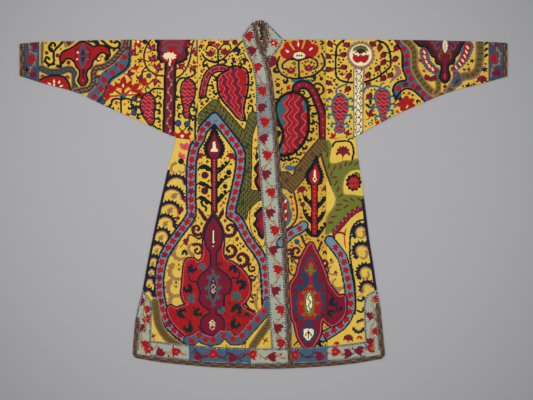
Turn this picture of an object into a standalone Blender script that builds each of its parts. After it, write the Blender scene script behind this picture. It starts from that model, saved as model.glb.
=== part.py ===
"""Embroidered Central Asian robe (chapan), laid flat on its back.

X runs along the sleeves, Y towards the collar, Z up from the surface it lies on.
Sizes are in millimetres until the meshes are made. X and Y are measured from the
middle of the robe's outline, so that the origin is the middle of its underside.
Every piece is a sheet or a flattened tube of cloth WALL thick. The back lies on the
surface, the right front lies on the back, and the left front and its band lie over
the right band.
"""

import math
from collections import namedtuple

import bpy
import bmesh

MM = 0.001

# ---------------------------------------------------------------- driving sizes
WALL = 2.0            # embroidered cotton with its lining, pressed flat
SEAM = 0.3            # between two pieces that are sewn together
AIR = 1.0             # between the back and the front that lies on it
EDGE_AIR = 0.3        # the same, where the two are sewn at the sides or meet at the hem
EDGE_RUN = 30.0       # how far in from an edge the front takes to rise to AIR
SHOULDER = 556.0      # height of the shoulder fold
FOLD_REACH = 2.5      # half of the two layers, the reach of a folded edge
TURN_UNDER = 3.0      # how far the front goes on under the fold, to its seam with the back
BAND_LIFT = WALL + SEAM   # what the left front rises to lie on the right band
LIFT_RUN = 45.0       # how far the left front takes to rise before its band
COLLAR_DOWN = (537.0, 595.0)   # the left band comes down again between these heights
TRIM = 15.0           # woven edging braid
HEM_BAND = 58.0       # border strip above the hem braid
CUFF_BAND = 53.0      # border strip round a cuff
VENT_TOP = -345.0     # where a side slit's border starts
BACK_INSET = 1.5      # the back lies this far inside the front's outline
GORE_TOP = 197.0      # seam of the side gore to the underside of the sleeve

# Sides of the body, at each height: free edge of the left and the right gore.
Side = namedtuple("Side", "y left right")
SIDES = [
    Side(y=-590, left=-472, right=439),
    Side(y=-507, left=-466, right=431),
    Side(y=-446, left=-460, right=425),
    Side(y=-392, left=-448, right=419),
    Side(y=-342, left=-435, right=409),
    Side(y=-255, left=-419, right=396),
    Side(y=-162, left=-400, right=381),
    Side(y=-57, left=-378, right=368),
    Side(y=51, left=-353, right=353),
    Side(y=104, left=-341, right=345),
    Side(y=150, left=-325, right=338),
    Side(y=206, left=-314, right=332),
]

# Hem line, at each distance from the middle.
Hem = namedtuple("Hem", "x y")
HEM = [
    Hem(x=-474, y=-587),
    Hem(x=-372, y=-604),
    Hem(x=-271, y=-615),
    Hem(x=-156, y=-624),
    Hem(x=6, y=-628),
    Hem(x=96, y=-626),
    Hem(x=229, y=-619),
    Hem(x=319, y=-610),
    Hem(x=405, y=-596),
    Hem(x=441, y=-589),
]

# Long seams of the body: centre cloth to sleeve above the gores, centre cloth to gore below.
Long = namedtuple("Long", "y left right")
BODY_SEAMS = [
    Long(y=-630, left=-273, right=232),
    Long(y=197, left=-236.0, right=225.0),
    Long(y=556, left=-235.4, right=224.4),
]

# Front bands. The left one has its seam on its left and its free edge, with the braid, on its right.
# The right one lies under it, with its free edge on its left and its seam on its right.
Band = namedtuple("Band", "y left_seam left_edge right_edge right_seam")
BANDS = [
    Band(y=-630, left_seam=33, left_edge=105, right_edge=37, right_seam=101),
    Band(y=-561, left_seam=29, left_edge=102, right_edge=33, right_seam=98),
    Band(y=-162, left_seam=5, left_edge=85, right_edge=9, right_seam=81),
    Band(y=29, left_seam=-10, left_edge=67, right_edge=-6, right_seam=63),
    Band(y=166, left_seam=-19, left_edge=57, right_edge=-15, right_seam=53),
    Band(y=324, left_seam=-26, left_edge=43, right_edge=-22, right_seam=39),
    Band(y=389, left_seam=-28, left_edge=36, right_edge=-24, right_seam=32),
    Band(y=430, left_seam=-34, left_edge=30, right_edge=-29, right_seam=26),
    Band(y=465, left_seam=-40, left_edge=22, right_edge=-28, right_seam=22),
    Band(y=490, left_seam=-52, left_edge=15, right_edge=-20, right_seam=28),
    Band(y=510, left_seam=-61, left_edge=6, right_edge=-9, right_seam=47),
    Band(y=537, left_seam=-70, left_edge=-7, right_edge=-2, right_seam=64),
    Band(y=556, left_seam=-75, left_edge=-13, right_edge=-1, right_seam=71),
    Band(y=568, left_seam=-76, left_edge=-16, right_edge=0, right_seam=61),
    Band(y=590, left_seam=-61, left_edge=-20, right_edge=-1, right_seam=39),
    Band(y=612, left_seam=-45, left_edge=-22, right_edge=-2, right_seam=17),
    Band(y=624, left_seam=-34, left_edge=-18, right_edge=-4, right_seam=5),
]

# Neck piece of the collar, behind the two bands.
Neck = namedtuple("Neck", "y left right")
NECK_BACK = [
    Neck(y=554, left=-70, right=66),
    Neck(y=575, left=-67, right=52),
    Neck(y=595, left=-54, right=32),
    Neck(y=612, left=-42, right=13),
    Neck(y=627, left=-27, right=-2),
]

# Inner edge of the border of each side slit. The braid starts lower, where the slit opens.
Vent = namedtuple("Vent", "y left right")
VENT_INNER = [
    Vent(y=-640, left=-405, right=367),
    Vent(y=-525, left=-404, right=365),
    Vent(y=-402, left=-401, right=362),
    Vent(y=-380, left=-407, right=364),
    Vent(y=-362, left=-421, right=374),
    Vent(y=VENT_TOP, left=-433.4, right=407.0),
    Vent(y=-320, left=-450, right=425),
]

# Sleeves: folded top edge and folded under edge at each distance from the middle.
Sleeve = namedtuple("Sleeve", "x top under")
SLEEVE_LEFT = [
    Sleeve(x=-877, top=541, under=426),
    Sleeve(x=-800, top=548, under=401),
    Sleeve(x=-667, top=552, under=364),
    Sleeve(x=-605, top=554, under=334),
    Sleeve(x=-523, top=555, under=297),
    Sleeve(x=-444, top=556, under=263),
    Sleeve(x=-370, top=556, under=227),
    Sleeve(x=-314, top=556, under=206),
    Sleeve(x=-236, top=556, under=GORE_TOP),
]
SLEEVE_RIGHT = [
    Sleeve(x=225, top=556, under=GORE_TOP),
    Sleeve(x=332, top=556, under=209),
    Sleeve(x=384, top=556, under=237),
    Sleeve(x=492, top=555, under=292),
    Sleeve(x=575, top=554, under=329),
    Sleeve(x=665, top=552, under=366),
    Sleeve(x=807, top=548, under=404),
    Sleeve(x=878, top=544, under=424),
]

# Largest soft waves of the cloth that lies on top: a ridge from one point to another.
Wave = namedtuple("Wave", "x0 y0 x1 y1 width height")
WAVES = [
    Wave(x0=-330, y0=230, x1=-560, y1=500, width=34, height=0.8),
    Wave(x0=-300, y0=150, x1=-330, y1=-300, width=30, height=0.7),
    Wave(x0=-180, y0=420, x1=-205, y1=40, width=40, height=0.5),
    Wave(x0=-640, y0=400, x1=-790, y1=520, width=28, height=0.6),
    Wave(x0=340, y0=240, x1=560, y1=490, width=34, height=0.8),
    Wave(x0=300, y0=130, x1=345, y1=-330, width=30, height=0.7),
    Wave(x0=170, y0=440, x1=185, y1=20, width=40, height=0.5),
    Wave(x0=600, y0=370, x1=770, y1=510, width=28, height=0.6),
]

# Cross rows of the body's cloth, by their height at the middle, close where the neck curves.
VENT_ROW, SLIT_ROW_LEFT, SLIT_ROW_RIGHT = -370, -478, -422
LOW_ROWS = [-515, -478, -445, -422, -403, -386, VENT_ROW]
BODY_ROWS = [-500, -445, -395, -345, -290, -230, -170, -110, -50, 10, 65, 115, 160]
CHEST_ROWS = [196, 240, 285, 324, 357, 389, 410, 430, 448, 465, 478, 490, 500, 510, 523, 537]
COLLAR_ROWS = [556, 568, 579, 590, 601, 612, 624]
HEM_TOP_ROW = -628 + TRIM + HEM_BAND

COLOURS = {
    "yellow": (0.62, 0.43, 0.06),
    "pale": (0.36, 0.36, 0.27),
    "blue": (0.13, 0.19, 0.24),
    "braid": (0.16, 0.07, 0.04),
}


def through(rows, at, column):
    """One column of a table at a place in its first column, on a smooth curve that doesn't overshoot."""
    xs = [row[0] for row in rows]
    ys = [getattr(row, column) for row in rows]
    if at <= xs[0]:
        return ys[0]
    if at >= xs[-1]:
        return ys[-1]
    i = max(k for k in range(len(xs) - 1) if xs[k] <= at)

    def slope(k):
        if k == 0 or k == len(xs) - 1:
            j = 0 if k == 0 else len(xs) - 2
            return (ys[j + 1] - ys[j]) / (xs[j + 1] - xs[j])
        before = (ys[k] - ys[k - 1]) / (xs[k] - xs[k - 1])
        after = (ys[k + 1] - ys[k]) / (xs[k + 1] - xs[k])
        if before * after <= 0:
            return 0.0
        return 2 * before * after / (before + after)

    run = xs[i + 1] - xs[i]
    t = (at - xs[i]) / run
    return (
        (2 * t**3 - 3 * t**2 + 1) * ys[i]
        + (t**3 - 2 * t**2 + t) * run * slope(i)
        + (-2 * t**3 + 3 * t**2) * ys[i + 1]
        + (t**3 - t**2) * run * slope(i + 1)
    )


def smooth(t):
    t = min(1.0, max(0.0, t))
    return t * t * (3 - 2 * t)


def edge(rows, column, by=0.0):
    """A long edge as a function of height, moved across by a distance."""
    return lambda y: through(rows, y, column) + by


def hem(x):
    return through(HEM, x, "y")


def row_height(x, level):
    """Height of a cross row at x: level at the chest, and along the hem's curve lower down."""
    bend = min(1.0, max(0.0, (GORE_TOP - level) / (GORE_TOP - HEM_TOP_ROW)))
    return level + bend * (hem(x) + 628)


# ---------------------------------------------------------------- heights
def waves(x, y):
    height = 0.0
    for w in WAVES:
        along = math.hypot(w.x1 - w.x0, w.y1 - w.y0)
        ux, uy = (w.x1 - w.x0) / along, (w.y1 - w.y0) / along
        t = ((x - w.x0) * ux + (y - w.y0) * uy) / along
        off = (x - w.x0) * uy - (y - w.y0) * ux
        ends = smooth(t / 0.25 + 0.6) * smooth((1 - t) / 0.25 + 0.6)
        height += w.height * ends * math.exp(-((off / w.width) ** 2))
    return height * smooth((SHOULDER - 5 - y) / 40)


def front_top(x, y):
    """Upper face of the front cloth where nothing lifts it."""
    near = min(x - through(SIDES, y, "left"), through(SIDES, y, "right") - x, y - hem(x))
    if y > GORE_TOP:
        near += y - GORE_TOP
    air = EDGE_AIR + (AIR - EDGE_AIR) * smooth(near / EDGE_RUN)
    return WALL + air + WALL + waves(x, y) * smooth(near / 60)


def left_top(x, y):
    """Upper face of the left front, which rises to lie on the right band."""
    ramp = smooth((x - through(BANDS, y, "left_seam") + LIFT_RUN) / LIFT_RUN)
    down = 1 - smooth((y - COLLAR_DOWN[0]) / (COLLAR_DOWN[1] - COLLAR_DOWN[0]))
    return front_top(x, y) + BAND_LIFT * ramp * down


def back_top(x, y):
    return WALL


# ---------------------------------------------------------------- making the pieces
def start():
    for old in list(bpy.data.objects):
        bpy.data.objects.remove(old, do_unlink=True)
    group = bpy.data.collections.new("chapan_robe")
    bpy.context.scene.collection.children.link(group)
    return group


def finish_of(name, colour):
    material = bpy.data.materials.new(name)
    material.use_nodes = True
    shader = material.node_tree.nodes["Principled BSDF"]
    shader.inputs["Base Color"].default_value = (*colour, 1)
    shader.inputs["Roughness"].default_value = 0.85
    shader.inputs["Metallic"].default_value = 0.0
    return material


def skin(group, name, rows, colour, closed=False):
    """An open surface through rows of points, thickened inwards to WALL."""
    mesh = bpy.data.meshes.new(name)
    bm = bmesh.new()
    grid = [[bm.verts.new((x * MM, y * MM, z * MM)) for x, y, z in row] for row in rows]
    for lower, upper in zip(grid, grid[1:]):
        count = len(lower)
        for i in range(count if closed else count - 1):
            j = (i + 1) % count
            bm.faces.new((lower[i], lower[j], upper[j], upper[i]))
    bm.normal_update()
    bm.to_mesh(mesh)
    bm.free()
    mesh.shade_smooth()
    mesh.set_sharp_from_angle(angle=math.radians(40))
    thing = bpy.data.objects.new(name, mesh)
    group.objects.link(thing)
    mesh.materials.append(finish_of(name, COLOURS[colour]))
    wall = thing.modifiers.new("wall", "SOLIDIFY")
    wall.thickness = WALL * MM
    wall.offset = -1
    wall.use_even_offset = True
    wall.use_rim = True
    return thing


def rows_between(levels, left, right, columns, top, ceiling=None, floor=None):
    """Cross rows from one edge to the other, half a seam inside each."""
    rows = []
    last = len(levels) - 1
    for n, level in enumerate(levels):
        nudge = SEAM / 2 if n == 0 else (-SEAM / 2 if n == last else 0.0)
        row = []
        for i in range(columns + 1):
            s = i / columns
            x, y = 0.0, level
            for _ in range(12):
                x = left(y) + SEAM / 2 + s * (right(y) - left(y) - SEAM)
                y = row_height(x, level) + nudge
                if ceiling:
                    y = min(y, ceiling(x))
                if floor:
                    y = max(y, floor(x))
            row.append((x, y, top(x, y)))
        rows.append(row)
    return rows


def roll_over(rows):
    """The shoulder fold: the top row goes round to the back's face, and on to its seam."""
    top_row = rows[-1]
    for turn in (45, 90, 135, 180):
        a = math.radians(turn)
        rows.append(
            [
                (x, y + FOLD_REACH * math.sin(a), z / 2 * (1 + math.cos(a)))
                for x, y, z in top_row
            ]
        )
    rows.append([(x, y - TURN_UNDER, 0.0) for x, y, _ in top_row])
    return rows


def ring(table, x, columns=10, corner=4):
    """Section of a flattened sleeve at x, closed, with rounded folds."""
    top = through(table, x, "top")
    under = through(table, x, "under")
    r = FOLD_REACH
    points = []
    for i in range(columns + 1):
        y = under + r + (top - under - 2 * r) * i / columns
        inside = smooth((y - under - r) / 40) * smooth((top - r - y) / 40)
        points.append((x, y, 2 * r + waves(x, y) * inside))
    for k in range(1, corner):
        a = math.pi * k / corner
        points.append((x, top - r + r * math.sin(a), r + r * math.cos(a)))
    for i in (2, 1, 0):
        points.append((x, under + r + (top - under - 2 * r) * i / 2, 0.0))
    for k in range(1, corner):
        a = math.pi * k / corner
        points.append((x, under + r - r * math.sin(a), r - r * math.cos(a)))
    return points


def tube(group, name, table, start_x, end_x, sections, colour):
    xs = [start_x + (end_x - start_x) * i / sections for i in range(sections + 1)]
    return skin(group, name, [ring(table, x) for x in reversed(xs)], colour, closed=True)


def main():
    group = start()
    body_left, body_right = edge(BODY_SEAMS, "left"), edge(BODY_SEAMS, "right")
    side_left, side_right = edge(SIDES, "left"), edge(SIDES, "right")
    vent_left, vent_right = edge(VENT_INNER, "left"), edge(VENT_INNER, "right")
    flat = FOLD_REACH

    def gore_left(y):
        return max(side_left(y), vent_left(y))

    def gore_right(y):
        return min(side_right(y), vent_right(y))

    def under_left(x):
        return through(SLEEVE_LEFT, x, "under") - SEAM

    def under_right(x):
        return through(SLEEVE_RIGHT, x, "under") - SEAM

    # Back: centre cloth, two gores and the hem border, flat on the surface.
    back_rows = [HEM_TOP_ROW] + BODY_ROWS[1::2] + [196, 330, 450, SHOULDER - flat - TURN_UNDER - SEAM / 2]
    skin(group, "back_panel", rows_between(back_rows, body_left, body_right, 4, back_top), "yellow")
    gore_rows = [HEM_TOP_ROW] + BODY_ROWS[1::2] + [230]
    skin(group, "gore_back_left", rows_between(
        gore_rows, edge(SIDES, "left", BACK_INSET), body_left, 4, back_top, under_left), "yellow")
    skin(group, "gore_back_right", rows_between(
        gore_rows, body_right, edge(SIDES, "right", -BACK_INSET), 4, back_top, under_right), "yellow")
    hem_back = [-628 + BACK_INSET, -628 + TRIM, HEM_TOP_ROW]
    inner_left, inner_right = edge(SIDES, "left", BACK_INSET), edge(SIDES, "right", -BACK_INSET)
    skin(group, "hem_trim_back", rows_between(hem_back[:2], inner_left, inner_right, 26, back_top), "braid")
    skin(group, "hem_band_back", rows_between(hem_back[1:], inner_left, inner_right, 26, back_top), "pale")

    # Fronts: each goes over the shoulder fold in one piece.
    left_seam, left_edge = edge(BANDS, "left_seam"), edge(BANDS, "left_edge")
    right_edge, right_seam = edge(BANDS, "right_edge"), edge(BANDS, "right_seam")
    front_rows = [HEM_TOP_ROW] + BODY_ROWS + CHEST_ROWS + [SHOULDER - flat + SEAM / 2]
    skin(group, "front_panel_left", roll_over(rows_between(
        front_rows, body_left, left_seam, 7, left_top)), "yellow")
    skin(group, "front_panel_right", roll_over(rows_between(
        front_rows, right_seam, body_right, 6, front_top)), "yellow")
    gore_rows = [HEM_TOP_ROW] + LOW_ROWS + BODY_ROWS[3:] + [230]
    skin(group, "gore_front_left", rows_between(
        gore_rows, gore_left, body_left, 4, front_top, under_left), "yellow")
    skin(group, "gore_front_right", rows_between(
        gore_rows, body_right, gore_right, 4, front_top, under_right), "yellow")

    # Sleeves, with a border and a braid round each cuff.
    cuff_left, cuff_right = -877 + TRIM + 3 + CUFF_BAND, 878 - TRIM - CUFF_BAND
    tube(group, "sleeve_left", SLEEVE_LEFT, cuff_left + SEAM / 2, -236.3, 15, "yellow")
    tube(group, "cuff_band_left", SLEEVE_LEFT, -877 + TRIM + 3 + SEAM / 2, cuff_left - SEAM / 2, 2, "blue")
    tube(group, "cuff_trim_left", SLEEVE_LEFT, -877, -877 + TRIM + 3 - SEAM / 2, 1, "braid")
    tube(group, "sleeve_right", SLEEVE_RIGHT, 225.3, cuff_right - SEAM / 2, 15, "yellow")
    tube(group, "cuff_band_right", SLEEVE_RIGHT, cuff_right + SEAM / 2, 878 - TRIM - SEAM / 2, 2, "blue")
    tube(group, "cuff_trim_right", SLEEVE_RIGHT, 878 - TRIM + SEAM / 2, 878, 1, "braid")

    # Front bands: the braid edges each one, over its whole length.
    band_rows = [HEM_TOP_ROW] + BODY_ROWS + CHEST_ROWS + COLLAR_ROWS
    trim_rows = [-628] + band_rows

    def left_inner(y):
        return max(left_edge(y) - TRIM, (left_seam(y) + left_edge(y)) / 2)

    def right_inner(y):
        return min(right_edge(y) + TRIM, (right_edge(y) + right_seam(y)) / 2)

    skin(group, "band_left", rows_between(band_rows, left_seam, left_inner, 2, left_top), "pale")
    skin(group, "trim_left", rows_between(trim_rows, left_inner, left_edge, 1, left_top), "braid")
    skin(group, "band_right", rows_between(band_rows, right_inner, right_seam, 2, front_top), "pale")
    skin(group, "trim_right", rows_between(trim_rows, right_edge, right_inner, 1, front_top), "braid")
    neck_rows = [SHOULDER - flat + 1, 568, 579, 590, 601, 612, 626]
    skin(group, "band_neck_back", rows_between(
        neck_rows, edge(NECK_BACK, "left"), edge(NECK_BACK, "right"), 2, back_top), "pale")

    # Hem borders of the fronts, and the borders of the side slits.
    low, high = -628 + TRIM, HEM_TOP_ROW
    skin(group, "hem_band_left", rows_between(
        [low, high], vent_left, left_inner, 18, left_top), "pale")
    skin(group, "hem_trim_left", rows_between(
        [-628, low], side_left, left_inner, 20, left_top), "braid")
    skin(group, "hem_band_right", rows_between(
        [low, high], right_inner, vent_right, 12, front_top), "pale")
    skin(group, "hem_trim_right", rows_between(
        [-628, low], right_inner, side_right, 14, front_top), "braid")
    slit = [low, HEM_TOP_ROW] + LOW_ROWS
    braid_left, braid_right = edge(SIDES, "left", TRIM), edge(SIDES, "right", -TRIM)
    open_left = [row for row in slit if row <= SLIT_ROW_LEFT]
    shut_left = [SLIT_ROW_LEFT + 1] + slit[len(open_left):]
    open_right = [row for row in slit if row <= SLIT_ROW_RIGHT]
    shut_right = [SLIT_ROW_RIGHT + 1] + slit[len(open_right):]
    skin(group, "vent_trim_left", rows_between(
        open_left[:-1] + [SLIT_ROW_LEFT - SEAM], side_left, braid_left, 1, front_top), "braid")
    skin(group, "vent_trim_right", rows_between(
        open_right[:-1] + [SLIT_ROW_RIGHT - SEAM], braid_right, side_right, 1, front_top), "braid")
    skin(group, "vent_band_left",
         rows_between(open_left, braid_left, vent_left, 2, front_top)
         + rows_between(shut_left, side_left, vent_left, 2, front_top), "pale")
    skin(group, "vent_band_right",
         rows_between(open_right, vent_right, braid_right, 2, front_top)
         + rows_between(shut_right, vent_right, side_right, 2, front_top), "pale")


main()
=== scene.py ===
import math
from collections import namedtuple

import bpy
import numpy as np
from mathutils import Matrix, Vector


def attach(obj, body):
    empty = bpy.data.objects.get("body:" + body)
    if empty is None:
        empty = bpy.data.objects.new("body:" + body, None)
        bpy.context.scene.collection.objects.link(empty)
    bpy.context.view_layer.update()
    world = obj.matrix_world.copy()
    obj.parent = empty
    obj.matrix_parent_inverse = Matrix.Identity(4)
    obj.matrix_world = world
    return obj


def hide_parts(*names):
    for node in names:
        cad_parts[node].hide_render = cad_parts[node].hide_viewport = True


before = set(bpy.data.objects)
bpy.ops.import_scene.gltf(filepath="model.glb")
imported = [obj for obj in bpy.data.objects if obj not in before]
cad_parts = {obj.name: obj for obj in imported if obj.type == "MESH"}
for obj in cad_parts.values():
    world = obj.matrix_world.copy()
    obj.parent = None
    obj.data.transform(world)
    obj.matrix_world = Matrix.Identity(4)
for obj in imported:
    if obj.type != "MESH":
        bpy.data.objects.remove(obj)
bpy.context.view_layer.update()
MM = 0.001

# ---------------------------------------------------------------- sizes, in mm, as in the CAD
WALL, SEAM, AIR, EDGE_AIR, EDGE_RUN = 2.0, 0.3, 1.0, 0.3, 30.0
SHOULDER, FOLD_REACH = 556.0, 2.5
BAND_LIFT, LIFT_RUN = WALL + SEAM, 45.0
COLLAR_DOWN = (537.0, 595.0)
TRIM, HEM_BAND, CUFF_BAND = 15.0, 58.0, 53.0
VENT_TOP, BACK_INSET, GORE_TOP = -345.0, 1.5, 197.0
HEM_LINE = -628.0
HEM_TOP = HEM_LINE + TRIM + HEM_BAND
SLIT_LEFT, SLIT_RIGHT = -445.0, -394.0     # where the side slits start to open
CORNER = 18.0                              # rounded hem corners

Side = namedtuple("Side", "y left right")
SIDES = [
    Side(-590, -472, 439), Side(-507, -466, 431), Side(-446, -460, 425), Side(-392, -448, 419),
    Side(-342, -435, 409), Side(-255, -419, 396), Side(-162, -400, 381), Side(-57, -378, 368),
    Side(51, -353, 353), Side(104, -341, 345), Side(150, -325, 338), Side(206, -314, 332),
]
Hem = namedtuple("Hem", "x y")
HEM = [
    Hem(-474, -587), Hem(-372, -604), Hem(-271, -615), Hem(-156, -624), Hem(6, -628),
    Hem(96, -626), Hem(229, -619), Hem(319, -610), Hem(405, -596), Hem(441, -589),
]
Long = namedtuple("Long", "y left right")
BODY_SEAMS = [Long(-630, -273, 232), Long(197, -236.0, 225.0), Long(556, -235.4, 224.4)]
Band = namedtuple("Band", "y left_seam left_edge right_edge right_seam")
BANDS = [
    Band(-630, 33, 105, 37, 101), Band(-561, 29, 102, 33, 98), Band(-162, 5, 85, 9, 81),
    Band(29, -10, 67, -6, 63), Band(166, -19, 57, -15, 53), Band(324, -26, 43, -22, 39),
    Band(389, -28, 36, -24, 32), Band(430, -34, 30, -29, 26), Band(465, -40, 22, -28, 22),
    Band(490, -52, 15, -20, 28), Band(510, -61, 6, -9, 47), Band(537, -70, -7, -2, 64),
    Band(556, -75, -13, -1, 71), Band(568, -76, -16, 0, 61), Band(590, -61, -20, -1, 39),
    Band(612, -45, -22, -2, 17), Band(624, -34, -18, -4, 5),
]
Neck = namedtuple("Neck", "y left right")
NECK_BACK = [Neck(554, -70, 66), Neck(575, -67, 52), Neck(595, -54, 32), Neck(612, -42, 13), Neck(627, -27, -2)]
Vent = namedtuple("Vent", "y left right")
VENT_INNER = [
    Vent(-640, -405, 367), Vent(-525, -404, 365), Vent(-402, -401, 362), Vent(-380, -407, 364),
    Vent(-362, -421, 374), Vent(VENT_TOP, -433.4, 407.0), Vent(-320, -450, 425),
]
Sleeve = namedtuple("Sleeve", "x top under")
SLEEVE_LEFT = [
    Sleeve(-877, 541, 426), Sleeve(-800, 548, 401), Sleeve(-667, 552, 364), Sleeve(-605, 554, 334),
    Sleeve(-523, 555, 297), Sleeve(-444, 556, 263), Sleeve(-370, 556, 227), Sleeve(-314, 556, 206),
    Sleeve(-236, 556, GORE_TOP),
]
SLEEVE_RIGHT = [
    Sleeve(225, 556, GORE_TOP), Sleeve(332, 556, 209), Sleeve(384, 556, 237), Sleeve(492, 555, 292),
    Sleeve(575, 554, 329), Sleeve(665, 552, 366), Sleeve(807, 548, 404), Sleeve(878, 544, 424),
]


def curve(rows, column):
    """One column of a table against its first column, on a smooth curve that doesn't overshoot."""
    xs = np.array([row[0] for row in rows], float)
    ys = np.array([getattr(row, column) for row in rows], float)
    secant = np.diff(ys) / np.diff(xs)
    slope = np.empty(len(xs))
    slope[0], slope[-1] = secant[0], secant[-1]
    for k in range(1, len(xs) - 1):
        a, b = secant[k - 1], secant[k]
        slope[k] = 0.0 if a * b <= 0 else 2 * a * b / (a + b)

    def f(at):
        at = np.clip(np.asarray(at, float), xs[0], xs[-1])
        i = np.clip(np.searchsorted(xs, at, side="right") - 1, 0, len(xs) - 2)
        run = xs[i + 1] - xs[i]
        t = (at - xs[i]) / run
        return ((2 * t**3 - 3 * t**2 + 1) * ys[i] + (t**3 - 2 * t**2 + t) * run * slope[i]
                + (-2 * t**3 + 3 * t**2) * ys[i + 1] + (t**3 - t**2) * run * slope[i + 1])
    return f


side_left, side_right = curve(SIDES, "left"), curve(SIDES, "right")
body_left, body_right = curve(BODY_SEAMS, "left"), curve(BODY_SEAMS, "right")
band_seam_left, band_edge_left = curve(BANDS, "left_seam"), curve(BANDS, "left_edge")
band_edge_right, band_seam_right = curve(BANDS, "right_edge"), curve(BANDS, "right_seam")
vent_left, vent_right = curve(VENT_INNER, "left"), curve(VENT_INNER, "right")
neck_left, neck_right = curve(NECK_BACK, "left"), curve(NECK_BACK, "right")
hem_line = curve(HEM, "y")
sleeve_top = {"left": curve(SLEEVE_LEFT, "top"), "right": curve(SLEEVE_RIGHT, "top")}
sleeve_under = {"left": curve(SLEEVE_LEFT, "under"), "right": curve(SLEEVE_RIGHT, "under")}


def smooth(t):
    t = np.clip(t, 0.0, 1.0)
    return t * t * (3 - 2 * t)


def row_height(x, level):
    """Height of a cross row at x: level at the chest, and along the hem's curve lower down."""
    bend = np.clip((GORE_TOP - level) / (GORE_TOP - HEM_TOP), 0, 1)
    return level + bend * (hem_line(x) - HEM_LINE)


def left_inner(y):
    return np.maximum(band_edge_left(y) - TRIM, (band_seam_left(y) + band_edge_left(y)) / 2)


def right_inner(y):
    return np.minimum(band_edge_right(y) + TRIM, (band_edge_right(y) + band_seam_right(y)) / 2)


# ---------------------------------------------------------------- embroidery
# The design is worked on a canvas of small stitches that lies over the robe's plan.
# Places are given in hundredths of the plan's frame: u to the right, v down, 3.6 mm each.
UNIT = 3.6                      # mm for one unit of u or v
MID_U, MID_V = 263.4, 194.1     # the middle of the robe's outline
STEP = 0.3                      # one canvas cell, in units: 1.08 mm
COLS, ROWS = 1680, 1230         # canvas cells
U0, V0 = 12.0, 12.0             # canvas corner

INK = {
    "yellow": (0.82, 0.695, 0.25), "amber": (0.73, 0.55, 0.24), "red": (0.66, 0.09, 0.11),
    "crimson": (0.50, 0.08, 0.20), "maroon": (0.33, 0.09, 0.19), "navy": (0.09, 0.12, 0.22),
    "black": (0.05, 0.07, 0.10), "green": (0.06, 0.18, 0.15), "teal": (0.22, 0.43, 0.45),
    "blue": (0.21, 0.33, 0.45), "sky": (0.46, 0.56, 0.62), "pale": (0.68, 0.71, 0.64),
    "olive": (0.40, 0.43, 0.19), "tan": (0.66, 0.50, 0.34), "cream": (0.90, 0.85, 0.70),
    "pink": (0.80, 0.38, 0.40), "mauve": (0.60, 0.46, 0.42), "brown": (0.35, 0.22, 0.14),
    "ochre": (0.62, 0.45, 0.20), "grey": (0.45, 0.50, 0.48), "rose": (0.74, 0.30, 0.32),
    "purple": (0.24, 0.10, 0.20), "dark": (0.03, 0.03, 0.04), "slate": (0.33, 0.37, 0.43),
    "gold": (0.85, 0.73, 0.31), "honey": (0.80, 0.665, 0.26), "lemon": (0.85, 0.74, 0.34), "sage": (0.47, 0.50, 0.44),
    "forest": (0.20, 0.30, 0.22), "cuff": (0.27, 0.34, 0.44), "stone": (0.66, 0.68, 0.62), "steel": (0.30, 0.42, 0.50),
    "grass": (0.45, 0.50, 0.19), "deep": (0.20, 0.28, 0.38), "mist": (0.52, 0.57, 0.58), "umber": (0.20, 0.14, 0.10),
}
INK_SWAP = {}    # a ground's name, worked in that panel's own shade
NAMES = list(INK)
INDEX = {name: i for i, name in enumerate(NAMES)}
canvas = np.full((ROWS, COLS), INDEX["yellow"], np.uint8)
mask = None      # where painting is allowed, or None for everywhere


def fill(points, ink):
    """Fill a closed outline by the even-odd rule."""
    p = np.asarray(points, float)
    x, y = (p[:, 0] - U0) / STEP, (p[:, 1] - V0) / STEP
    c0, c1 = int(max(0, math.floor(x.min()))), int(min(COLS - 1, math.ceil(x.max())))
    r0, r1 = int(max(0, math.floor(y.min()))), int(min(ROWS - 1, math.ceil(y.max())))
    if c1 < c0 or r1 < r0:
        return
    gx = np.arange(c0, c1 + 1) + 0.5
    gy = np.arange(r0, r1 + 1) + 0.5
    inside = np.zeros((len(gy), len(gx)), bool)
    xa, ya = x, y
    xb, yb = np.roll(x, -1), np.roll(y, -1)
    for k in range(len(x)):
        if ya[k] == yb[k]:
            continue
        rows = (gy > min(ya[k], yb[k])) & (gy <= max(ya[k], yb[k]))
        if not rows.any():
            continue
        cross = xa[k] + (gy[rows] - ya[k]) * (xb[k] - xa[k]) / (yb[k] - ya[k])
        inside[rows] ^= gx[None, :] < cross[:, None]
    put(r0, c0, inside, ink)


def put(r0, c0, inside, ink):
    ink = INK_SWAP.get(ink, ink)
    h, w = inside.shape
    if mask is not None:
        inside = inside & mask[r0:r0 + h, c0:c0 + w]
    canvas[r0:r0 + h, c0:c0 + w][inside] = INDEX[ink]


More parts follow.
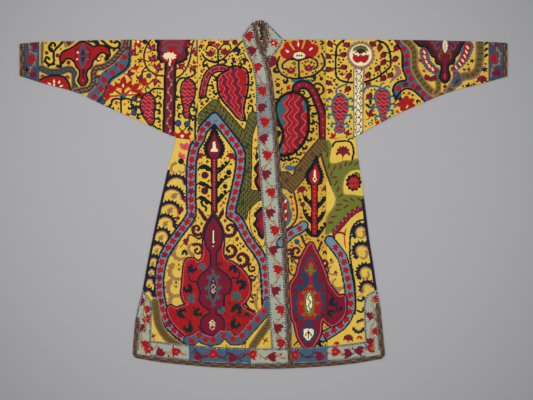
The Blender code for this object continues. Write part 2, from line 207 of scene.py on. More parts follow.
def stroke(points, width, ink, closed=False, taper=None):
    """A line of stitches along points. taper is the width at the far end, as a share."""
    p = np.asarray(points, float)
    if closed:
        p = np.vstack([p, p[:1]])
    x, y = (p[:, 0] - U0) / STEP, (p[:, 1] - V0) / STEP
    half = np.full(len(p), width / 2 / STEP)
    if taper is not None:
        half *= np.linspace(1, taper, len(p))
    pad = half.max() + 1
    c0, c1 = int(max(0, x.min() - pad)), int(min(COLS - 1, x.max() + pad))
    r0, r1 = int(max(0, y.min() - pad)), int(min(ROWS - 1, y.max() + pad))
    if c1 < c0 or r1 < r0:
        return
    inside = np.zeros((r1 - r0 + 1, c1 - c0 + 1), bool)
    for k in range(len(p) - 1):
        h = max(half[k], half[k + 1]) + 1
        a0, a1 = int(max(c0, min(x[k], x[k + 1]) - h)), int(min(c1, max(x[k], x[k + 1]) + h))
        b0, b1 = int(max(r0, min(y[k], y[k + 1]) - h)), int(min(r1, max(y[k], y[k + 1]) + h))
        if a1 < a0 or b1 < b0:
            continue
        gx = np.arange(a0, a1 + 1)[None, :] + 0.5
        gy = np.arange(b0, b1 + 1)[:, None] + 0.5
        dx, dy = x[k + 1] - x[k], y[k + 1] - y[k]
        n = dx * dx + dy * dy
        t = np.clip(((gx - x[k]) * dx + (gy - y[k]) * dy) / n, 0, 1) if n else 0 * gx * gy
        d = np.hypot(gx - x[k] - t * dx, gy - y[k] - t * dy)
        inside[b0 - r0:b1 - r0 + 1, a0 - c0:a1 - c0 + 1] |= d <= half[k] + t * (half[k + 1] - half[k])
    put(r0, c0, inside, ink)


def flow(points, closed=False, per=6):
    """A smooth line through a few points."""
    p = [np.array(q, float) for q in points]
    n = len(p)
    out = []
    for i in range(n if closed else n - 1):
        a, b = p[i], p[(i + 1) % n]
        before = p[(i - 1) % n] if closed or i else a
        after = p[(i + 2) % n] if closed or i < n - 2 else b
        for k in range(per):
            t = k / per
            out.append(0.5 * (2 * a + (b - before) * t + (2 * before - 5 * a + 4 * b - after) * t**2
                              + (3 * a - before - 3 * b + after) * t**3))
    if not closed:
        out.append(p[-1])
    return np.array(out)


def place(shape, u, v, size=1.0, turn=0.0, flip=False):
    """Put a shape, drawn about its own origin with its tip up, on the plan."""
    p = np.asarray(shape, float) * size
    if flip:
        p = p * (-1, 1)
    a = math.radians(turn)
    c, s = math.cos(a), math.sin(a)
    return np.column_stack([u + p[:, 0] * c - p[:, 1] * s, v + p[:, 0] * s + p[:, 1] * c])


def disc(u, v, r, ink, ry=None):
    a = np.linspace(0, 2 * math.pi, max(12, int(r * 10)), endpoint=False)
    fill(np.column_stack([u + r * np.cos(a), v + (ry or r) * np.sin(a)]), ink)


def lobed(u, v, r, lobes, depth, phase=0.0, squash=1.0, power=1.0):
    """A rosette outline."""
    a = np.linspace(0, 2 * math.pi, max(48, lobes * 14), endpoint=False)
    k = np.abs(np.cos(lobes * (a - phase) / 2)) ** power
    rr = r * (1 - depth + depth * k)
    return np.column_stack([u + rr * np.cos(a), v + rr * np.sin(a) * squash])


def along(path):
    """Distances, unit tangents and normals on a path."""
    p = np.asarray(path, float)
    d = np.diff(p, axis=0)
    run = np.concatenate([[0], np.cumsum(np.hypot(d[:, 0], d[:, 1]))])
    return p, run


def at(path, run, s):
    u = np.interp(s, run, path[:, 0])
    v = np.interp(s, run, path[:, 1])
    e = 0.5
    du = np.interp(s + e, run, path[:, 0]) - np.interp(s - e, run, path[:, 0])
    dv = np.interp(s + e, run, path[:, 1]) - np.interp(s - e, run, path[:, 1])
    n = math.hypot(du, dv) or 1.0
    return u, v, du / n, dv / n


def offset(path, by):
    """A path moved to its left-hand side as it is followed (negative for the right)."""
    p = np.asarray(path, float)
    t = np.gradient(p, axis=0)
    n = np.hypot(t[:, 0], t[:, 1])
    n[n == 0] = 1
    nx, ny = t[:, 1] / n, -t[:, 0] / n
    return np.column_stack([p[:, 0] + nx * by, p[:, 1] + ny * by])


def toothed(path, tooth, height, closed=False, side=1):
    """A path with small saw teeth on one side."""
    p = np.asarray(path, float)
    if closed:
        p = np.vstack([p, p[:1]])
    p, run = along(p)
    count = max(2, int(run[-1] / tooth))
    out = []
    for i in range(count * 2 + (0 if closed else 1)):
        s = run[-1] * i / (count * 2)
        u, v, du, dv = at(p, run, s)
        h = height if i % 2 else 0.0
        out.append((u + dv * h * side, v - du * h * side))
    return np.array(out)


# ---- small motifs, each drawn about its own middle with its tip up
def tulip(u, v, size, ink="red", turn=0.0, heart=None):
    """A cup flower of three points on a short neck."""
    shape = [(0, -1.0), (0.28, -0.45), (0.55, 0.0), (0.95, 0.42), (0.45, 0.40), (0.42, 0.85), (0.12, 0.45),
             (0, 0.75), (-0.12, 0.45), (-0.42, 0.85), (-0.45, 0.40), (-0.95, 0.42), (-0.55, 0.0), (-0.28, -0.45)]
    fill(place(shape, u, v, size, turn), ink)
    if heart:
        fill(place([(0, -0.35), (0.18, 0.1), (-0.18, 0.1)], u, v, size, turn), heart)


def carnation(u, v, size, ink="crimson", turn=0.0, heart=None, stalk=None):
    """A fan of pointed petals that droop at both ends, over a short neck."""
    half = [(0, -1.10), (0.20, -0.80), (0.52, -0.98), (0.64, -0.62), (1.02, -0.50), (0.88, -0.08), (1.16, 0.16), (1.02, 0.60),
            (0.72, 0.30), (0.42, 0.22), (0.20, 0.45), (0, 0.80)]
    shape = half + [(-x, y) for x, y in half[-2:0:-1]]
    fill(place(shape, u, v, size, turn), ink)
    if heart:
        fill(place([(-0.25, -0.05), (0, -0.4), (0.25, -0.05), (0, 0.15)], u, v, size, turn), heart)
    if stalk:
        stroke(place([(0, 0.7), (0.05, 1.2), (0.25, 1.6)], u, v, size, turn), size * 0.22, stalk)


def lily(u, v, size, ink="red", turn=0.0, flip=False, tail=True):
    """A cup with a long point, two side petals and a bent tail."""
    shape = [(0.15, -1.25), (0.44, -0.70), (0.50, -0.28), (0.95, -0.60), (1.18, -0.98), (1.16, -0.30), (0.84, 0.20), (0.36, 0.44),
             (0.08, 0.80), (-0.14, 0.44), (-0.62, 0.34), (-1.00, 0.00), (-1.14, -0.52), (-0.72, -0.26), (-0.42, -0.28), (-0.34, -0.72)]
    fill(place(shape, u, v, size, turn, flip), ink)
    if tail:
        stroke(place([(0.06, 0.6), (0.30, 1.10), (0.80, 1.30)], u, v, size, turn, flip), size * 0.26, ink, taper=0.6)


def blob(u, v, size, ink="red", turn=0.0, flip=False):
    """A leaning flower of three uneven lobes, as worked all along a ribbon."""
    shape = [(-0.20, -1.15), (0.25, -0.95), (0.30, -0.55), (0.80, -0.72), (1.0, -0.20), (0.66, 0.10), (0.90, 0.55), (0.50, 0.95), (0.15, 0.60),
             (-0.20, 1.05), (-0.62, 0.80), (-0.50, 0.35), (-0.98, 0.25), (-0.85, -0.30), (-0.48, -0.35), (-0.62, -0.85)]
    fill(place(shape, u, v, size, turn, flip), ink)


def lobes(path, radius, ink, side, first=0.3, last=0.95, count=3, out=0.35):
    """Round bumps along one side of a line."""
    p, run = along(path)
    for n in range(count):
        u, v, du, dv = at(p, run, run[-1] * (first + (last - first) * n / max(1, count - 1)))
        disc(u + dv * side * radius * out, v - du * side * radius * out, radius * (1 - 0.12 * n), ink)


def palm(u, v, size, ink="navy", turn=0.0, flip=False):
    """A broad curled leaf with a lobed back and a bent tip."""
    shape = flow([(0.10, 1.05), (-0.20, 0.62), (-0.62, 0.52), (-0.62, 0.12), (-0.98, -0.12), (-0.68, -0.42), (-0.72, -0.86), (-0.22, -0.80),
                  (0.12, -1.08), (0.46, -0.78), (0.94, -0.74), (1.00, -0.20), (0.70, 0.12), (0.52, -0.22), (0.20, -0.22), (0.14, 0.12),
                  (0.40, 0.42), (0.26, 0.80)], closed=True, per=3)
    fill(place(shape, u, v, size, turn, flip), ink)


def scroll(u, v, size, ink="maroon", turn=0.0, flip=False, width=0.40, teeth=True):
    """A thick scroll that rolls in on itself, with saw teeth on its back."""
    path = flow([(-0.25, 1.05), (0.38, 0.86), (0.82, 0.42), (0.94, -0.14), (0.72, -0.66), (0.22, -0.90), (-0.32, -0.78), (-0.58, -0.34),
                 (-0.42, 0.06), (-0.10, 0.06)], per=4)
    line_ = place(path, u, v, size, turn, flip)
    stroke(line_, size * width, ink, taper=0.72)
    disc(line_[-1, 0], line_[-1, 1], size * width * 0.55, ink)
    if teeth:
        k = int(len(line_) * 0.66)
        back = line_[:k]
        side = -1 if flip else 1
        saw = toothed(offset(back, side * size * width * 0.40), size * 0.42, size * 0.26, side=side)
        fill(np.vstack([saw, back[::-1]]), ink)


def hook(rim, u, v, size, ink="black", flip=False):
    """A thick hooked thorn that grows from the nearest place on an outline."""
    r = np.asarray(rim, float)
    k = int(np.argmin(np.hypot(r[:, 0] - u, r[:, 1] - v)))
    du, dv = u - r[k, 0], v - r[k, 1]
    n = math.hypot(du, dv) or 1.0
    du, dv = du / n, dv / n
    turn = math.degrees(math.atan2(du, -dv))
    u, v = r[k, 0] + du * size * 1.45, r[k, 1] + dv * size * 1.45
    shape = flow([(-0.35, 1.75), (-0.42, 0.45), (-0.72, 0.10), (-0.74, -0.32), (-0.34, -0.40), (0.00, -0.78), (0.60, -0.92), (1.08, -0.52), (1.02, 0.00),
                  (0.62, 0.16), (0.58, -0.20), (0.26, -0.14), (0.16, 0.34), (0.22, 0.80), (0.22, 1.75)], closed=True, per=3)
    fill(place(shape, u, v, size, turn, flip), ink)


def crescent(u, v, size, ink="tan", turn=0.0, flip=False):
    """A thick curved leaf, bumpy along its back."""
    path = place(flow([(-0.35, -1.0), (-0.62, -0.35), (-0.45, 0.30), (0.10, 0.62), (0.75, 0.50)], per=5), u, v, size, turn, flip)
    stroke(path, size * 0.58, ink, taper=0.55)
    lobes(path, size * 0.22, ink, -1 if not flip else 1, 0.1, 0.9, 6, 1.0)


def curl(u, v, size, ink="black", turn=0.0, flip=False, width=0.34, turns=1.15):
    """A hook that rolls in on itself and ends in a bud."""
    t = np.linspace(0, 1, 26)
    a = math.pi * 2 * turns * t
    r = 0.62 * (1 - 0.62 * t)
    spiral = np.column_stack([r * np.sin(a), -0.62 + r * np.cos(a) * 1.0])
    shape = [(0.0, 0.95), (-0.10, 0.45)] + [(x - 0.0, y) for x, y in spiral]
    line = place(shape, u, v, size, turn, flip)
    stroke(line, size * width * 1.2, ink, taper=0.75)
    disc(line[-1, 0], line[-1, 1], size * 0.24, ink)


def thorn(u, v, size, ink="black", turn=0.0, flip=False):
    """A short leaf hook on an outline."""
    shape = [(-0.35, 0.2), (-0.25, -0.35), (0.05, -0.8), (0.55, -1.0), (0.85, -0.6), (0.55, -0.25), (0.45, -0.55),
             (0.25, -0.35), (0.35, 0.2)]
    fill(place(shape, u, v, size, turn, flip), ink)


def leaf(u, v, size, ink="teal", turn=0.0, slim=0.42, vein=None):
    t = np.linspace(0, math.pi, 12)
    right = np.column_stack([slim * np.sin(t), -np.cos(t)])
    left = right[::-1] * (-1, 1)
    fill(place(np.vstack([right, left]), u, v, size, turn), ink)
    if vein:
        stroke(place([(0, -0.6), (0, 0.7)], u, v, size, turn), size * 0.16, vein)


def bud(u, v, size, ink="crimson", cup="black", turn=0.0, flip=False):
    """A drop-shaped bud in a dark cup, with its point curled over."""
    shape = [(0.0, 0.55), (-0.42, 0.2), (-0.45, -0.25), (-0.15, -0.6), (0.3, -0.75), (0.75, -1.1), (0.55, -0.5),
             (0.45, 0.05), (0.3, 0.4)]
    fill(place(shape, u, v, size, turn, flip), ink)
    if cup:
        fill(place([(0.0, 0.75), (-0.5, 0.3), (-0.5, -0.1), (-0.2, 0.12), (0.05, -0.1), (0.35, 0.15), (0.4, 0.35)],
                   u, v, size, turn, flip), cup)


def star(u, v, size, ink="crimson", points=5, inner=0.45, turn=0.0):
    a = np.arange(points * 2) * math.pi / points - math.pi / 2 + math.radians(turn)
    r = np.where(np.arange(points * 2) % 2, inner, 1.0) * size
    fill(np.column_stack([u + r * np.cos(a), v + r * np.sin(a)]), ink)


def ringed(u, v, r, ink, ring="black", width=1.0, dot=None):
    disc(u, v, r + width, ring)
    disc(u, v, r, ink)
    if dot:
        disc(u, v, r * 0.4, dot)


def outlined(points, ink, line, width):
    stroke(points, width * 2, line, closed=True)
    fill(points, ink)


def vine(points, width, ink, hooks=(), smooth=True):
    path = flow(points) if smooth else np.array(points, float)
    stroke(path, width, ink)
    p, run = along(path)
    for share, size, side in hooks:
        u, v, du, dv = at(p, run, run[-1] * share)
        turn = math.degrees(math.atan2(dv, du)) + (0 if side > 0 else 180)
        curl(u + dv * size * 0.9 * side, v - du * size * 0.9 * side, size, ink, turn, flip=side < 0, width=0.30)
    return path


def repeat(path, spacing, draw, start=0.5, end=0.5):
    """Call draw(u, v, turn, n) at even steps on a path; turn points the tip along the path."""
    p, run = along(path)
    count = max(1, int(round((run[-1] - (start + end) * spacing) / spacing)) + 1)
    for n in range(count):
        s = start * spacing + (run[-1] - (start + end) * spacing) * (n / max(1, count - 1))
        u, v, du, dv = at(p, run, s)
        draw(u, v, math.degrees(math.atan2(dv, du)) + 90, n)


def ribbon(path, width, ink, line="navy", line_width=1.2):
    """A plain band along a path with a dark line on both edges."""
    stroke(path, width + line_width * 2, line)
    stroke(path, width, ink)


def flower_ribbon(path, width=9.0, ink="sky", line="navy", line_width=1.6, spacing=8.5, size=3.2, flowers=("red", "red")):
    ribbon(path, width, ink, line, line_width)

    def one(u, v, turn, n):
        ink2 = flowers[n % len(flowers)]
        blob(u, v, size, ink2, turn + 15, n % 2 == 1)
    repeat(path, spacing, one)


def dash_ribbon(path, width=8.0, ink="olive", dash="maroon", line="tan", line_width=1.4, spacing=4.2, lean=24.0, rows=2):
    ribbon(path, width, ink, line, line_width)

    def one(u, v, turn, n):
        side = (n % rows - (rows - 1) / 2) * width * 0.44
        a = math.radians(turn)
        uu, vv = u + side * math.cos(a), v + side * math.sin(a)
        stroke(place([(0, 1.35), (0, -1.35)], uu, vv, 1.0, turn + lean), 1.0, dash)
    repeat(path, spacing * 0.62, one)


def wave_lines(u, v0, v1, half, ink, width=0.9, period=7.0, swing=1.6, phase=0.0):
    t = np.linspace(v0, v1, int(abs(v1 - v0) * 2) + 2)
    stroke(np.column_stack([u + swing * np.sign(np.sin((t - v0) / period * 2 * math.pi + phase))
                            * np.abs(np.sin((t - v0) / period * 2 * math.pi + phase)) ** 0.7, t]), width, ink)


# ---------------------------------------------------------------- where each cloth is on the plan
def plan(x, y):
    return np.column_stack([np.asarray(x) / UNIT + MID_U, MID_V - np.asarray(y) / UNIT])


def region(points):
    """Cells inside an outline given in units."""
    global canvas, mask
    kept, kept_mask = canvas, mask
    canvas, mask = np.zeros((ROWS, COLS), np.uint8), None
    fill(points, NAMES[1])
    inside = canvas == 1
    canvas, mask = kept, kept_mask
    return inside


def strip(left, right, y0, y1, step=6.0):
    """The outline of what lies between two long edges."""
    y = np.linspace(y0, y1, int(abs(y1 - y0) / step) + 2)
    return np.vstack([plan(left(y), y), plan(right(y), y)[::-1]])


def between(x0, x1, low, high, step=6.0):
    x = np.linspace(x0, x1, int(abs(x1 - x0) / step) + 2)
    return np.vstack([plan(x, low(x)), plan(x, high(x))[::-1]])


ZONE = {}


def zones():
    over = lambda f, by: (lambda t: f(t) + by)
    ZONE["sleeve_left"] = region(between(-806, -236, over(sleeve_under["left"], -4), over(sleeve_top["left"], 4)))
    ZONE["sleeve_right"] = region(between(225, 810, over(sleeve_under["right"], -4), over(sleeve_top["right"], 4)))
    ZONE["cuff_left"] = region(between(-862, -806, over(sleeve_under["left"], -4), over(sleeve_top["left"], 4)))
    ZONE["cuff_right"] = region(between(810, 866, over(sleeve_under["right"], -4), over(sleeve_top["right"], 4)))
    ZONE["front_left"] = region(strip(body_left, band_seam_left, -640, 562))
    ZONE["front_right"] = region(strip(band_edge_right, body_right, -640, 562))
    ZONE["gore_left"] = region(strip(over(side_left, -4), body_left, -640, 232)) & ~ZONE["sleeve_left"]
    ZONE["gore_right"] = region(strip(body_right, over(side_right, 4), -640, 232)) & ~ZONE["sleeve_right"]
    ZONE["vents"] = (region(strip(over(side_left, -6), vent_left, -640, -340))
                     | region(strip(vent_right, over(side_right, 6), -640, -340)))
    ZONE["hem"] = region(between(-480, 450, over(hem_line, -6), over(hem_line, TRIM + HEM_BAND)))
    ZONE["band_left"] = region(strip(band_seam_left, over(band_edge_left, 2), -640, 630))
    ZONE["band_right"] = region(strip(band_edge_right, band_seam_right, 430, 630)) & ~ZONE["band_left"]


# ---------------------------------------------------------------- larger motifs
def dots(places, ink, r=2.0, ring=None, width=0.9):
    for place_ in places:
        u, v = place_[0], place_[1]
        rr = place_[2] if len(place_) > 2 else r
        if ring:
            disc(u, v, rr + width, ring)
        disc(u, v, rr, ink)


def line(points, width, ink, taper=None, per=6):
    stroke(flow(points, per=per), width, ink, taper=taper)


def stem(points, width, core, edge, edge_width=1.5, dash=None, spacing=3.4):
    """A stalk with a dark line on each side, and small dashes up its middle."""
    path = flow(points)
    stroke(path, width + 2 * edge_width, edge)
    stroke(path, width, core)
    if dash:
        repeat(path, spacing, lambda u, v, turn, n: disc(u, v, width * 0.20, dash, width * 0.28))


def striped(outline, edge, edge_width, inks, lines, line_ink="pink", period=15.0, swing=2.6, line_width=1.0, tilt=0.0):
    """A fruit of upright coloured stripes with wavy lines between them."""
    global mask
    stroke(outline, edge_width * 2, edge, closed=True)
    p = np.asarray(outline)
    kept = mask
    inside = region(p)
    mask = inside if kept is None else inside & kept
    u0, u1, v0, v1 = p[:, 0].min() - 12, p[:, 0].max() + 12, p[:, 1].min(), p[:, 1].max()
    fill(p, inks[0][1])
    for share, ink in inks:
        a = p[:, 0].min() + share * (p[:, 0].max() - p[:, 0].min())
        t = np.linspace(v0, v1, 60)
        wave = swing * np.sin((t - v0) / period * 2 * math.pi)
        slope = (t - (v0 + v1) / 2) * tilt
        fill(np.vstack([np.column_stack([a + wave + slope, t]), [(u1, v1), (u1, v0)]]), ink)
    for share in lines:
        a = p[:, 0].min() + share * (p[:, 0].max() - p[:, 0].min())
        t = np.linspace(v0 + 2, v1 - 2, 60)
        wave = swing * np.sin((t - v0) / period * 2 * math.pi)
        stroke(np.column_stack([a + wave + (t - (v0 + v1) / 2) * tilt, t]), line_width, line_ink)
    mask = kept


def banded(outline, edge, edge_width, inks, line_ink="pink", pitch=6.0, rise=0.0):
    """A fruit of level coloured bands with zigzag lines between them."""
    global mask
    stroke(outline, edge_width * 2, edge, closed=True)
    p = np.asarray(outline)
    kept = mask
    inside = region(p)
    mask = inside if kept is None else inside & kept
    u0, u1, v0, v1 = p[:, 0].min(), p[:, 0].max(), p[:, 1].min(), p[:, 1].max()
    fill(p, inks[0])
    n = 0
    v = v0
    while v < v1 + 4:
        t = np.linspace(u0 - 1, u1 + 1, 24)
        wave = v + 1.1 * np.sin((t - u0) / 5.0 * 2 * math.pi + n) + (t - u0) * rise
        if n % 2:
            fill(np.vstack([np.column_stack([t, wave]), [(u1 + 1, v + pitch), (u0 - 1, v + pitch)]]), inks[n // 2 % (len(inks) - 1) + 1])
        stroke(np.column_stack([t, wave]), 0.9, line_ink)
        v += pitch
        n += 1
    mask = kept


def bulb(u, v, half, height, tip=0.0, neck=0.12, flip=1):
    """A pepper outline: round below, drawn to a leaning tip above."""
    pts = [(0.10 * tip, -1.0), (0.42, -0.72), (0.86, -0.30), (1.0, 0.18), (0.80, 0.66), (0.34, 0.96), (-0.25, 1.0),
           (-0.75, 0.74), (-1.0, 0.22), (-0.88, -0.26), (-0.46, -0.70)]
    return flow([(u + flip * a * half + (tip * half if b < -0.9 else 0), v + b * height) for a, b in pts], closed=True)


def lamp(u, top, neck, foot, half, leaf_half, ink_leaf="black", core="crimson", dot="pink", figure="cream", step=2.6, lean=0.0):
    """A flame-shaped head with a scalloped edge on a long stalk."""
    mid = (top + neck) / 2 + (neck - top) * 0.12
    head = flow([(u + lean, top), (u + lean * 0.7 + leaf_half * 0.45, (top + mid) / 2), (u + leaf_half, mid), (u + leaf_half * 0.75, neck - 3),
                 (u + half, neck), (u - half, neck), (u - leaf_half * 0.75, neck - 3), (u - leaf_half, mid),
                 (u + lean * 0.7 - leaf_half * 0.45, (top + mid) / 2)], closed=True)
    fill(head, ink_leaf)
    p, run = along(np.vstack([head, head[:1]]))
    for n in range(int(run[-1] / 3.1)):
        a, b, du, dv = at(p, run, n * 3.1)
        if b < neck - 1.5:
            disc(a, b, 1.5, ink_leaf)
    inner = flow([(u + lean, top + 7.0), (u + lean * 0.6 + leaf_half * 0.30, (top + mid) / 2 + 3.6), (u + leaf_half * 0.62, mid + 0.6),
                  (u + leaf_half * 0.40, neck - 2.8), (u, neck - 0.6), (u - leaf_half * 0.40, neck - 2.8), (u - leaf_half * 0.62, mid + 0.6),
                  (u + lean * 0.6 - leaf_half * 0.30, (top + mid) / 2 + 3.6)], closed=True)
    fill(inner, core)
    if figure:
        size = (neck - top) * 0.155
        fill(place([(0, -1.0), (0.22, -0.85), (0.26, 0.2), (0.62, 0.55), (0.70, 0.95), (-0.70, 0.95), (-0.62, 0.55), (-0.26, 0.2), (-0.22, -0.85)],
                   u + lean * 0.3, mid - 0.2, size), figure)
    fill([(u - half, neck - 2), (u + half, neck - 2), (u + half, foot - 1.5), (u, foot + 1.0), (u - half, foot - 1.5)], ink_leaf)
    inside = max(half - 1.35, 1.0)
    fill([(u - inside, neck - 1.6), (u + inside, neck - 1.6), (u + inside, foot - 2.4), (u - inside, foot - 2.4)], core)
    v = neck + 1
    while v < foot - 3:
        disc(u, v, 0.62, dot, 0.72)
        v += step


def leafy(points, ink="black", width=1.7, leaves=3, size=3.2, side=1):
    """A branch that curls over, with pointed leaves along it."""
    path = flow(points)
    stroke(path, width, ink, taper=0.7)
    p, run = along(path)
    for n in range(leaves):
        s = run[-1] * (0.45 + 0.5 * n / max(1, leaves - 1))
        u, v, du, dv = at(p, run, s)
        turn = math.degrees(math.atan2(dv, du)) + 90
        leaf(u + dv * size * 0.55 * side, v - du * size * 0.55 * side, size, ink, turn + 38 * side, slim=0.36)
        leaf(u - dv * size * 0.45 * side, v + du * size * 0.45 * side, size * 0.8, ink, turn - 46 * side, slim=0.36)


def spray(u, v, size, ink="black", turn=0.0):
    """A three-leaved sprig."""
    for a, k in ((0, 1.0), (52, 0.85), (-52, 0.85)):
        p = place([(0, -0.75)], u, v, size * k, turn + a)[0]
        leaf(p[0], p[1], size * 0.62 * k, ink, turn + a, slim=0.40)
    stroke(place([(0, -0.4), (0, 0.8)], u, v, size, turn), size * 0.26, ink)


def paisley(u, v, size, ink="tan", turn=0.0, flip=False, heart=None):
    shape = flow([(0.55, -1.0), (0.15, -0.55), (0.55, 0.0), (0.45, 0.65), (-0.1, 0.9), (-0.6, 0.45), (-0.55, -0.2),
                  (-0.1, -0.75)], closed=True, per=4)
    fill(place(shape, u, v, size, turn, flip), ink)
    if heart:
        disc(*place([(-0.05, 0.25)], u, v, size, turn, flip)[0], size * 0.26, heart)


def scallop(points, width=2.0, ink="navy", tooth=2.6, height=1.7, side=1, under=None, under_width=2.2):
    """A curved line with teeth on one side, and a paler line inside it."""
    path = flow(points)
    if under:
        stroke(offset(path, -side * (width * 0.5 + under_width * 0.5)), under_width, under)
    stroke(path, width, ink)
    base = offset(path, side * width * 0.35)
    teeth = toothed(base, tooth, height, side=side)
    fill(np.vstack([teeth, base[::-1]]), ink)


def hatched(shape, turn, ink="crimson", step=(3.7, 4.6), long=1.5, width=1.1, margin=1.6):
    """Short slanted dashes in staggered rows over a field. turn is an angle, or a function of the place."""
    p = np.asarray(shape, float)
    v, row = p[:, 1].min() + 1.5, 0
    while v < p[:, 1].max():
        u = p[:, 0].min() + 1.2 + (step[0] / 2 if row % 2 else 0)
        while u < p[:, 0].max():
            if inside_at(p, u, v, margin):
                a = turn(u, v) if callable(turn) else turn
                stroke(place([(0, long), (0, -long)], u, v, 1.0, a + 7 * math.sin(u * 1.7 + v)), width, ink)
            u += step[0]
        v += step[1] / 2
        row += 1


def band_of(path, width):
    """The outline of a band of one width along a line with corners."""
    p = np.asarray(path, float)
    return np.vstack([offset(p, width / 2), offset(p, -width / 2)[::-1]])


def bough(points, ink="black", width=1.6, radius=1.7, side=1, count=3):
    """A branch with round leaves along one side and a thin tip."""
    path = flow(points)
    stroke(path, width * 1.5, ink, taper=0.55)
    lobes(path, radius * 1.2, ink, side, 0.28, 0.78, count, 0.75)


def olive_right():
    """The olive bands of the right front and gore, which meet at the foot of the great stem."""
    leg = [(282.0, 172.4), (288.0, 172.8), (293.4, 177.4), (296.4, 167.6), (307.0, 153.4), (319.4, 139.0), (326.4, 140.0), (329.0, 150.0), (321.0, 153.4),
           (307.4, 168.8), (303.2, 179.0), (291.6, 192.4), (287.0, 188.4), (280.0, 186.6), (278.0, 172.0)]
    field = flow([(321.0, 152.6), (324.8, 168.0), (330.6, 184.0), (336.4, 198.0), (334.4, 207.0), (329.0, 214.4), (327.0, 222.0), (326.0, 233.0), (330.4, 232.0),
                  (337.0, 226.6), (343.6, 218.4), (350.6, 211.0), (358.0, 207.0), (367.0, 206.0), (367.0, 195.6), (352.4, 195.2), (343.4, 194.4), (342.4, 185.0),
                  (344.2, 177.4), (350.0, 170.8), (362.0, 168.6), (361.0, 160.6), (348.0, 160.2), (338.4, 162.6), (334.2, 158.0), (331.4, 147.4), (327.0, 141.0)],
                 closed=True, per=3)
    stroke(field, 2.8, "tan", closed=True); stroke(leg, 2.8, "maroon", closed=True)
    fill(field, "grass"); fill(leg, "olive")
    stroke([(321.0, 153.6), (324.8, 168.0), (331.0, 185.0)], 1.6, "maroon")
    for u, v, s in ((300.0, 170.0, 3.0), (312.0, 153.6, 2.6), (286.6, 181.0, 3.2)):
        leaf(u, v, s, "forest", 35, slim=0.5)
    hatched(leg, -32, "crimson", (4.6, 5.0), 1.3, 1.2, 1.3)
    for u, v, turn in ((327.4, 154.6, 10), (328.6, 166.0, 20), (331.4, 173.6, 20), (334.4, 168.0, 30), (340.6, 166.6, 5), (345.6, 164.0, 14), (350.6, 163.6, 46),
                       (356.4, 163.6, 50), (334.2, 177.4, 80), (336.0, 183.0, 30), (338.0, 189.0, 24), (340.6, 195.6, 60), (345.6, 200.6, 108), (352.0, 199.6, 126),
                       (359.6, 199.6, 124), (339.4, 204.6, 82), (338.4, 209.8, 78), (334.0, 216.4, 80), (330.6, 222.6, 84), (346.0, 206.4, 60)):
        stroke(place([(0, 2.1), (0, -2.1)], u, v, 1.0, turn), 1.7, "crimson")


def neck_slit_shade_and_braid():
    """What shows in the neck slit: the inside of the collar, painted dark umber as the shade in the slit, with the
    folded end of its braid.
    """
    # painted shade: the whole slit is filled dark umber, then the braid's end is worked over it
    fill([(249.0, 10.0), (276.0, 10.0), (276.0, 74.0), (249.0, 74.0)], "umber")
    fill([(258.6, 10.0), (262.4, 10.0), (261.0, 46.0), (260.4, 30.0)], "brown")
    for u, v, ink in ((257.6, 21.0, "stone"), (260.6, 22.4, "tan"), (256.6, 25.0, "ochre"), (259.0, 28.0, "stone"), (263.6, 20.6, "mauve"), (258.8, 32.6, "cream"),
                      (260.0, 36.0, "stone")):
        disc(u, v, 0.8, ink, 1.3)


def stalk(rim, u, v, width=1.2, ink="black"):
    """A short bent twig from a motif to the nearest place on a vine."""
    r = np.asarray(rim, float)
    k = int(np.argmin(np.hypot(r[:, 0] - u, r[:, 1] - v)))
    a, b = r[k]
    stroke(flow([(u, v), ((u + a) / 2 + (b - v) * 0.22, (v + b) / 2 - (a - u) * 0.22), (a, b)], per=5), width, ink)


def fillers(zone, ground, seed, draw, big=4.4, small=1.7, tries=3200, room=1.0):
    """Small motifs of their own size in every bare place, as such work is filled."""
    state = np.random.RandomState(seed)
    rows, cols = np.nonzero(zone)
    if not len(rows):
        return 0
    bare = INDEX[INK_SWAP.get(ground, ground)]
    picks = state.randint(0, len(rows), tries)
    ring = [(math.cos(a), math.sin(a)) for a in np.linspace(0, 2 * math.pi, 15)[:-1]]
    offsets = np.array([(x * k, y * k) for k in (0.35, 0.7, 1.0) for x, y in ring] + [(0, 0)])
    count = 0
    for size in (big, (big * 2 + small) / 3, (big + 2 * small) / 3, small):
        for n in picks:
            r, c = rows[n], cols[n]
            if canvas[r, c] != bare:
                continue
            rr = np.clip((r + offsets[:, 1] * size * room / STEP).astype(int), 0, ROWS - 1)
            cc = np.clip((c + offsets[:, 0] * size * room / STEP).astype(int), 0, COLS - 1)
            if (canvas[rr, cc] != bare).any() or not zone[rr, cc].all():
                continue
            draw(U0 + (c + 0.5) * STEP, V0 + (r + 0.5) * STEP, size, state.randint(0, 360), state.randint(0, 12))
            count += 1
    return count


def cut_flower(u, v, size, turn, kind):
    """A cut flower, a bud or a leaf on a bit of stalk, in red and wine."""
    if size < 2.0:
        disc(u, v, size * 0.62, ("maroon", "red", "crimson", "black")[kind % 4]) if kind % 3 else tulip(u, v, size * 0.95, "crimson", turn)
        return
    ink = ("crimson", "red", "crimson", "maroon", "crimson", "red")[kind % 6]
    line_ = place(flow([(-0.2, 1.15), (0.15, 0.6), (0.0, 0.1)], per=4), u, v, size * 0.86, turn)
    stroke(line_, 0.95, "maroon")
    lily(u, v, size * 0.80, ink, turn, kind % 2 == 0, False)
    if kind % 3 == 0:
        p = place([(-0.05, -0.15)], u, v, size * 0.86, turn)[0]
        disc(p[0], p[1], size * 0.20, "pink")


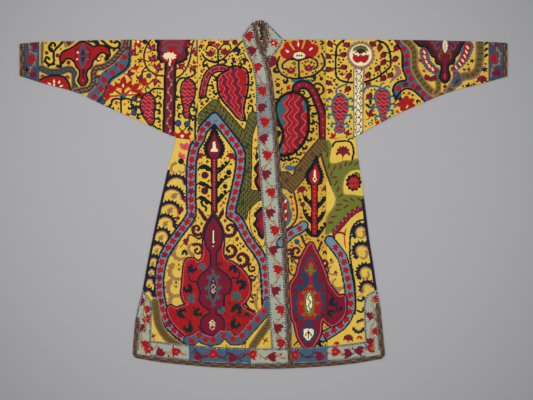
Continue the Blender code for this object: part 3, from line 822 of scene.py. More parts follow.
def dark_sprig(u, v, size, turn, kind):
    """A dark curled twig, a bud in its cup or a dot, between the great motifs."""
    if size < 2.0:
        disc(u, v, size * 0.66, ("black", "maroon", "black", "crimson")[kind % 4])
        return
    if kind % 3 == 0:
        bud(u, v, size * 0.80, "crimson", "black", turn, kind % 2 == 0)
    elif kind % 3 == 1:
        palm(u, v, size * 0.72, "black", turn, kind % 2 == 0)
    else:
        lily(u, v, size * 0.76, "crimson" if kind % 2 else "red", turn, kind % 4 == 0, False)


def wine_sprig(u, v, size, turn, kind):
    """Small wine-red and red motifs on the paler ground."""
    if size < 2.0:
        disc(u, v, size * 0.55, ("maroon", "crimson", "tan")[kind % 3])
        return
    if kind % 4 == 1:
        paisley(u, v, size * 0.8, "tan", turn, kind % 2 == 0)
    else:
        lily(u, v, size * 0.74, ("maroon", "crimson", "red")[kind % 3], turn, kind % 2 == 0, False)


def chain_band(path, width=6.4, ink="forest", edge="tan", mark="pink", spacing=4.6, lean=0.0, long=1.5, thick=1.1, edge_width=1.1, core=None):
    """A winding band between two pale lines, with one row of dashes or dots in it."""
    path = flow(path)
    stroke(path, width + edge_width * 2.2, edge)
    stroke(path, width, ink)
    if core:
        stroke(path, width * 0.42, core)

    def mark_at(u, v, turn, n):
        a = math.radians(turn + lean)
        du, dv = math.sin(a) * long, -math.cos(a) * long
        stroke([(u - du, v - dv), (u + du, v + dv)], thick, mark)
    repeat(path, spacing, mark_at)


def drop_bud(u, v, size, ink="crimson", cap="black", turn=0.0, flip=False):
    """A comma-shaped bud with a dark cap that runs down one side."""
    cap_shape = flow([(0.05, -1.05), (0.55, -0.95), (0.95, -0.45), (0.90, 0.15), (0.55, 0.60), (0.62, 0.05), (0.30, -0.42), (-0.15, -0.45)],
                     closed=True, per=4)
    body = flow([(0.05, -0.75), (0.48, -0.48), (0.66, 0.02), (0.50, 0.52), (0.05, 0.82), (-0.62, 1.12), (-0.42, 0.66), (-0.62, 0.20),
                 (-0.58, -0.30), (-0.30, -0.66)], closed=True, per=4)
    fill(place(cap_shape, u, v, size, turn, flip), cap)
    fill(place(body, u, v, size, turn, flip), ink)


def bottle(points, edge, edge_width, pitch=3.8, inks=("red", "crimson")):
    """A small fruit with wavy cross bands inside a thick outline."""
    shape = flow(points, closed=True)
    stroke(shape, edge_width * 2, edge, closed=True)
    banded(shape, edge, 0.4, list(inks), "pink", pitch)
    return shape


def bell(u, v, size, ink="red", turn=0.0, flip=False, tail=True):
    """A full nodding flower with a hooked tip and a ragged mouth, as on the borders."""
    shape = [(0.05, -1.15), (0.55, -0.78), (0.95, -0.12), (1.20, 0.70), (0.58, 0.46), (0.25, 0.98), (-0.14, 0.52), (-0.66, 0.88), (-0.96, 0.30),
             (-0.80, -0.34), (-0.42, -0.62)]
    fill(place(shape, u, v, size, turn, flip), ink)
    if tail:
        stroke(place([(0.06, -1.0), (-0.12, -1.40), (-0.60, -1.50)], u, v, size, turn, flip), size * 0.22, ink, taper=0.6)


def gore_edge(side):
    """Narrow purple and navy lines down the outer edge of a gore."""
    y = np.linspace(84 if side == "left" else -20, -352, 80)
    if side == "left":
        stroke(plan(side_left(y) + 6.0, y), 2.5, "navy"); stroke(plan(side_left(y) + 0.6, y), 1.5, "purple")
    else:
        stroke(plan(side_right(y) - 6.0, y), 2.7, "navy"); stroke(plan(side_right(y) - 0.6, y), 1.5, "purple")


# ---------------------------------------------------------------- left sleeve
def sleeve_left_design():
    # scrolls by the cuff
    line([(63.4, 41.6), (58.8, 46.4), (54.2, 51.6), (53.8, 56.6), (54.4, 61.0), (51.8, 64.6), (47.6, 63.6), (45.6, 60.0), (47.0, 57.2), (49.4, 58.6)], 2.5, "black")
    line([(54.4, 51.6), (50.4, 50.8), (49.0, 47.2), (51.2, 43.6), (54.6, 43.4), (55.4, 45.6)], 2.3, "black")
    lobes(flow([(54.2, 51.0), (50.4, 50.8), (49.0, 47.2), (51.0, 43.8)]), 1.5, "black", -1, 0.2, 0.9, 3, 1.0)
    lobes(flow([(54.4, 61.0), (51.8, 64.8), (47.4, 64.0), (45.4, 60.0)]), 1.5, "black", 1, 0.2, 0.9, 3, 1.0)
    disc(49.6, 59.0, 1.5, "black"); disc(55.0, 46.0, 1.4, "black")
    chain_band([(42.6, 40.4), (42.4, 50), (42.2, 60), (42.4, 67.0)], 1.4, "olive", "mauve", "olive", 5.0, 0, 0.5, 0.5, 0.8)
    chain_band([(42.0, 68.6), (48.6, 71.8), (55.0, 72.2), (61.0, 71.8), (67.0, 69.6), (72.0, 70.0), (75.0, 74.0), (75.2, 82.0), (75.0, 96.0)],
               5.8, "forest", "tan", "maroon", 4.6, 20, 0.7, 0.9, 1.0, core="slate")
    fill(flow([(63.4, 40), (65.4, 48.6), (71.0, 49.0), (75.4, 40)], closed=False), "mauve")
    fill(flow([(64.6, 40), (66.2, 47.4), (70.4, 47.8), (74.0, 40)], closed=False), "tan")
    tulip(69.2, 43.6, 3.6, "crimson", 180)
    # lobed medallion with two hooked arms
    body = flow([(84.4, 42.6), (89.4, 45.4), (93.8, 47.6), (99.6, 46.4), (105.4, 47.2), (108.6, 50.6), (109.0, 55.8), (105.4, 52.4),
                 (101.0, 52.0), (96.6, 55.8), (92.4, 60.6), (91.0, 65.8), (87.0, 70.0), (85.6, 75.0), (86.8, 80.6), (83.0, 85.2),
                 (79.2, 80.8), (81.0, 75.0), (80.4, 70.0), (77.4, 66.4), (75.0, 61.0), (70.2, 57.8), (65.2, 58.8), (62.0, 62.4),
                 (61.2, 57.4), (64.2, 52.4), (70.6, 49.6), (76.6, 45.8), (80.0, 43.2)], closed=True)
    stroke(body, 6.8, "yellow", closed=True)
    outlined(body, "red", "black", 2.1)
    palm(60.2, 65.4, 3.4, "black", 200); stroke([(62.0, 62.0), (61.0, 64.6), (56.4, 67.4)], 1.9, "black", taper=0.7)
    palm(106.6, 58.6, 3.2, "black", 170, True); stroke([(108.6, 55.0), (108.0, 58.0), (106.4, 63.8)], 1.9, "black", taper=0.7)
    for s in (-1, 1):
        fill(flow([(83 + s * 3.2, 46.0), (83 + s * 7.6, 50.4), (83 + s * 8.2, 57.4), (83 + s * 4.6, 64.0), (83 + s * 6.0, 57.0), (83 + s * 5.4, 51.0)], closed=True), "crimson")
    fill(flow([(83, 43.4), (86.4, 51.6), (86.6, 60.4), (83, 68.6), (79.4, 60.4), (79.6, 51.6)], closed=True), "slate")
    fill(flow([(83, 49.0), (84.8, 53.8), (84.8, 58.6), (83, 63.4), (81.2, 58.6), (81.2, 53.8)], closed=True), "maroon")
    disc(83, 56.2, 0.8, "grey"); dots([(78.0, 52.6, 1.1), (77.4, 59.4, 1.0)], "cream"); dots([(88.2, 52.0, 0.9), (88.4, 59.6, 0.8)], "grey")
    fill([(81.9, 69.0), (84.9, 69.0), (84.6, 80.0), (82.2, 80.0)], "maroon")
    disc(83.2, 80.9, 2.5, "crimson", 3.0); disc(83.2, 80.9, 1.0, "rose", 1.5)
    dots([(46.8, 53.0, 2.0), (57.8, 55.6, 2.1), (68.8, 62.8, 2.2), (67.6, 77.6, 2.4), (42.8, 76.8, 2.1), (98.6, 59.4, 2.6)], "crimson")
    dots([(99.0, 59.0, 1.3)], "cream"); dots([(67.6, 77.6, 0.8)], "pink")
    # winding bands
    fill([(41, 77), (50, 76.4), (62, 76.5), (70.4, 80), (71.4, 96), (41, 90)], "yellow")
    edge = flow([(130.2, 39.5), (129.8, 52), (128.4, 65.6), (121.0, 72.8), (112.0, 78.6), (107.4, 85.4), (104.8, 93.4), (98.0, 101.0)])
    ribbon_ = flow([(125.8, 39.5), (125.6, 52), (123.4, 62.6), (116.4, 69.0), (107.6, 74.6), (101.6, 81.0), (98.6, 89.2), (92.0, 97.0)])
    stroke(ribbon_, 9.8, "steel"); stroke(offset(ribbon_, 4.8), 0.1, "steel")
    stroke(edge, 4.6, "steel"); stroke(edge, 1.9, "green")
    inner = [(126.2, 39.5), (125.2, 46.6), (118.6, 54.6), (112.4, 61.6), (103.6, 66.8), (96.6, 68.2), (93.8, 73.6), (93.8, 81.6),
             (89.6, 88.6), (82.0, 90.4), (76.0, 92.0)]
    chain_band(inner, 5.4, "forest", "tan", "pink", 4.2, 28, 1.3, 0.9, 1.0)
    for n, (u, v, s) in enumerate(((127.6, 48.4, 2.2), (124.2, 57.0, 3.4), (121.8, 66.8, 3.6), (112.6, 73.0, 3.4), (104.6, 80.2, 3.8), (101.0, 88.8, 3.6),
                                   (94.4, 96.6, 3.4), (116.6, 64.8, 2.0), (106.0, 71.6, 1.8), (98.4, 76.8, 2.2), (96.6, 84.4, 1.6))):
        blob(u, v, s, "red" if s > 2.3 else "crimson", 40 + 70 * n, n % 2 == 0)
    # half medallion on the lower fold
    body = flow([(39.0, 86.0), (40.9, 80.8), (48.0, 77.6), (56.0, 76.8), (63.6, 78.2), (68.2, 84.4), (69.4, 94.5), (55, 96.6), (40.0, 92.4)], closed=True)
    outlined(body, "red", "black", 2.1)
    for u, v, turn in ((54.2, 81.6, 0), (49.8, 83.8, -66), (59.4, 82.2, 30), (61.4, 86.2, 62), (54.2, 85.4, 0)):
        fill(place([(0, -1.2), (0.5, -0.2), (0.2, 0.9), (-0.2, 0.9), (-0.5, -0.2)], u, v, 2.0, turn), "cream")
    # scroll above the ribbon
    line([(101.0, 39.8), (104.8, 43.0), (109.4, 46.6), (114.6, 48.6), (118.8, 47.0), (119.6, 43.4), (117.0, 41.4), (115.2, 43.2)], 2.5, "black")
    lobes(flow([(104.8, 43.0), (109.4, 46.8), (114.6, 48.8), (119.0, 47.0)]), 1.7, "black", -1, 0.15, 0.95, 4, 1.0)
    fill(flow([(92.0, 40), (95.0, 44.6), (99.6, 44.4), (98.0, 40)]), "navy"); line([(86.4, 39.6), (90.0, 41.8), (94.0, 41.6)], 1.9, "black")
    lily(111.4, 42.0, 2.4, "maroon", 20, tail=False)
    # fan of hooked petals on a branched stem
    for (u, v, r, turn, flip) in ((107.6, 96.6, 5.4, -76, True), (112.8, 89.4, 7.2, -42, True), (134.0, 88.6, 7.2, 42, False),
                                  (139.2, 94.6, 5.2, 74, False), (123.2, 85.4, 8.4, 0, False)):
        lily(u, v, r * 0.92, "red", turn, flip, False)
        stroke([(u, v), (123.2, 95.6)], r * 0.30, "red")
    for u, v, turn in ((115.0, 92.8, -44), (130.4, 92.6, 44), (123.3, 85.8, 0)):
        fill(place([(0, -1.1), (0.42, 0.1), (0, 0.9), (-0.42, 0.1)], u, v, 2.2, turn), "cream")
    disc(123.0, 96.4, 3.4, "teal", 2.4)
    line([(121.8, 97.4), (121.2, 105.0), (121.4, 118.4)], 2.3, "navy")
    line([(121.6, 99.4), (115.6, 98.8), (112.4, 100.6), (111.8, 104.6)], 2.1, "navy"); palm(110.8, 106.6, 4.0, "navy", 190, True)
    line([(121.8, 99.4), (127.6, 98.8), (131.0, 100.6), (131.4, 104.0)], 2.1, "navy"); palm(131.8, 106.4, 4.0, "navy", 170)
    dots([(102.8, 101.6, 2.5), (134.0, 113.0, 2.3), (134.6, 99.0, 2.2)], "blue", ring="maroon")
    hook([(141.0, 101.6), (141.0, 108.0)], 138.4, 101.4, 2.8, "maroon"); hook([(141.0, 108.6), (141.0, 112)], 138.2, 108.6, 2.6, "maroon", True)
    lily(105.2, 108.0, 2.8, "crimson", 30); lily(128.0, 114.6, 2.6, "red", 170); lily(114.6, 113.4, 2.6, "crimson", 200)
    # vine of lilies between the ribbon and the tall column
    vine_ = [(150.6, 39.8), (148.0, 44.0), (144.8, 51.4), (144.6, 61.6), (148.4, 69.6), (154.0, 73.6), (159.0, 75.6), (165.4, 75.6)]
    line(vine_, 1.9, "maroon"); vine_line = flow(vine_)
    line([(146.6, 66.8), (143.0, 70.6), (141.2, 76.0)], 1.6, "maroon")
    for u, v, s, ink, turn, flip in (
            (138.0, 43.2, 4.8, "red", 150, False), (133.4, 53.4, 4.9, "crimson", 28, True), (135.6, 68.2, 4.0, "red", -8, False),
            (129.8, 74.6, 4.6, "crimson", 80, True), (140.2, 78.6, 4.8, "crimson", 25, False), (144.8, 83.6, 4.8, "red", 10, True),
            (156.0, 81.0, 4.7, "crimson", 190, False), (158.4, 68.4, 4.9, "crimson", 20, True), (152.6, 59.4, 4.9, "crimson", 25, False),
            (152.6, 48.8, 4.7, "crimson", 30, True), (140.4, 60.8, 3.0, "crimson", -60, False)):
        lily(u, v, s, ink, turn, flip)
        if u > 137 and ink == "crimson":
            stalk(vine_line, u, v, 1.2, "maroon")
    for u, v in ((138.0, 42.2), (133.8, 53.0), (152.6, 59.0), (158.4, 68.2), (152.6, 48.4), (156.0, 81.0)):
        disc(u, v, 1.05, "rose")
    disc(138.2, 42.0, 1.2, "cream"); disc(149.2, 75.8, 2.7, "maroon"); disc(149.2, 75.8, 1.7, "blue")
    disc(145.2, 41.8, 2.6, "navy"); disc(156.8, 41.2, 2.2, "navy")
    # left fruit
    line([(146.4, 91.6), (145.6, 88.6), (147.4, 86.8), (149.2, 88.4)], 1.7, "green")
    line([(149.6, 93.0), (152.2, 89.8), (157.0, 88.6), (164.4, 89.4)], 2.1, "green")
    fruit = bottle([(148.4, 93.8), (153.4, 98.0), (154.6, 105.6), (153.4, 113.2), (153.4, 120.0), (151.6, 124.4), (147.4, 120.4),
                    (143.0, 113.4), (141.4, 105.4), (143.2, 97.8)], "green", 1.9, 3.7, ("crimson", "red"))
    for u, v, flip in ((158.4, 96.6, False), (159.6, 104.0, False), (158.8, 111.0, False), (158.6, 119.4, False),
                       (138.2, 95.0, True), (137.6, 116.2, True), (138.0, 107.0, True)):
        hook(fruit, u, v, 3.3, "green", flip)
    stroke([(151.8, 124.4), (156.0, 127.4), (160.4, 129.4)], 1.9, "green")
    # tall column
    head = flow([(158.6, 36), (160.4, 43.2), (158.9, 48.4), (160.8, 53.0), (159.6, 57.0), (163.4, 61.0), (169.4, 60.2), (176.0, 61.4),
                 (183.4, 59.4), (186.0, 54.6), (185.0, 49.6), (186.6, 44.6), (186.2, 36)], closed=True)
    stroke(head, 4.6, "black", closed=True)
    p, run = along(np.vstack([head, head[:1]]))
    for n in range(int(run[-1] / 4.0)):
        a, b, du, dv = at(p, run, n * 4.0)
        disc(a + dv * 1.2, b - du * 1.2, 2.1, "black")
        disc(a - dv * 1.2, b + du * 1.2, 2.1, "black")
    fill(head, "crimson")
    fill(flow([(162.4, 36), (164, 50), (168, 57), (172.6, 58.4), (178, 56), (182.4, 50), (183.4, 36)], closed=True), "red")
    for s in (-1, 1):
        line([(172.6, 45.0), (172.6 + s * 5, 45.2), (172.6 + s * 9.6, 48.8), (172.6 + s * 7.6, 51.6), (172.6 + s * 4.8, 49.8)], 2.0, "slate")
        line([(172.6 + s * 1.4, 40.0), (172.6 + s * 6.4, 41.0), (172.6 + s * 10.2, 43.6)], 1.8, "slate")
        line([(172.6 + s * 4.0, 53.6), (172.6 + s * 8.0, 54.6), (172.6 + s * 10.6, 52.6)], 1.2, "crimson")
    fill([(164.4, 58), (176.8, 58), (176.0, 98), (174.6, 138), (162.2, 138), (163.4, 98)], "black")
    fill([(166.6, 58), (174.4, 58), (173.6, 98), (172.4, 138), (164.6, 138), (165.8, 98)], "crimson")
    fill(lobed(169.6, 56.4, 7.0, 9, 0.22, 0.4, 0.60), "cream")
    for a in (165.0, 168.4, 171.8, 174.6):
        fill([(a - 1.3, 60.8), (a, 57.6), (a + 1.3, 60.8), (a, 64.0)], "red")
    stroke([(170.2, 59), (169.8, 65.0)], 1.8, "cream")
    t = np.linspace(66, 137.0, 170)
    mid = np.interp(t, [62, 98, 138], [170.5, 169.7, 168.4])
    stroke(np.column_stack([mid + 1.7 * np.sin((t - 64) / 15.5 * 2 * math.pi), t]), 1.0, "mauve")
    for n, b in enumerate(np.arange(69, 136, 7.75)):
        m = np.interp(b, [62, 98, 138], [170.5, 169.7, 168.4])
        disc(m + (-1.6 if n % 2 else 1.6), b, 1.0, "stone"); disc(m + (1.8 if n % 2 else -1.8), b + 3.6, 0.7, "grass")
    # right of the column
    vine_ = [(194.0, 40.0), (192.0, 48.0), (190.2, 58.0), (188.0, 65.4), (184.0, 72.0), (178.4, 77.0), (175.4, 77.6)]
    line(vine_, 1.9, "maroon"); vine_line = flow(vine_)
    for u, v, s, turn, flip in ((181.6, 66.6, 4.4, -40, True), (193.4, 68.0, 4.5, 150, False), (194.6, 52.8, 4.2, 70, True), (188.4, 45.6, 3.2, -20, False)):
        stalk(vine_line, u, v, 1.2, "maroon"); lily(u, v, s, "crimson", turn, flip); disc(u, v, 0.9, "rose")
    line([(197.0, 40.5), (198.0, 63.5)], 2.2, "slate"); line([(199.4, 40.5), (199.6, 63.5)], 1.2, "crimson")
    line([(176.2, 90.4), (176.8, 83.6), (180.6, 78.6), (187.6, 77.6), (192.6, 76.0), (195.4, 72.6), (193.4, 70.4)], 2.1, "green")
    fruit = bottle([(188.0, 79.6), (193.6, 83.6), (194.6, 90.6), (193.0, 99.6), (189.4, 106.6), (188.4, 111.6), (189.6, 115.4), (186.2, 117.4),
                    (184.2, 113.4), (184.4, 107.4), (182.6, 100.6), (181.6, 91.0), (183.2, 83.4)], "green", 1.8, 3.8, ("crimson", "red"))
    for u, v, flip in ((198.8, 82.0, False), (199.0, 89.6, False), (177.6, 97.6, True), (178.6, 106.0, True), (193.6, 108.0, False), (192.8, 116.6, False),
                       (180.4, 114.6, True)):
        hook(fruit, u, v, 3.1, "green", flip)
    line([(200.8, 96.8), (198.6, 103.6), (196.4, 112.0), (195.4, 125.0), (195.4, 140.0)], 2.0, "navy")
    for u, v, turn, flip in ((193.6, 103.4, -60, True), (191.6, 119.6, -70, True), (190.8, 129.4, -60, True), (199.2, 118.6, 50, False), (199.2, 130.6, 60, False)):
        palm(u, v, 3.1, "navy", turn, flip)
    dots([(178.2, 123.2, 2.6), (187.2, 124.2, 2.4)], "blue", ring="navy")
    stroke([(178.4, 126.0), (181.4, 131.0)], 1.2, "maroon"); stroke([(187.0, 126.4), (183.6, 131.0)], 1.2, "maroon")
    carnation(182.2, 135.4, 8.0, "red", 180, "cream")
    # cut motifs at the lower fold
    for u, v, s, ink, turn in ((98.0, 107.6, 3.4, "crimson", 30), (110.0, 112.4, 3.2, "red", 190), (141.8, 128.4, 3.2, "crimson", 30)):
        lily(u, v, s, ink, turn)


# ---------------------------------------------------------------- right sleeve
def sleeve_right_design():
    ring_path = [(344.6, 39.6), (339.4, 43.6), (336.4, 49.0), (335.6, 60.0), (335.8, 73.9), (338.0, 78.6), (344.0, 81.6), (352.8, 82.8),
                 (363.6, 82.4), (375.4, 78.2), (385.0, 71.6), (390.4, 65.8), (390.2, 56.6), (388.4, 48.6), (384.6, 43.6), (378.4, 41.0)]
    line(ring_path, 2.2, "black")
    ring_line = flow(ring_path)
    for u, v, turn, ink, flip in (
            (328.6, 56.5, -30, "crimson", True), (330.7, 44.4, -10, "crimson", True), (342.4, 54.6, 50, "crimson", False),
            (343.0, 67.0, 60, "crimson", False), (348.0, 75.9, 30, "crimson", False), (329.6, 69.4, -50, "crimson", True),
            (346.0, 44.8, 50, "crimson", False), (347.0, 89.4, 20, "crimson", False), (367.2, 75.6, 10, "crimson", False),
            (368.4, 84.6, 30, "crimson", True), (373.4, 44.2, -40, "crimson", True), (379.4, 48.4, -10, "crimson", False),
            (382.4, 55.4, 10, "crimson", False), (382.6, 62.6, 20, "crimson", False), (376.8, 68.8, 10, "crimson", False),
            (382.4, 78.6, 20, "crimson", False), (389.6, 75.4, 20, "crimson", False), (396.2, 49.0, 60, "crimson", True),
            (395.2, 59.8, 70, "crimson", True)):
        stalk(ring_line, u, v, 1.4)
        drop_bud(u, v, 3.9, ink, "black", turn, flip)
    fill(flow([(393.6, 65.6), (398.6, 66.4), (401.0, 73.4), (396.6, 78.0), (389.4, 83.6), (391.2, 78.6), (395.6, 73.0)], closed=True), "mauve")
    # wheel on a column
    fill([(353.6, 62), (364.6, 62), (364.0, 100), (363.1, 138), (352.9, 138), (353.3, 100)], "mauve")
    fill([(354.8, 64), (362.8, 64), (362.2, 100), (361.5, 138), (354.2, 138), (354.5, 100)], "cream")
    t = np.linspace(66, 138, 190)
    for s, ink_ in ((-1, "green"), (1, "umber")):
        mid = 358.6 - (t - 72) * 0.010 + s * 1.9
        stroke(np.column_stack([mid + 0.8 * np.sin((t - 64) / 6.2 * 2 * math.pi + s), t]), 0.8, ink_)
    for n, t in enumerate(np.arange(67, 137, 2.4)):
        mid = 358.6 - (t - 72) * 0.010
        disc(mid + (0.0, 2.9, -2.9)[n % 3], t, 0.75, ("crimson", "green", "maroon", "dark", "olive")[n % 5])
    fill(lobed(360.6, 55.4, 14.6, 22, 0.10, 0.0), "mauve")
    disc(360.6, 55.2, 11.2, "cream", 11.0)
    fill(flow([(353.0, 51.4), (354.4, 47.4), (360.4, 45.4), (366.6, 47.2), (368.2, 51.4), (364.6, 50.6), (360.4, 51.2), (356.6, 50.6)], closed=True), "olive")
    fill(flow([(354.6, 53.6), (357.0, 50.0), (360.4, 49.0), (364.4, 50.0), (366.6, 53.6), (363.8, 52.6), (360.4, 54.4), (357.4, 52.6)], closed=True), "maroon")
    for a in (355.4, 360.6, 365.8):
        disc(a, 57.8, 2.9, "red"); disc(a, 60.2, 1.8, "red")
    fill([(353.6, 60.4), (360.6, 56.4), (367.4, 60.4), (364.0, 63.4), (360.6, 61.6), (357.2, 63.4)], "red")
    disc(367.8, 56.0, 1.2, "crimson"); disc(353.6, 54.6, 1.0, "crimson")
    # two fruits
    line([(337.0, 95.4), (336.0, 90.6), (339.6, 86.8), (346.0, 84.6)], 2.0, "steel")
    fruit = bottle([(340.0, 94.6), (345.6, 99.2), (347.2, 106.6), (345.4, 115.0), (342.4, 121.0), (342.0, 126.0), (343.8, 130.2), (339.6, 131.6),
                    (335.6, 130.2), (337.4, 125.6), (336.6, 120.4), (333.6, 113.4), (332.8, 105.6), (334.8, 98.6)], "steel", 1.9, 3.8, ("crimson", "red"))
    for u, v, flip in ((328.4, 99.0, True), (327.8, 107.2, True), (329.4, 115.6, True), (331.6, 124.4, True), (351.4, 99.0, False),
                       (352.2, 107.4, False), (350.0, 116.0, False), (347.8, 124.4, False)):
        hook(fruit, u, v, 3.2, "teal", flip)
    line([(363.6, 92.6), (364.8, 88.8), (369.0, 86.6), (376.0, 86.4), (381.6, 88.0)], 2.1, "steel")
    line([(380.4, 88.4), (381.0, 84.6), (383.6, 83.2)], 1.7, "teal"); line([(383.4, 88.4), (387.0, 86.2), (389.6, 87.4)], 1.7, "teal")
    fruit = bottle([(382.2, 89.4), (387.6, 92.4), (389.0, 99.6), (388.6, 106.6), (386.0, 112.4), (384.6, 116.0), (386.6, 119.6), (382.6, 121.0),
                    (381.2, 116.0), (379.6, 110.0), (377.0, 103.4), (375.6, 96.6), (377.6, 91.4)], "steel", 1.9, 3.8, ("crimson", "red"))
    for u, v, flip in ((394.0, 96.6, False), (394.2, 104.6, False), (392.4, 111.6, False), (371.6, 99.4, True), (372.4, 108.6, True),
                       (376.6, 117.0, True)):
        hook(fruit, u, v, 3.2, "teal", flip)
    drop_bud(368.4, 96.4, 4.2, "crimson", "green", 20, False)
    leaf(367.8, 106.0, 3.6, "green", -50); leaf(372.6, 106.4, 3.6, "slate", 40); leaf(370.4, 102.6, 2.8, "green", 5)
    lily(370.4, 114.6, 4.8, "crimson", 12, True)
    disc(370.4, 123.8, 2.6, "teal", 1.8); disc(370.4, 124.2, 1.4, "yellow", 0.8); lily(377.0, 123.0, 3.0, "red", 40)
    drop_bud(329.6, 83.0, 3.8, "crimson", "black", -30, True); lily(347.0, 133.6, 3.8, "crimson", 20); lily(333.0, 136.6, 3.6, "red", -30)
    # great red flower at the fold
    fill(lobed(405.8, 103.8, 9.8, 7, 0.32, 0.3, 0.86), "red")
    disc(412.6, 95.4, 1.2, "black"); fill(place([(0, -1.2), (0.4, 0), (0, 1.2), (-0.4, 0)], 406.8, 107.0, 2.6, 30), "yellow"); disc(405.6, 109.4, 0.9, "black")
    # steel-blue winding ribbon with its hooked branch
    edge = [(394.4, 39.5), (398.6, 46.8), (402.0, 53.6), (402.4, 62.0), (402.8, 70.0), (406.0, 79.6), (400.4, 81.2), (395.0, 84.4), (392.8, 89.6),
            (394.0, 95.0), (396.6, 98.6)]
    path = flow([(398.8, 39.5), (403.6, 46.6), (407.4, 54.6), (407.4, 62.0), (408.0, 70.0), (412.0, 79.6), (419.6, 89.0), (430.6, 99.0), (436.6, 103.6)])
    stroke(path, 9.6, "steel")
    low = flow([(398.0, 94.4), (397.6, 88.4), (403.0, 84.4), (410.0, 84.6), (418.0, 89.0)])
    stroke(low, 7.4, "steel")
    line(edge, 2.0, "black"); line([(397.2, 96.6), (400.8, 91.6), (406.0, 88.8), (412.6, 90.2), (418.0, 94.6), (424.6, 101.6), (430.0, 108.0)], 2.0, "black")
    line([(394.6, 97.4), (396.6, 99.6), (395.0, 101.6)], 1.8, "black"); line([(397.0, 98.2), (400.0, 99.4), (400.4, 97.0)], 1.6, "black")
    for n, (u, v, s) in enumerate(((399.4, 42.0, 3.0), (403.6, 49.0, 3.2), (406.6, 56.4, 3.3), (406.4, 63.6, 3.2), (407.4, 71.2, 3.4), (410.8, 78.8, 3.4),
                                   (405.4, 84.6, 3.2), (398.2, 88.2, 3.2), (412.6, 86.0, 2.8), (418.0, 88.2, 3.4), (423.4, 94.6, 3.4), (430.0, 99.6, 3.4))):
        blob(u, v, s, "red" if n % 3 else "crimson", 30 + 65 * n, n % 2 == 0)
    # yellow inner field, then the olive and tan bands
    chain_band([(403.6, 39.5), (410.4, 45.2), (414.0, 52.4), (414.2, 61.0), (415.0, 69.6), (420.6, 79.6), (427.6, 88.4), (434.4, 93.6), (442, 96)],
               5.0, "olive", "tan", "crimson", 4.9, 82, 1.7, 1.5, 1.5)
    chain_band([(436.8, 77.0), (438.2, 84.0), (438.0, 89.6), (435.0, 93.4)], 3.6, "olive", "tan", "crimson", 4.4, 82, 1.2, 1.2, 1.4)
    for pts, wide, tip in (([(424.0, 51.0), (424.6, 57.0), (427.0, 63.0), (431.0, 68.0), (436.2, 71.4)], 5.2, 0.86),
                           ([(467.6, 46.4), (466.0, 53.0), (463.0, 59.6), (458.6, 65.4), (452.4, 69.4)], 7.6, 0.42)):
        path = flow(pts)
        stroke(path, wide + 3.9, "steel", taper=tip)
        p, run = along(path)
        for n in range(int(run[-1] / 2.8)):
            a, b, du, dv = at(p, run, n * 2.8)
            k = 1 - (1 - tip) * n * 2.8 / run[-1]
            for s in (-1, 1):
                disc(a - dv * s * (wide / 2 + 1.6) * k, b + du * s * (wide / 2 + 1.6) * k, 1.1, "steel")
        stroke(path, wide, "red", taper=tip)
        repeat(path, 5.2, lambda u, v, turn, n: stroke([(u - 0.7, v - 1.0), (u + 0.6, v + 1.2)], 1.6, "cream"), 0.2, 0.8)
    # half medallion
    body = flow([(416.8, 36), (419.0, 44.6), (423.4, 45.4), (427.0, 46.4), (430.4, 50.4), (432.4, 55.0), (436.2, 57.6), (437.0, 62.4), (441.4, 64.6),
                 (442.2, 70.6), (440.6, 77.0), (444.6, 81.8), (448.6, 77.0), (447.0, 70.6), (447.6, 64.6), (452.6, 62.4), (453.8, 57.2),
                 (457.6, 52.6), (459.6, 46.6), (461.6, 36)], closed=True)
    outlined(body, "maroon", "black", 2.2)
    fill(flow([(428.0, 38), (432.6, 47.6), (437.6, 54.6), (440.6, 60.8), (444.8, 62.6), (449.6, 60.4), (452.0, 54.6), (456.0, 47.0), (457.0, 38)], closed=True), "crimson")
    for s in (-1, 1):
        line([(445.0 + s * 4.0, 40.8), (445.0 + s * 8.4, 42.6), (445.0 + s * 10.6, 46.6), (445.0 + s * 7.8, 49.4), (445.0 + s * 6.0, 46.8)], 1.7, "slate")
        line([(445.0 + s * 2.8, 53.0), (445.0 + s * 6.0, 54.6), (445.0 + s * 5.4, 58.6)], 1.5, "olive")
        disc(445.0 + s * 4.4, 50.4, 1.2, "olive"); disc(445.0 + s * 12.6, 43.0, 1.1, "olive")
    outlined(flow([(445.0, 38.6), (447.2, 43.0), (447.2, 48.6), (445.0, 52.8), (442.8, 48.6), (442.8, 43.0)], closed=True), "cream", "slate", 0.8)
    stroke([(445.0, 42.6), (445.0, 49.8)], 1.0, "maroon")
    fill([(443.4, 62.0), (446.2, 62.0), (445.8, 74.0), (443.6, 74.0)], "crimson")
    disc(444.7, 76.6, 2.6, "crimson", 3.2); stroke([(444.6, 74.0), (444.6, 78.8)], 1.0, "rose")
    dots([(444.8, 86.6, 2.0), (444.9, 90.6, 1.8)], "crimson"); disc(442.6, 94.6, 1.6, "black")
    drop_bud(427.8, 78.0, 3.9, "crimson", "crimson", -20, True); drop_bud(432.6, 78.6, 3.7, "crimson", "maroon", 20, False)
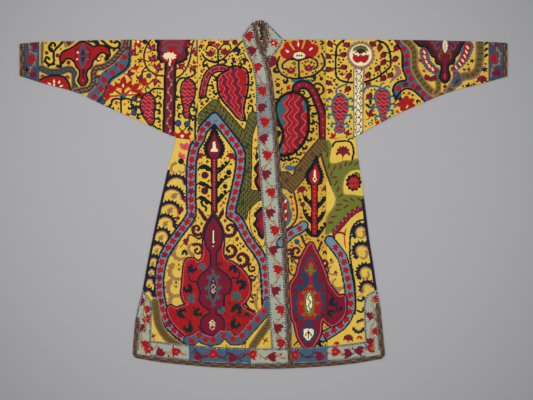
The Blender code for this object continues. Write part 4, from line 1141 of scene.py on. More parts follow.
    # band by the cuff
    chain_band([(480.0, 39.5), (480.0, 50.0), (479.4, 60.0), (477.4, 69.4), (472.4, 75.0), (464.0, 76.6), (457.0, 80.0), (452.6, 85.6), (449, 92)],
               5.4, "olive", "mauve", "crimson", 5.6, 82, 1.8, 1.5, 1.6)
    fill(flow([(453.0, 71.6), (458.4, 72.0), (462.0, 78.6), (461.0, 84.4), (455.4, 87.6), (450.8, 86.4), (452.4, 79.0)], closed=True), "slate")
    stroke(flow([(453.0, 71.6), (458.4, 72.0), (462.0, 78.6), (461.0, 84.4), (455.4, 87.6), (450.8, 86.4), (452.4, 79.0)], closed=True), 1.0, "mauve", closed=True)
    stroke([(455.4, 83.6), (458.2, 80.2)], 1.9, "maroon"); stroke([(454.6, 76.4), (456.2, 74.4)], 1.4, "rose")
    for v in (43.0, 49.0, 55.0):
        disc(486.4, v, 1.5, "black"); disc(485.2, v + 1.6, 1.1, "black")
    star(484.4, 69.6, 4.0, "navy", 6, 0.5, 10); star(471.8, 61.0, 2.8, "black", 5, 0.5, 20)
    fill([(468.6, 66.8), (470.6, 69.4), (468.6, 72.0), (466.6, 69.4)], "crimson")
    carnation(481.8, 80.4, 5.2, "crimson", 0); lily(468.0, 86.2, 3.2, "black", 10)
    for u, v, s, ink, turn in ((466.0, 90.4, 2.8, "crimson", 20), (474.0, 84.6, 2.6, "red", 200), (419.8, 60.6, 2.4, "crimson", 60)):
        lily(u, v, s, ink, turn)


# ---------------------------------------------------------------- left front, above
def petal_edge(points, ink="maroon", width=1.3):
    line(points, width, ink)


def left_front_upper():
    # flower tree by the sleeve seam
    line([(218.4, 67.4), (218.3, 50.5)], 2.1, "black")
    line([(218.3, 51.0), (216.2, 47.4), (212.4, 45.6), (208.0, 45.6), (206.4, 49.4)], 1.6, "black")
    line([(218.3, 51.0), (221.6, 46.2), (225.0, 44.4), (229.6, 44.8), (231.2, 49.0)], 1.6, "black")
    fill([(208.0, 41.0), (215.6, 41.0), (215.0, 44.6), (208.0, 44.4)], "crimson")
    fill([(222.6, 40.6), (229.6, 40.6), (229.0, 43.6), (223.2, 43.8)], "crimson")
    outlined([(217.6, 42.0), (219.8, 45.0), (217.6, 48.2), (215.4, 45.0)], "red", "pink", 0.6)
    disc(217.6, 42.4, 1.1, "cream")
    for pts in ([(218.0, 62.0), (212.4, 61.8), (207.6, 60.0), (204.2, 57.2), (202.0, 53.8)],):
        path = flow(pts); stroke(path, 2.6, "black", taper=0.7)
    line([(206.0, 60.0), (203.4, 62.6), (203.4, 65.4), (206.0, 65.8), (207.2, 63.6)], 1.9, "black", 0.8)
    path = flow([(218.2, 61.8), (223.6, 58.6), (228.4, 54.0), (234.0, 49.4), (242.0, 41.4)]); stroke(path, 1.9, "black")
    palm(236.6, 51.4, 4.4, "navy", 100); disc(239.2, 50.2, 1.7, "black")
    palm(224.6, 61.2, 3.2, "navy", 130)
    for u, v, s, ink, turn in ((210.6, 52.6, 4.8, "crimson", 172), (225.0, 51.0, 4.8, "crimson", 186)):
        carnation(u, v, s, ink, turn); disc(u + (2.6 if turn < 180 else -2.6), v - 1.4, 1.0, "pink")
    line([(218.3, 54.0), (214.6, 53.4), (212.6, 55.4)], 0.9, "olive"); line([(218.3, 55.4), (221.2, 54.0), (222.2, 51.8)], 0.9, "olive")
    disc(235.0, 42.6, 2.9, "crimson"); disc(233.4, 59.3, 2.1, "maroon"); disc(228.8, 59.5, 0.9, "black"); disc(221.8, 64.2, 1.3, "red")
    lily(245.4, 60.0, 4.0, "purple", 200, False, False)
    line([(245.0, 56.6), (243.4, 53.6), (240.6, 54.6)], 1.4, "maroon"); line([(245.4, 64.2), (242.0, 64.4), (240.0, 61.6)], 1.4, "maroon")
    line([(236.4, 59.6), (239.6, 61.0), (242.0, 59.6)], 0.8, "maroon")
    lily(201.2, 46.0, 3.0, "crimson", 160, False, False)
    # stem of the great fruit
    path = flow([(229.6, 71.6), (226.4, 69.4), (220.0, 68.4), (214.0, 69.6), (209.2, 73.4), (206.0, 79.0), (204.2, 86.0), (202.6, 95.0)])
    rim_stem = path
    stroke(path, 8.2, "black"); stroke(path, 4.6, "crimson"); stroke(offset(path, 1.9), 0.7, "pink"); stroke(offset(path, -1.9), 0.7, "pink")
    repeat(path, 4.4, lambda u, v, turn, n: disc(u, v, 0.8, "red" if n % 2 else "mauve", 1.5))
    fruit = flow([(232.0, 68.4), (240.0, 68.8), (245.2, 71.6), (246.6, 78.0), (246.2, 88.0), (244.4, 96.0), (242.6, 104.0), (242.0, 112.0), (243.4, 118.8),
                  (238.0, 115.6), (231.6, 108.0), (225.0, 100.6), (220.6, 93.0), (219.2, 84.6), (220.0, 77.6), (224.4, 74.0), (229.4, 71.8)], closed=True)
    rim = np.vstack([fruit, offset(rim_stem, 3.0), offset(rim_stem, -3.0)])
    stroke(fruit, 6.0, "black", closed=True); stroke(fruit, 1.5, "pink", closed=True)
    striped(fruit, "pink", 0.5, [(0.0, "red"), (0.22, "crimson"), (0.40, "red"), (0.58, "crimson"), (0.82, "red")],
            [0.20, 0.40, 0.58, 0.80], "pink", 9.0, 1.4, 0.75, 0.22)
    line([(242.6, 117.6), (246.6, 121.4), (250.6, 118.4), (252.6, 112.0), (252.2, 106.6), (249.2, 106.0), (248.2, 109.4)], 2.0, "black")
    for u, v, turn, flip, s in (
            (207.0, 66.4, -20, True, 2.8), (215.0, 77.6, 60, False, 2.7), (212.6, 86.4, 80, False, 2.7), (213.4, 94.2, 100, False, 2.8),
            (208.4, 100.6, 150, False, 2.6), (200.2, 99.4, -150, True, 2.0), (252.0, 71.0, 60, True, 2.7), (252.4, 84.6, 80, True, 2.7),
            (251.6, 98.2, 95, True, 2.6), (214.6, 101.4, -160, True, 2.4), (232.8, 119.6, -170, True, 0.1), (233.0, 64.0, 150, False, 2.8),
            (240.8, 63.6, -70, True, 2.2)):
        hook(rim, u, v, s * 1.15, "black", flip)
    # olive bands: a chevron and an arm that meet over the column
    leg_left = [(214.9, 104.4), (208.4, 110.6), (199.6, 119.4)]
    leg_right = [(214.9, 104.4), (224.0, 114.6), (235.0, 127.0), (246.4, 140.4)]
    arm = [(253.2, 116.4), (251.4, 124.0), (247.6, 136.0), (246.8, 150.0), (247.0, 164.0), (246.6, 178.0), (246.0, 191.0)]
    for path in (leg_left, leg_right, arm):
        stroke(path, 10.6, "maroon")
    foot = [(241.4, 186.0), (250.4, 190.4), (261.6, 191.6), (261.6, 202.2), (254.4, 203.8), (247.6, 210.4), (246.0, 219.0), (237.6, 213.0), (236.0, 204.0)]
    stroke(foot, 2.4, "maroon", closed=True)
    for path in (leg_left, leg_right, arm):
        stroke(path, 8.0, "olive")
    fill(foot, "olive")
    fill([(214.9, 98.9), (219.8, 104.6), (214.9, 108.6), (210.0, 104.6)], "olive")
    for u, v, s in ((247.0, 146.0, 3.4), (247.2, 171.0, 3.0), (226.0, 117.6, 2.6), (242.6, 203.0, 3.4), (206.4, 112.6, 2.4)):
        leaf(u, v, s, "forest", 20, slim=0.5)
    for path, lean in ((leg_left, 62), (leg_right, 48), (arm, -44)):
        p = np.array(path, float)
        q, run = along(p)
        for n in range(int(run[-1] / 2.3)):
            u, v, du, dv = at(q, run, 1.5 + n * 2.3)
            side = (2.2, -2.0)[n % 2]
            stroke(place([(0, 1.2), (0, -1.2)], u + dv * side, v - du * side, 1.0, math.degrees(math.atan2(dv, du)) + 90 + lean), 1.25, "maroon")
    hatched(foot, 14, "maroon", (4.2, 4.8), 1.3, 1.15)
    # strip of cut flowers by the band
    for u, v in ((256.6, 150.0), (257.2, 158.4)):
        spray(u, v, 3.0, "black", 10)
    fill(flow([(262.0, 160.0), (255.6, 164.0), (253.6, 170.0), (256.6, 174.6), (254.0, 180.0), (256.4, 187.6), (262, 190.0)], closed=True), "black")
    fill(flow([(262.0, 163.4), (258.4, 166.4), (257.0, 170.6), (259.2, 175.4), (257.2, 180.6), (258.8, 185.4), (262, 187.0)], closed=True), "red")
    leaf(256.6, 156.0, 4.0, "black", 10, slim=0.36)
    outlined(flow([(253.8, 205.6), (250.4, 212.0), (250.2, 222.0), (252.4, 232.0), (258.0, 240.6), (264, 244), (264, 203)], closed=True), "yellow", "maroon", 0.9)
    fill(flow([(264.0, 208.0), (257.4, 209.6), (253.6, 214.6), (256.0, 219.0), (252.8, 224.0), (256.4, 229.4), (258.4, 236.0), (264, 238)], closed=True), "black")
    fill(flow([(264.0, 211.4), (259.6, 212.4), (256.8, 216.0), (258.8, 220.0), (256.2, 224.6), (259.2, 228.6), (261.0, 233.4), (264, 234.6)], closed=True), "crimson")
    fill(flow([(264.0, 216.0), (261.2, 219.0), (260.6, 225.0), (264, 230.0)], closed=True), "red")
    for u, v, s, ink, turn in ((258.6, 104.0, 3.4, "crimson", 150), (258.4, 128.6, 0.1, "crimson", 40), (250.4, 99.4, 0.1, "red", 0)):
        carnation(u, v, s, ink, turn)


# ---------------------------------------------------------------- left front, below
def sky_ribbon_left():
    right = [(214.6, 117.4), (222.6, 127.0), (231.0, 138.0), (238.6, 148.6), (240.8, 155.0), (240.6, 164.0), (238.4, 178.0), (234.8, 194.0), (231.4, 208.0),
             (230.8, 214.8), (236.4, 218.6), (240.6, 224.0), (245.2, 234.0), (251.4, 244.0), (258.4, 252.6), (263.4, 262.0), (265.4, 275.0), (266.4, 292.0),
             (266.6, 303.0)]
    left = [(214.6, 117.4), (208.6, 123.6), (202.6, 130.2), (200.0, 139.0), (194.6, 147.6), (191.8, 160.0), (191.2, 176.0), (191.2, 196.0), (191.6, 214.6),
            (188.0, 221.0), (179.6, 232.0), (170.6, 244.4), (164.6, 254.6), (161.0, 266.0), (159.2, 280.0), (159.6, 293.0), (162.0, 306.0), (165.6, 317.6),
            (169.6, 325.2), (176.4, 331.8), (183.6, 337.4), (189.6, 342.0)]
    for path in (left, right):
        stroke(path, 11.2, "navy")
    for path in (left, right):
        stroke(path, 7.2, "sky")
    left, right = flow(left), flow(right)
    repeat(left[4:], 7.9, lambda u, v, turn, n: blob(u, v, 3.6, "red" if n % 3 else "crimson", turn + 10, n % 2 == 0))
    repeat(right[4:], 7.9, lambda u, v, turn, n: blob(u, v, 3.4, "red", turn + 10, n % 2 == 1))


def lamp_left():
    lamp(214.3, 126.0, 159.4, 214.0, 3.4, 9.8, "black", "crimson", "pink", "cream", 2.6)
    for pts, side in (([(212.0, 172.6), (209.4, 168.0), (205.4, 165.4), (200.8, 166.0), (198.2, 170.4)], 1),
                      ([(212.0, 189.0), (207.8, 185.6), (203.6, 182.8), (200.4, 182.2), (197.4, 184.4)], 1),
                      ([(212.0, 204.6), (207.4, 200.4), (203.0, 197.0), (200.0, 196.8), (197.2, 199.4)], 1),
                      ([(216.6, 173.2), (221.4, 170.0), (226.2, 165.2), (229.8, 160.8)], 1),
                      ([(216.6, 188.2), (220.6, 183.6), (225.0, 179.0), (230.2, 176.6)], 1),
                      ([(216.6, 203.4), (220.8, 199.0), (224.8, 194.6), (229.2, 190.8)], 1)):
        bough(pts, "black", 1.8, 2.0, side, 3)
    dots([(205.0, 175.2, 3.2), (204.8, 191.0, 3.2)], "maroon", ring="crimson", width=0.5)
    for u, v, r in ((228.8, 172.4, 2.8), (225.2, 186.4, 2.5)):
        disc(u, v, r, "black"); disc(u - 1.2, v - 3.6, 0.6, "black"); disc(u + 1.2, v - 3.6, 0.6, "black")
    line([(201.4, 201.6), (202.6, 205.4), (206.0, 207.2), (205.8, 210.6)], 2.4, "black")
    carnation(200.8, 156.6, 4.0, "crimson", -30); carnation(231.0, 157.0, 4.4, "crimson", 24)
    fill(flow([(197.0, 207.4), (202.0, 210.6), (206.4, 217.0), (209.0, 221.0), (204.6, 221.0), (200.4, 215.0)], closed=True, per=4), "maroon")
    fill(flow([(223.0, 208.6), (224.2, 213.0), (221.4, 218.0), (218.0, 220.6), (218.6, 215.0)], closed=True, per=4), "maroon")
    stroke([(223.4, 208.0), (219.4, 220.0)], 1.4, "maroon")


def left_field():
    # red field with the tall medallion in it
    field = flow([(213.5, 217.0), (208.8, 222.4), (205.2, 230.0), (204.2, 240.0), (204.4, 250.0), (202.8, 259.0), (197.6, 262.4), (193.6, 259.4), (188.6, 259.6), (185.4, 264.0),
                  (183.8, 278.0), (182.4, 292.0), (184.6, 300.6), (189.6, 303.6), (182.6, 306.6), (176.6, 308.6), (169.8, 306.4), (168.6, 312.6),
                  (174.6, 324.0), (189.0, 336.6), (193.6, 333.4), (197.6, 330.2), (203.4, 334.4), (210, 335.8),
                  (217.0, 334.9), (221.0, 330.0), (228.0, 329.2), (233.8, 334.8), (238.6, 333.2),
                  (247.0, 323.4), (254.0, 315.3), (250.0, 312.6), (243.6, 308.6), (241.4, 304.4), (246.0, 299.4), (249.3, 292.0), (249.2, 284.0),
                  (246.4, 276.4), (240.0, 269.0), (232.0, 263.0), (225.6, 260.6), (222.4, 255.0), (222.4, 248.0), (222.8, 240.0), (221.8, 230.0), (218.2, 222.4)], closed=True, per=4)
    fill([(213.5, 208.6), (221.6, 223.0), (205.4, 223.0)], "maroon"); stroke(field, 5.4, "maroon", closed=True); stroke(field, 1.6, "pink", closed=True)
    fill(field, "red"); fill([(213.5, 213.6), (218.6, 223.0), (208.4, 223.0)], "red")
    # ogive above
    top = flow([(213.5, 218.6), (218.4, 224.4), (221.4, 231.0), (221.8, 239.0), (219.6, 247.0), (216.0, 252.0), (215.6, 262.0), (216.0, 270.6),
                (211.0, 270.6), (211.4, 262.0), (211.0, 252.0), (207.4, 247.0), (205.4, 239.0), (205.8, 231.0), (208.8, 224.4)], closed=True)
    fill([(213.5, 213.2), (219.0, 225.0), (208.0, 225.0)], "navy"); outlined(top, "crimson", "navy", 1.8)
    fill([(213.5, 216.6), (217.0, 225.0), (210.0, 225.0)], "crimson")
    fill(flow([(213.5, 229.6), (215.4, 233.0), (215.2, 240.0), (213.5, 248.6), (211.6, 240.0), (211.6, 233.0)], closed=True, per=4), "maroon")
    stroke([(213.4, 231.0), (213.4, 242.6)], 1.6, "cream"); disc(213.0, 246.2, 0.8, "cream")
    # body of the medallion
    body = [(211.0, 266.0), (208.6, 269.4), (201.0, 276.0), (198.0, 281.6), (199.0, 286.4), (201.4, 292.6), (199.8, 299.4), (203.0, 305.0), (208.8, 308.8),
            (210.4, 309.0), (210.4, 314.2), (204.6, 316.4), (201.4, 321.4), (201.8, 328.0), (206.6, 333.6), (213.2, 334.6), (219.4, 333.6), (223.6, 328.0),
            (223.6, 321.4), (220.6, 316.4), (215.4, 314.2), (215.4, 309.0), (218.6, 308.8), (223.4, 304.6), (223.4, 294.4), (229.0, 292.0), (231.0, 286.0),
            (230.0, 279.4), (225.6, 274.4), (218.4, 269.8), (216.0, 266.0)]
    stroke(body, 3.4, "navy", closed=True)
    fill(body, "crimson"); fill([(211.8, 258.0), (215.2, 258.0), (215.8, 272.0), (211.2, 272.0)], "crimson")
    fill([(211.6, 306.0), (214.4, 306.0), (214.4, 318.0), (211.6, 318.0)], "crimson")
    ring = flow([(213.3, 273.6), (216.6, 280.0), (217.6, 287.6), (216.6, 295.6), (213.3, 302.4), (210.0, 295.6), (209.0, 287.6), (210.0, 280.0)], closed=True)
    stroke(ring, 1.7, "teal", closed=True)
    for s in (-1, 1):
        for du, dv, turn in ((3.6, -9.6, 40), (5.6, 0.2, 90), (4.6, 8.6, 130)):
            spray(213.3 + s * du, 287.6 + dv, 2.7, "teal", s * turn)
    spray(213.3, 272.0, 2.4, "teal", 0); spray(213.3, 304.0, 2.7, "teal", 180)
    fill(flow([(213.3, 278.6), (215.7, 284.0), (215.7, 292.0), (213.3, 298.4), (210.9, 292.0), (210.9, 284.0)], closed=True, per=4), "maroon")
    outlined([(213.3, 284.4), (215.0, 287.0), (213.3, 289.6), (211.6, 287.0)], "maroon", "cream", 0.5)
    stroke([(211.6, 290.6), (213.3, 292.8), (215.0, 290.6)], 0.9, "cream"); disc(213.3, 281.2, 0.6, "cream")
    for v in (321.2, 324.0):
        stroke([(209.8, v + 1.6), (212.3, v - 1.2), (214.8, v + 1.6)], 1.0, "cream")
    outlined([(212.3, 325.0), (214.4, 327.2), (212.3, 329.6), (210.2, 327.2)], "crimson", "cream", 0.5)
    # branches and curled leaves in the field
    for pts in ([(198.6, 284.0), (195.6, 281.6), (190.6, 281.0), (188.6, 275.0), (189.0, 266.0)],
                [(229.6, 280.0), (233.6, 277.6), (238.0, 278.0), (239.6, 273.0), (236.0, 268.0)]):
        line(pts, 1.5, "navy")
    for u, v, s, ink, turn, flip in (
            (192.0, 268.4, 4.6, "navy", 160, True), (188.6, 288.0, 5.4, "navy", 200, False), (220.0, 264.2, 2.8, "navy", 20, False),
            (232.6, 268.6, 4.8, "navy", 80, False), (241.8, 285.0, 6.0, "navy", 10, True), (201.6, 266.8, 4.2, "teal", 70, False),
            (191.8, 299.0, 4.8, "teal", -30, False), (235.6, 296.6, 5.6, "teal", 60, False), (222.0, 309.6, 3.8, "teal", 200, False),
            (181.6, 313.8, 5.8, "forest", -20, False), (197.4, 311.6, 5.2, "forest", 190, True), (189.2, 327.2, 5.6, "forest", 200, False),
            (235.8, 308.8, 6.2, "forest", 70, False), (246.2, 315.2, 3.2, "forest", 60, False), (234.4, 323.4, 6.0, "forest", 170, True)):
        palm(u, v, s, {"forest": "green"}.get(ink, ink), turn, flip)
    disc(220.2, 263.4, 1.0, "red")
    for pts in ([(184.6, 316.6), (189.0, 320.6), (191.6, 322.0)], [(241.6, 317.4), (236.6, 314.8), (231.0, 318.4)], [(224.0, 312.6), (229.0, 316.0)]):
        line(pts, 1.0, "maroon")
    for u, v, s, ink, turn in ((205.4, 301.6, 0.1, "red", 0), (193.4, 307.6, 2.0, "maroon", -60), (229.6, 303.6, 2.0, "maroon", 60), (199.4, 327.0, 2.0, "maroon", 10),
                               (228.4, 324.0, 2.0, "crimson", -10), (222.6, 296.4, 0.1, "red", 0)):
        tulip(u, v, s, ink, turn)


def left_ground():
    """What lies on the yellow between the red field and the blue ribbon."""
    for u, v, s, turn in ((178.6, 254.0, 8.0, 0), (175.6, 273.6, 8.6, 0), (173.6, 290.4, 8.8, 0), (175.0, 304.0, 7.0, -10)):
        crescent(u, v, s, "tan", turn)
    crescent(192.0, 248.6, 6.0, "tan", 150, True); crescent(194.4, 226.0, 5.0, "tan", 30)
    for u, v in ((179.0, 267.0), (176.2, 284.6)):
        outlined([(u, v - 3.4), (u + 2.0, v), (u, v + 3.4), (u - 2.0, v)], "gold", "tan", 0.5)
        disc(u, v - 2.0, 0.9, "maroon"); disc(u, v + 2.0, 1.0, "maroon")
    palm(184.0, 252.6, 3.6, "black", 60); line([(185.4, 254.0), (187.4, 257.4)], 0.8, "black")
    stroke(flow([(186.6, 244.0), (184.4, 240.6), (187.6, 238.6), (189.6, 234.6), (194.0, 236.0)]), 3.0, "crimson", taper=0.5)
    disc(186.4, 240.6, 2.6, "crimson"); line([(184.6, 243.0), (180.4, 247.2)], 1.0, "red")
    for u, v, s, turn, flip in (
            (229.4, 230.0, 6.6, 40, False), (229.6, 251.0, 6.6, 30, False), (241.0, 260.0, 7.4, 30, False), (197.4, 249.0, 5.4, 150, True),
            (197.6, 230.0, 5.4, -40, True), (252.0, 267.6, 4.0, 150, False), (252.2, 279.0, 3.6, 20, True), (253.4, 298.0, 4.2, 30, False)):
        scroll(u, v, s, "maroon", turn, flip, 0.54)
    line([(223.6, 237.6), (226.0, 236.2), (228.6, 236.6)], 3.0, "maroon"); line([(223.0, 257.6), (231.0, 262.4), (241.0, 270.0), (248.6, 277.0)], 2.0, "maroon")
    line([(249.0, 278.0), (253.8, 280.6), (256.2, 275.6)], 2.6, "maroon", 0.5); line([(203.4, 236.0), (199.0, 238.6), (195.0, 236.6)], 2.8, "maroon", 0.6)
    line([(246.0, 304.0), (250.0, 309.0), (255.0, 310.8)], 3.0, "maroon", 0.5)
    disc(237.6, 245.0, 1.0, "black")
    for pts in ([(257.6, 262.0), (259.6, 268.6), (258.0, 276.0), (260.2, 284.0), (257.6, 292.0), (256.6, 300.0), (257.6, 310.0)],
                [(259.4, 281.0), (255.6, 284.6), (256.4, 289.0), (260.0, 290.0)], [(257.0, 296.0), (254.6, 302.0), (256.4, 308.0)]):
        line(pts, 1.8, "tan")
    outlined([(255.6, 284.0), (257.6, 287.0), (255.6, 290.0), (253.8, 287.0)], "gold", "tan", 0.5); disc(254.6, 286.0, 1.0, "maroon")
    for u, v, s, ink, turn in ((247.0, 240.0, 0.1, "crimson", 30), (243.4, 246.0, 2.4, "maroon", 30), (255.0, 256.6, 2.6, "maroon", 60)):
        tulip(u, v, s, ink, turn)


def left_foot():
    """The steel ribbon that closes the foot of the left field, and the corners below it."""
    path = [(188.6, 340.0), (193.4, 339.8), (198.4, 335.4), (204.0, 339.0), (210.6, 341.0), (217.6, 339.6), (222.0, 334.6), (227.6, 334.4),
            (232.4, 340.0), (240.4, 339.6), (247.0, 332.0), (253.6, 324.6), (260.2, 317.0), (266.8, 309.6), (268.4, 302.0)]
    stroke(path, 11.0, "maroon"); stroke(path, 8.4, "steel")
    stroke(offset(np.array(path, float), 4.3), 0.8, "pink")
    for u, v, turn in ((191.6, 340.6, 100), (199.2, 335.0, 200), (205.8, 339.4, 80), (213.2, 340.0, 10), (223.6, 335.4, 190), (232.6, 338.8, 90),
                       (242.2, 335.6, 50), (249.6, 327.6, 220), (257.8, 319.2, 40), (264.4, 311.4, 210)):
        blob(u, v, 3.4, "red", turn)
    for pts in ([(155.2, 302.0), (156.2, 310.0), (158.4, 322.9), (163.9, 333.6), (171.0, 340.6), (180.0, 346.4)],
                [(252.6, 346.4), (258.6, 337.6), (265.4, 328.0), (271.0, 319.4)]):
        path = flow(pts)
        stroke(path, 8.6, "tan"); stroke(path, 6.4, "olive")
        repeat(path, 3.0, lambda u, v, turn, n: stroke(place([(0, 1.9), (0, -1.9)], u, v, 1.0, turn + 66), 1.1, "crimson"))
    for u, v, turn in ((153.6, 337.2, -20), (264.8, 341.4, 30), (244.6, 344.6, -20)):
        spray(u, v, 3.2, "crimson", turn)
    dots([(199.4, 343.4, 0.1), (222.5, 343.4, 0.1)], "yellow")


# ---------------------------------------------------------------- left gore
def gore_left_design():
    for u, v, s, turn in ((184.6, 148.6, 6.4, 20), (179.6, 157.0, 5.0, 60)):
        for k in (-52, 0, 52):
            fill(place(flow([(0, -1.0), (0.34, -0.6), (0.30, -0.1), (0, 0.3), (-0.30, -0.1), (-0.34, -0.6)], closed=True, per=4),
                       u + 1.6 * math.sin(math.radians(turn + k)), v, s, turn + k), "pink")
        fill(place(flow([(0, -0.7), (0.16, -0.3), (0, 0.1), (-0.16, -0.3)], closed=True, per=4), u, v, s, turn), "rose")
    disc(181.2, 161.4, 3.0, "black"); disc(181.2, 161.4, 1.4, "green"); line([(183.0, 163.6), (186.0, 165.4)], 1.1, "black")
    line([(188.6, 147.4), (190.6, 141.4), (188.0, 138.0)], 1.6, "pink")
    for u, v, s, turn, flip in ((174.0, 168.4, 5.0, 40, False), (182.6, 170.0, 4.4, 20, True), (186.6, 178.0, 3.6, 20, False), (168.6, 173.0, 3.4, -30, False)):
        crescent(u, v, s, "tan", turn, flip)
    path = flow([(166.6, 172.0), (164.4, 190.0), (160.6, 210.6), (153.8, 236.0), (148.6, 262.8), (144.6, 284.0), (143.0, 296.0)])
    for pts in ([(165.6, 182.6), (171.0, 177.4), (177.4, 176.2), (183.4, 178.6), (185.6, 184.0)],
                [(164.0, 190.8), (170.0, 187.8), (177.0, 188.8), (181.6, 192.6), (183.4, 199.0)],
                [(161.6, 205.0), (168.0, 202.4), (174.4, 203.6), (178.6, 207.6), (180.0, 213.0)],
                [(158.4, 218.0), (164.4, 215.4), (170.4, 216.8), (174.0, 221.0), (174.8, 226.6)],
                [(155.6, 231.4), (161.0, 229.2), (166.2, 230.4), (169.4, 234.6), (169.6, 240.0)],
                [(152.2, 245.0), (157.0, 242.8), (161.6, 244.4), (164.4, 248.4), (164.0, 253.0)],
                [(149.6, 258.0), (153.8, 255.8), (157.8, 257.8), (159.8, 261.6), (158.8, 265.6)],
                [(147.8, 269.4), (151.8, 267.4), (155.6, 269.6), (156.6, 273.4)],
                [(145.6, 279.4), (149.6, 277.0), (153.8, 279.0), (154.8, 283.4)],
                [(143.6, 291.6), (147.8, 289.2), (152.0, 291.2), (153.4, 296.0)]):
        scallop(pts, 3.0, "navy", 3.1, 2.6, 1, "tan", 1.2)
    for u, v, s, turn in ((175.0, 195.6, 4.6, 40), (170.6, 210.2, 4.6, 34), (166.0, 223.6, 4.2, 30), (161.4, 237.6, 3.9, 28), (157.0, 250.6, 3.4, 24),
                          (153.2, 263.4, 3.0, 20), (150.8, 274.0, 2.6, 16), (149.0, 285.6, 2.6, 12), (147.0, 297.0, 2.6, 10)):
        paisley(u, v, s, "tan", turn + 10, False, "mauve")
    for u, v, s in ((181.0, 209.6, 2.9), (178.0, 218.2, 2.1)):
        disc(u, v, s, "crimson"); line([(u, v - s), (u + 1.0, v - s - 2.4)], 1.0, "crimson")
    lily(184.6, 200.8, 2.6, "red", 30, False, False)
    gore_edge("left")


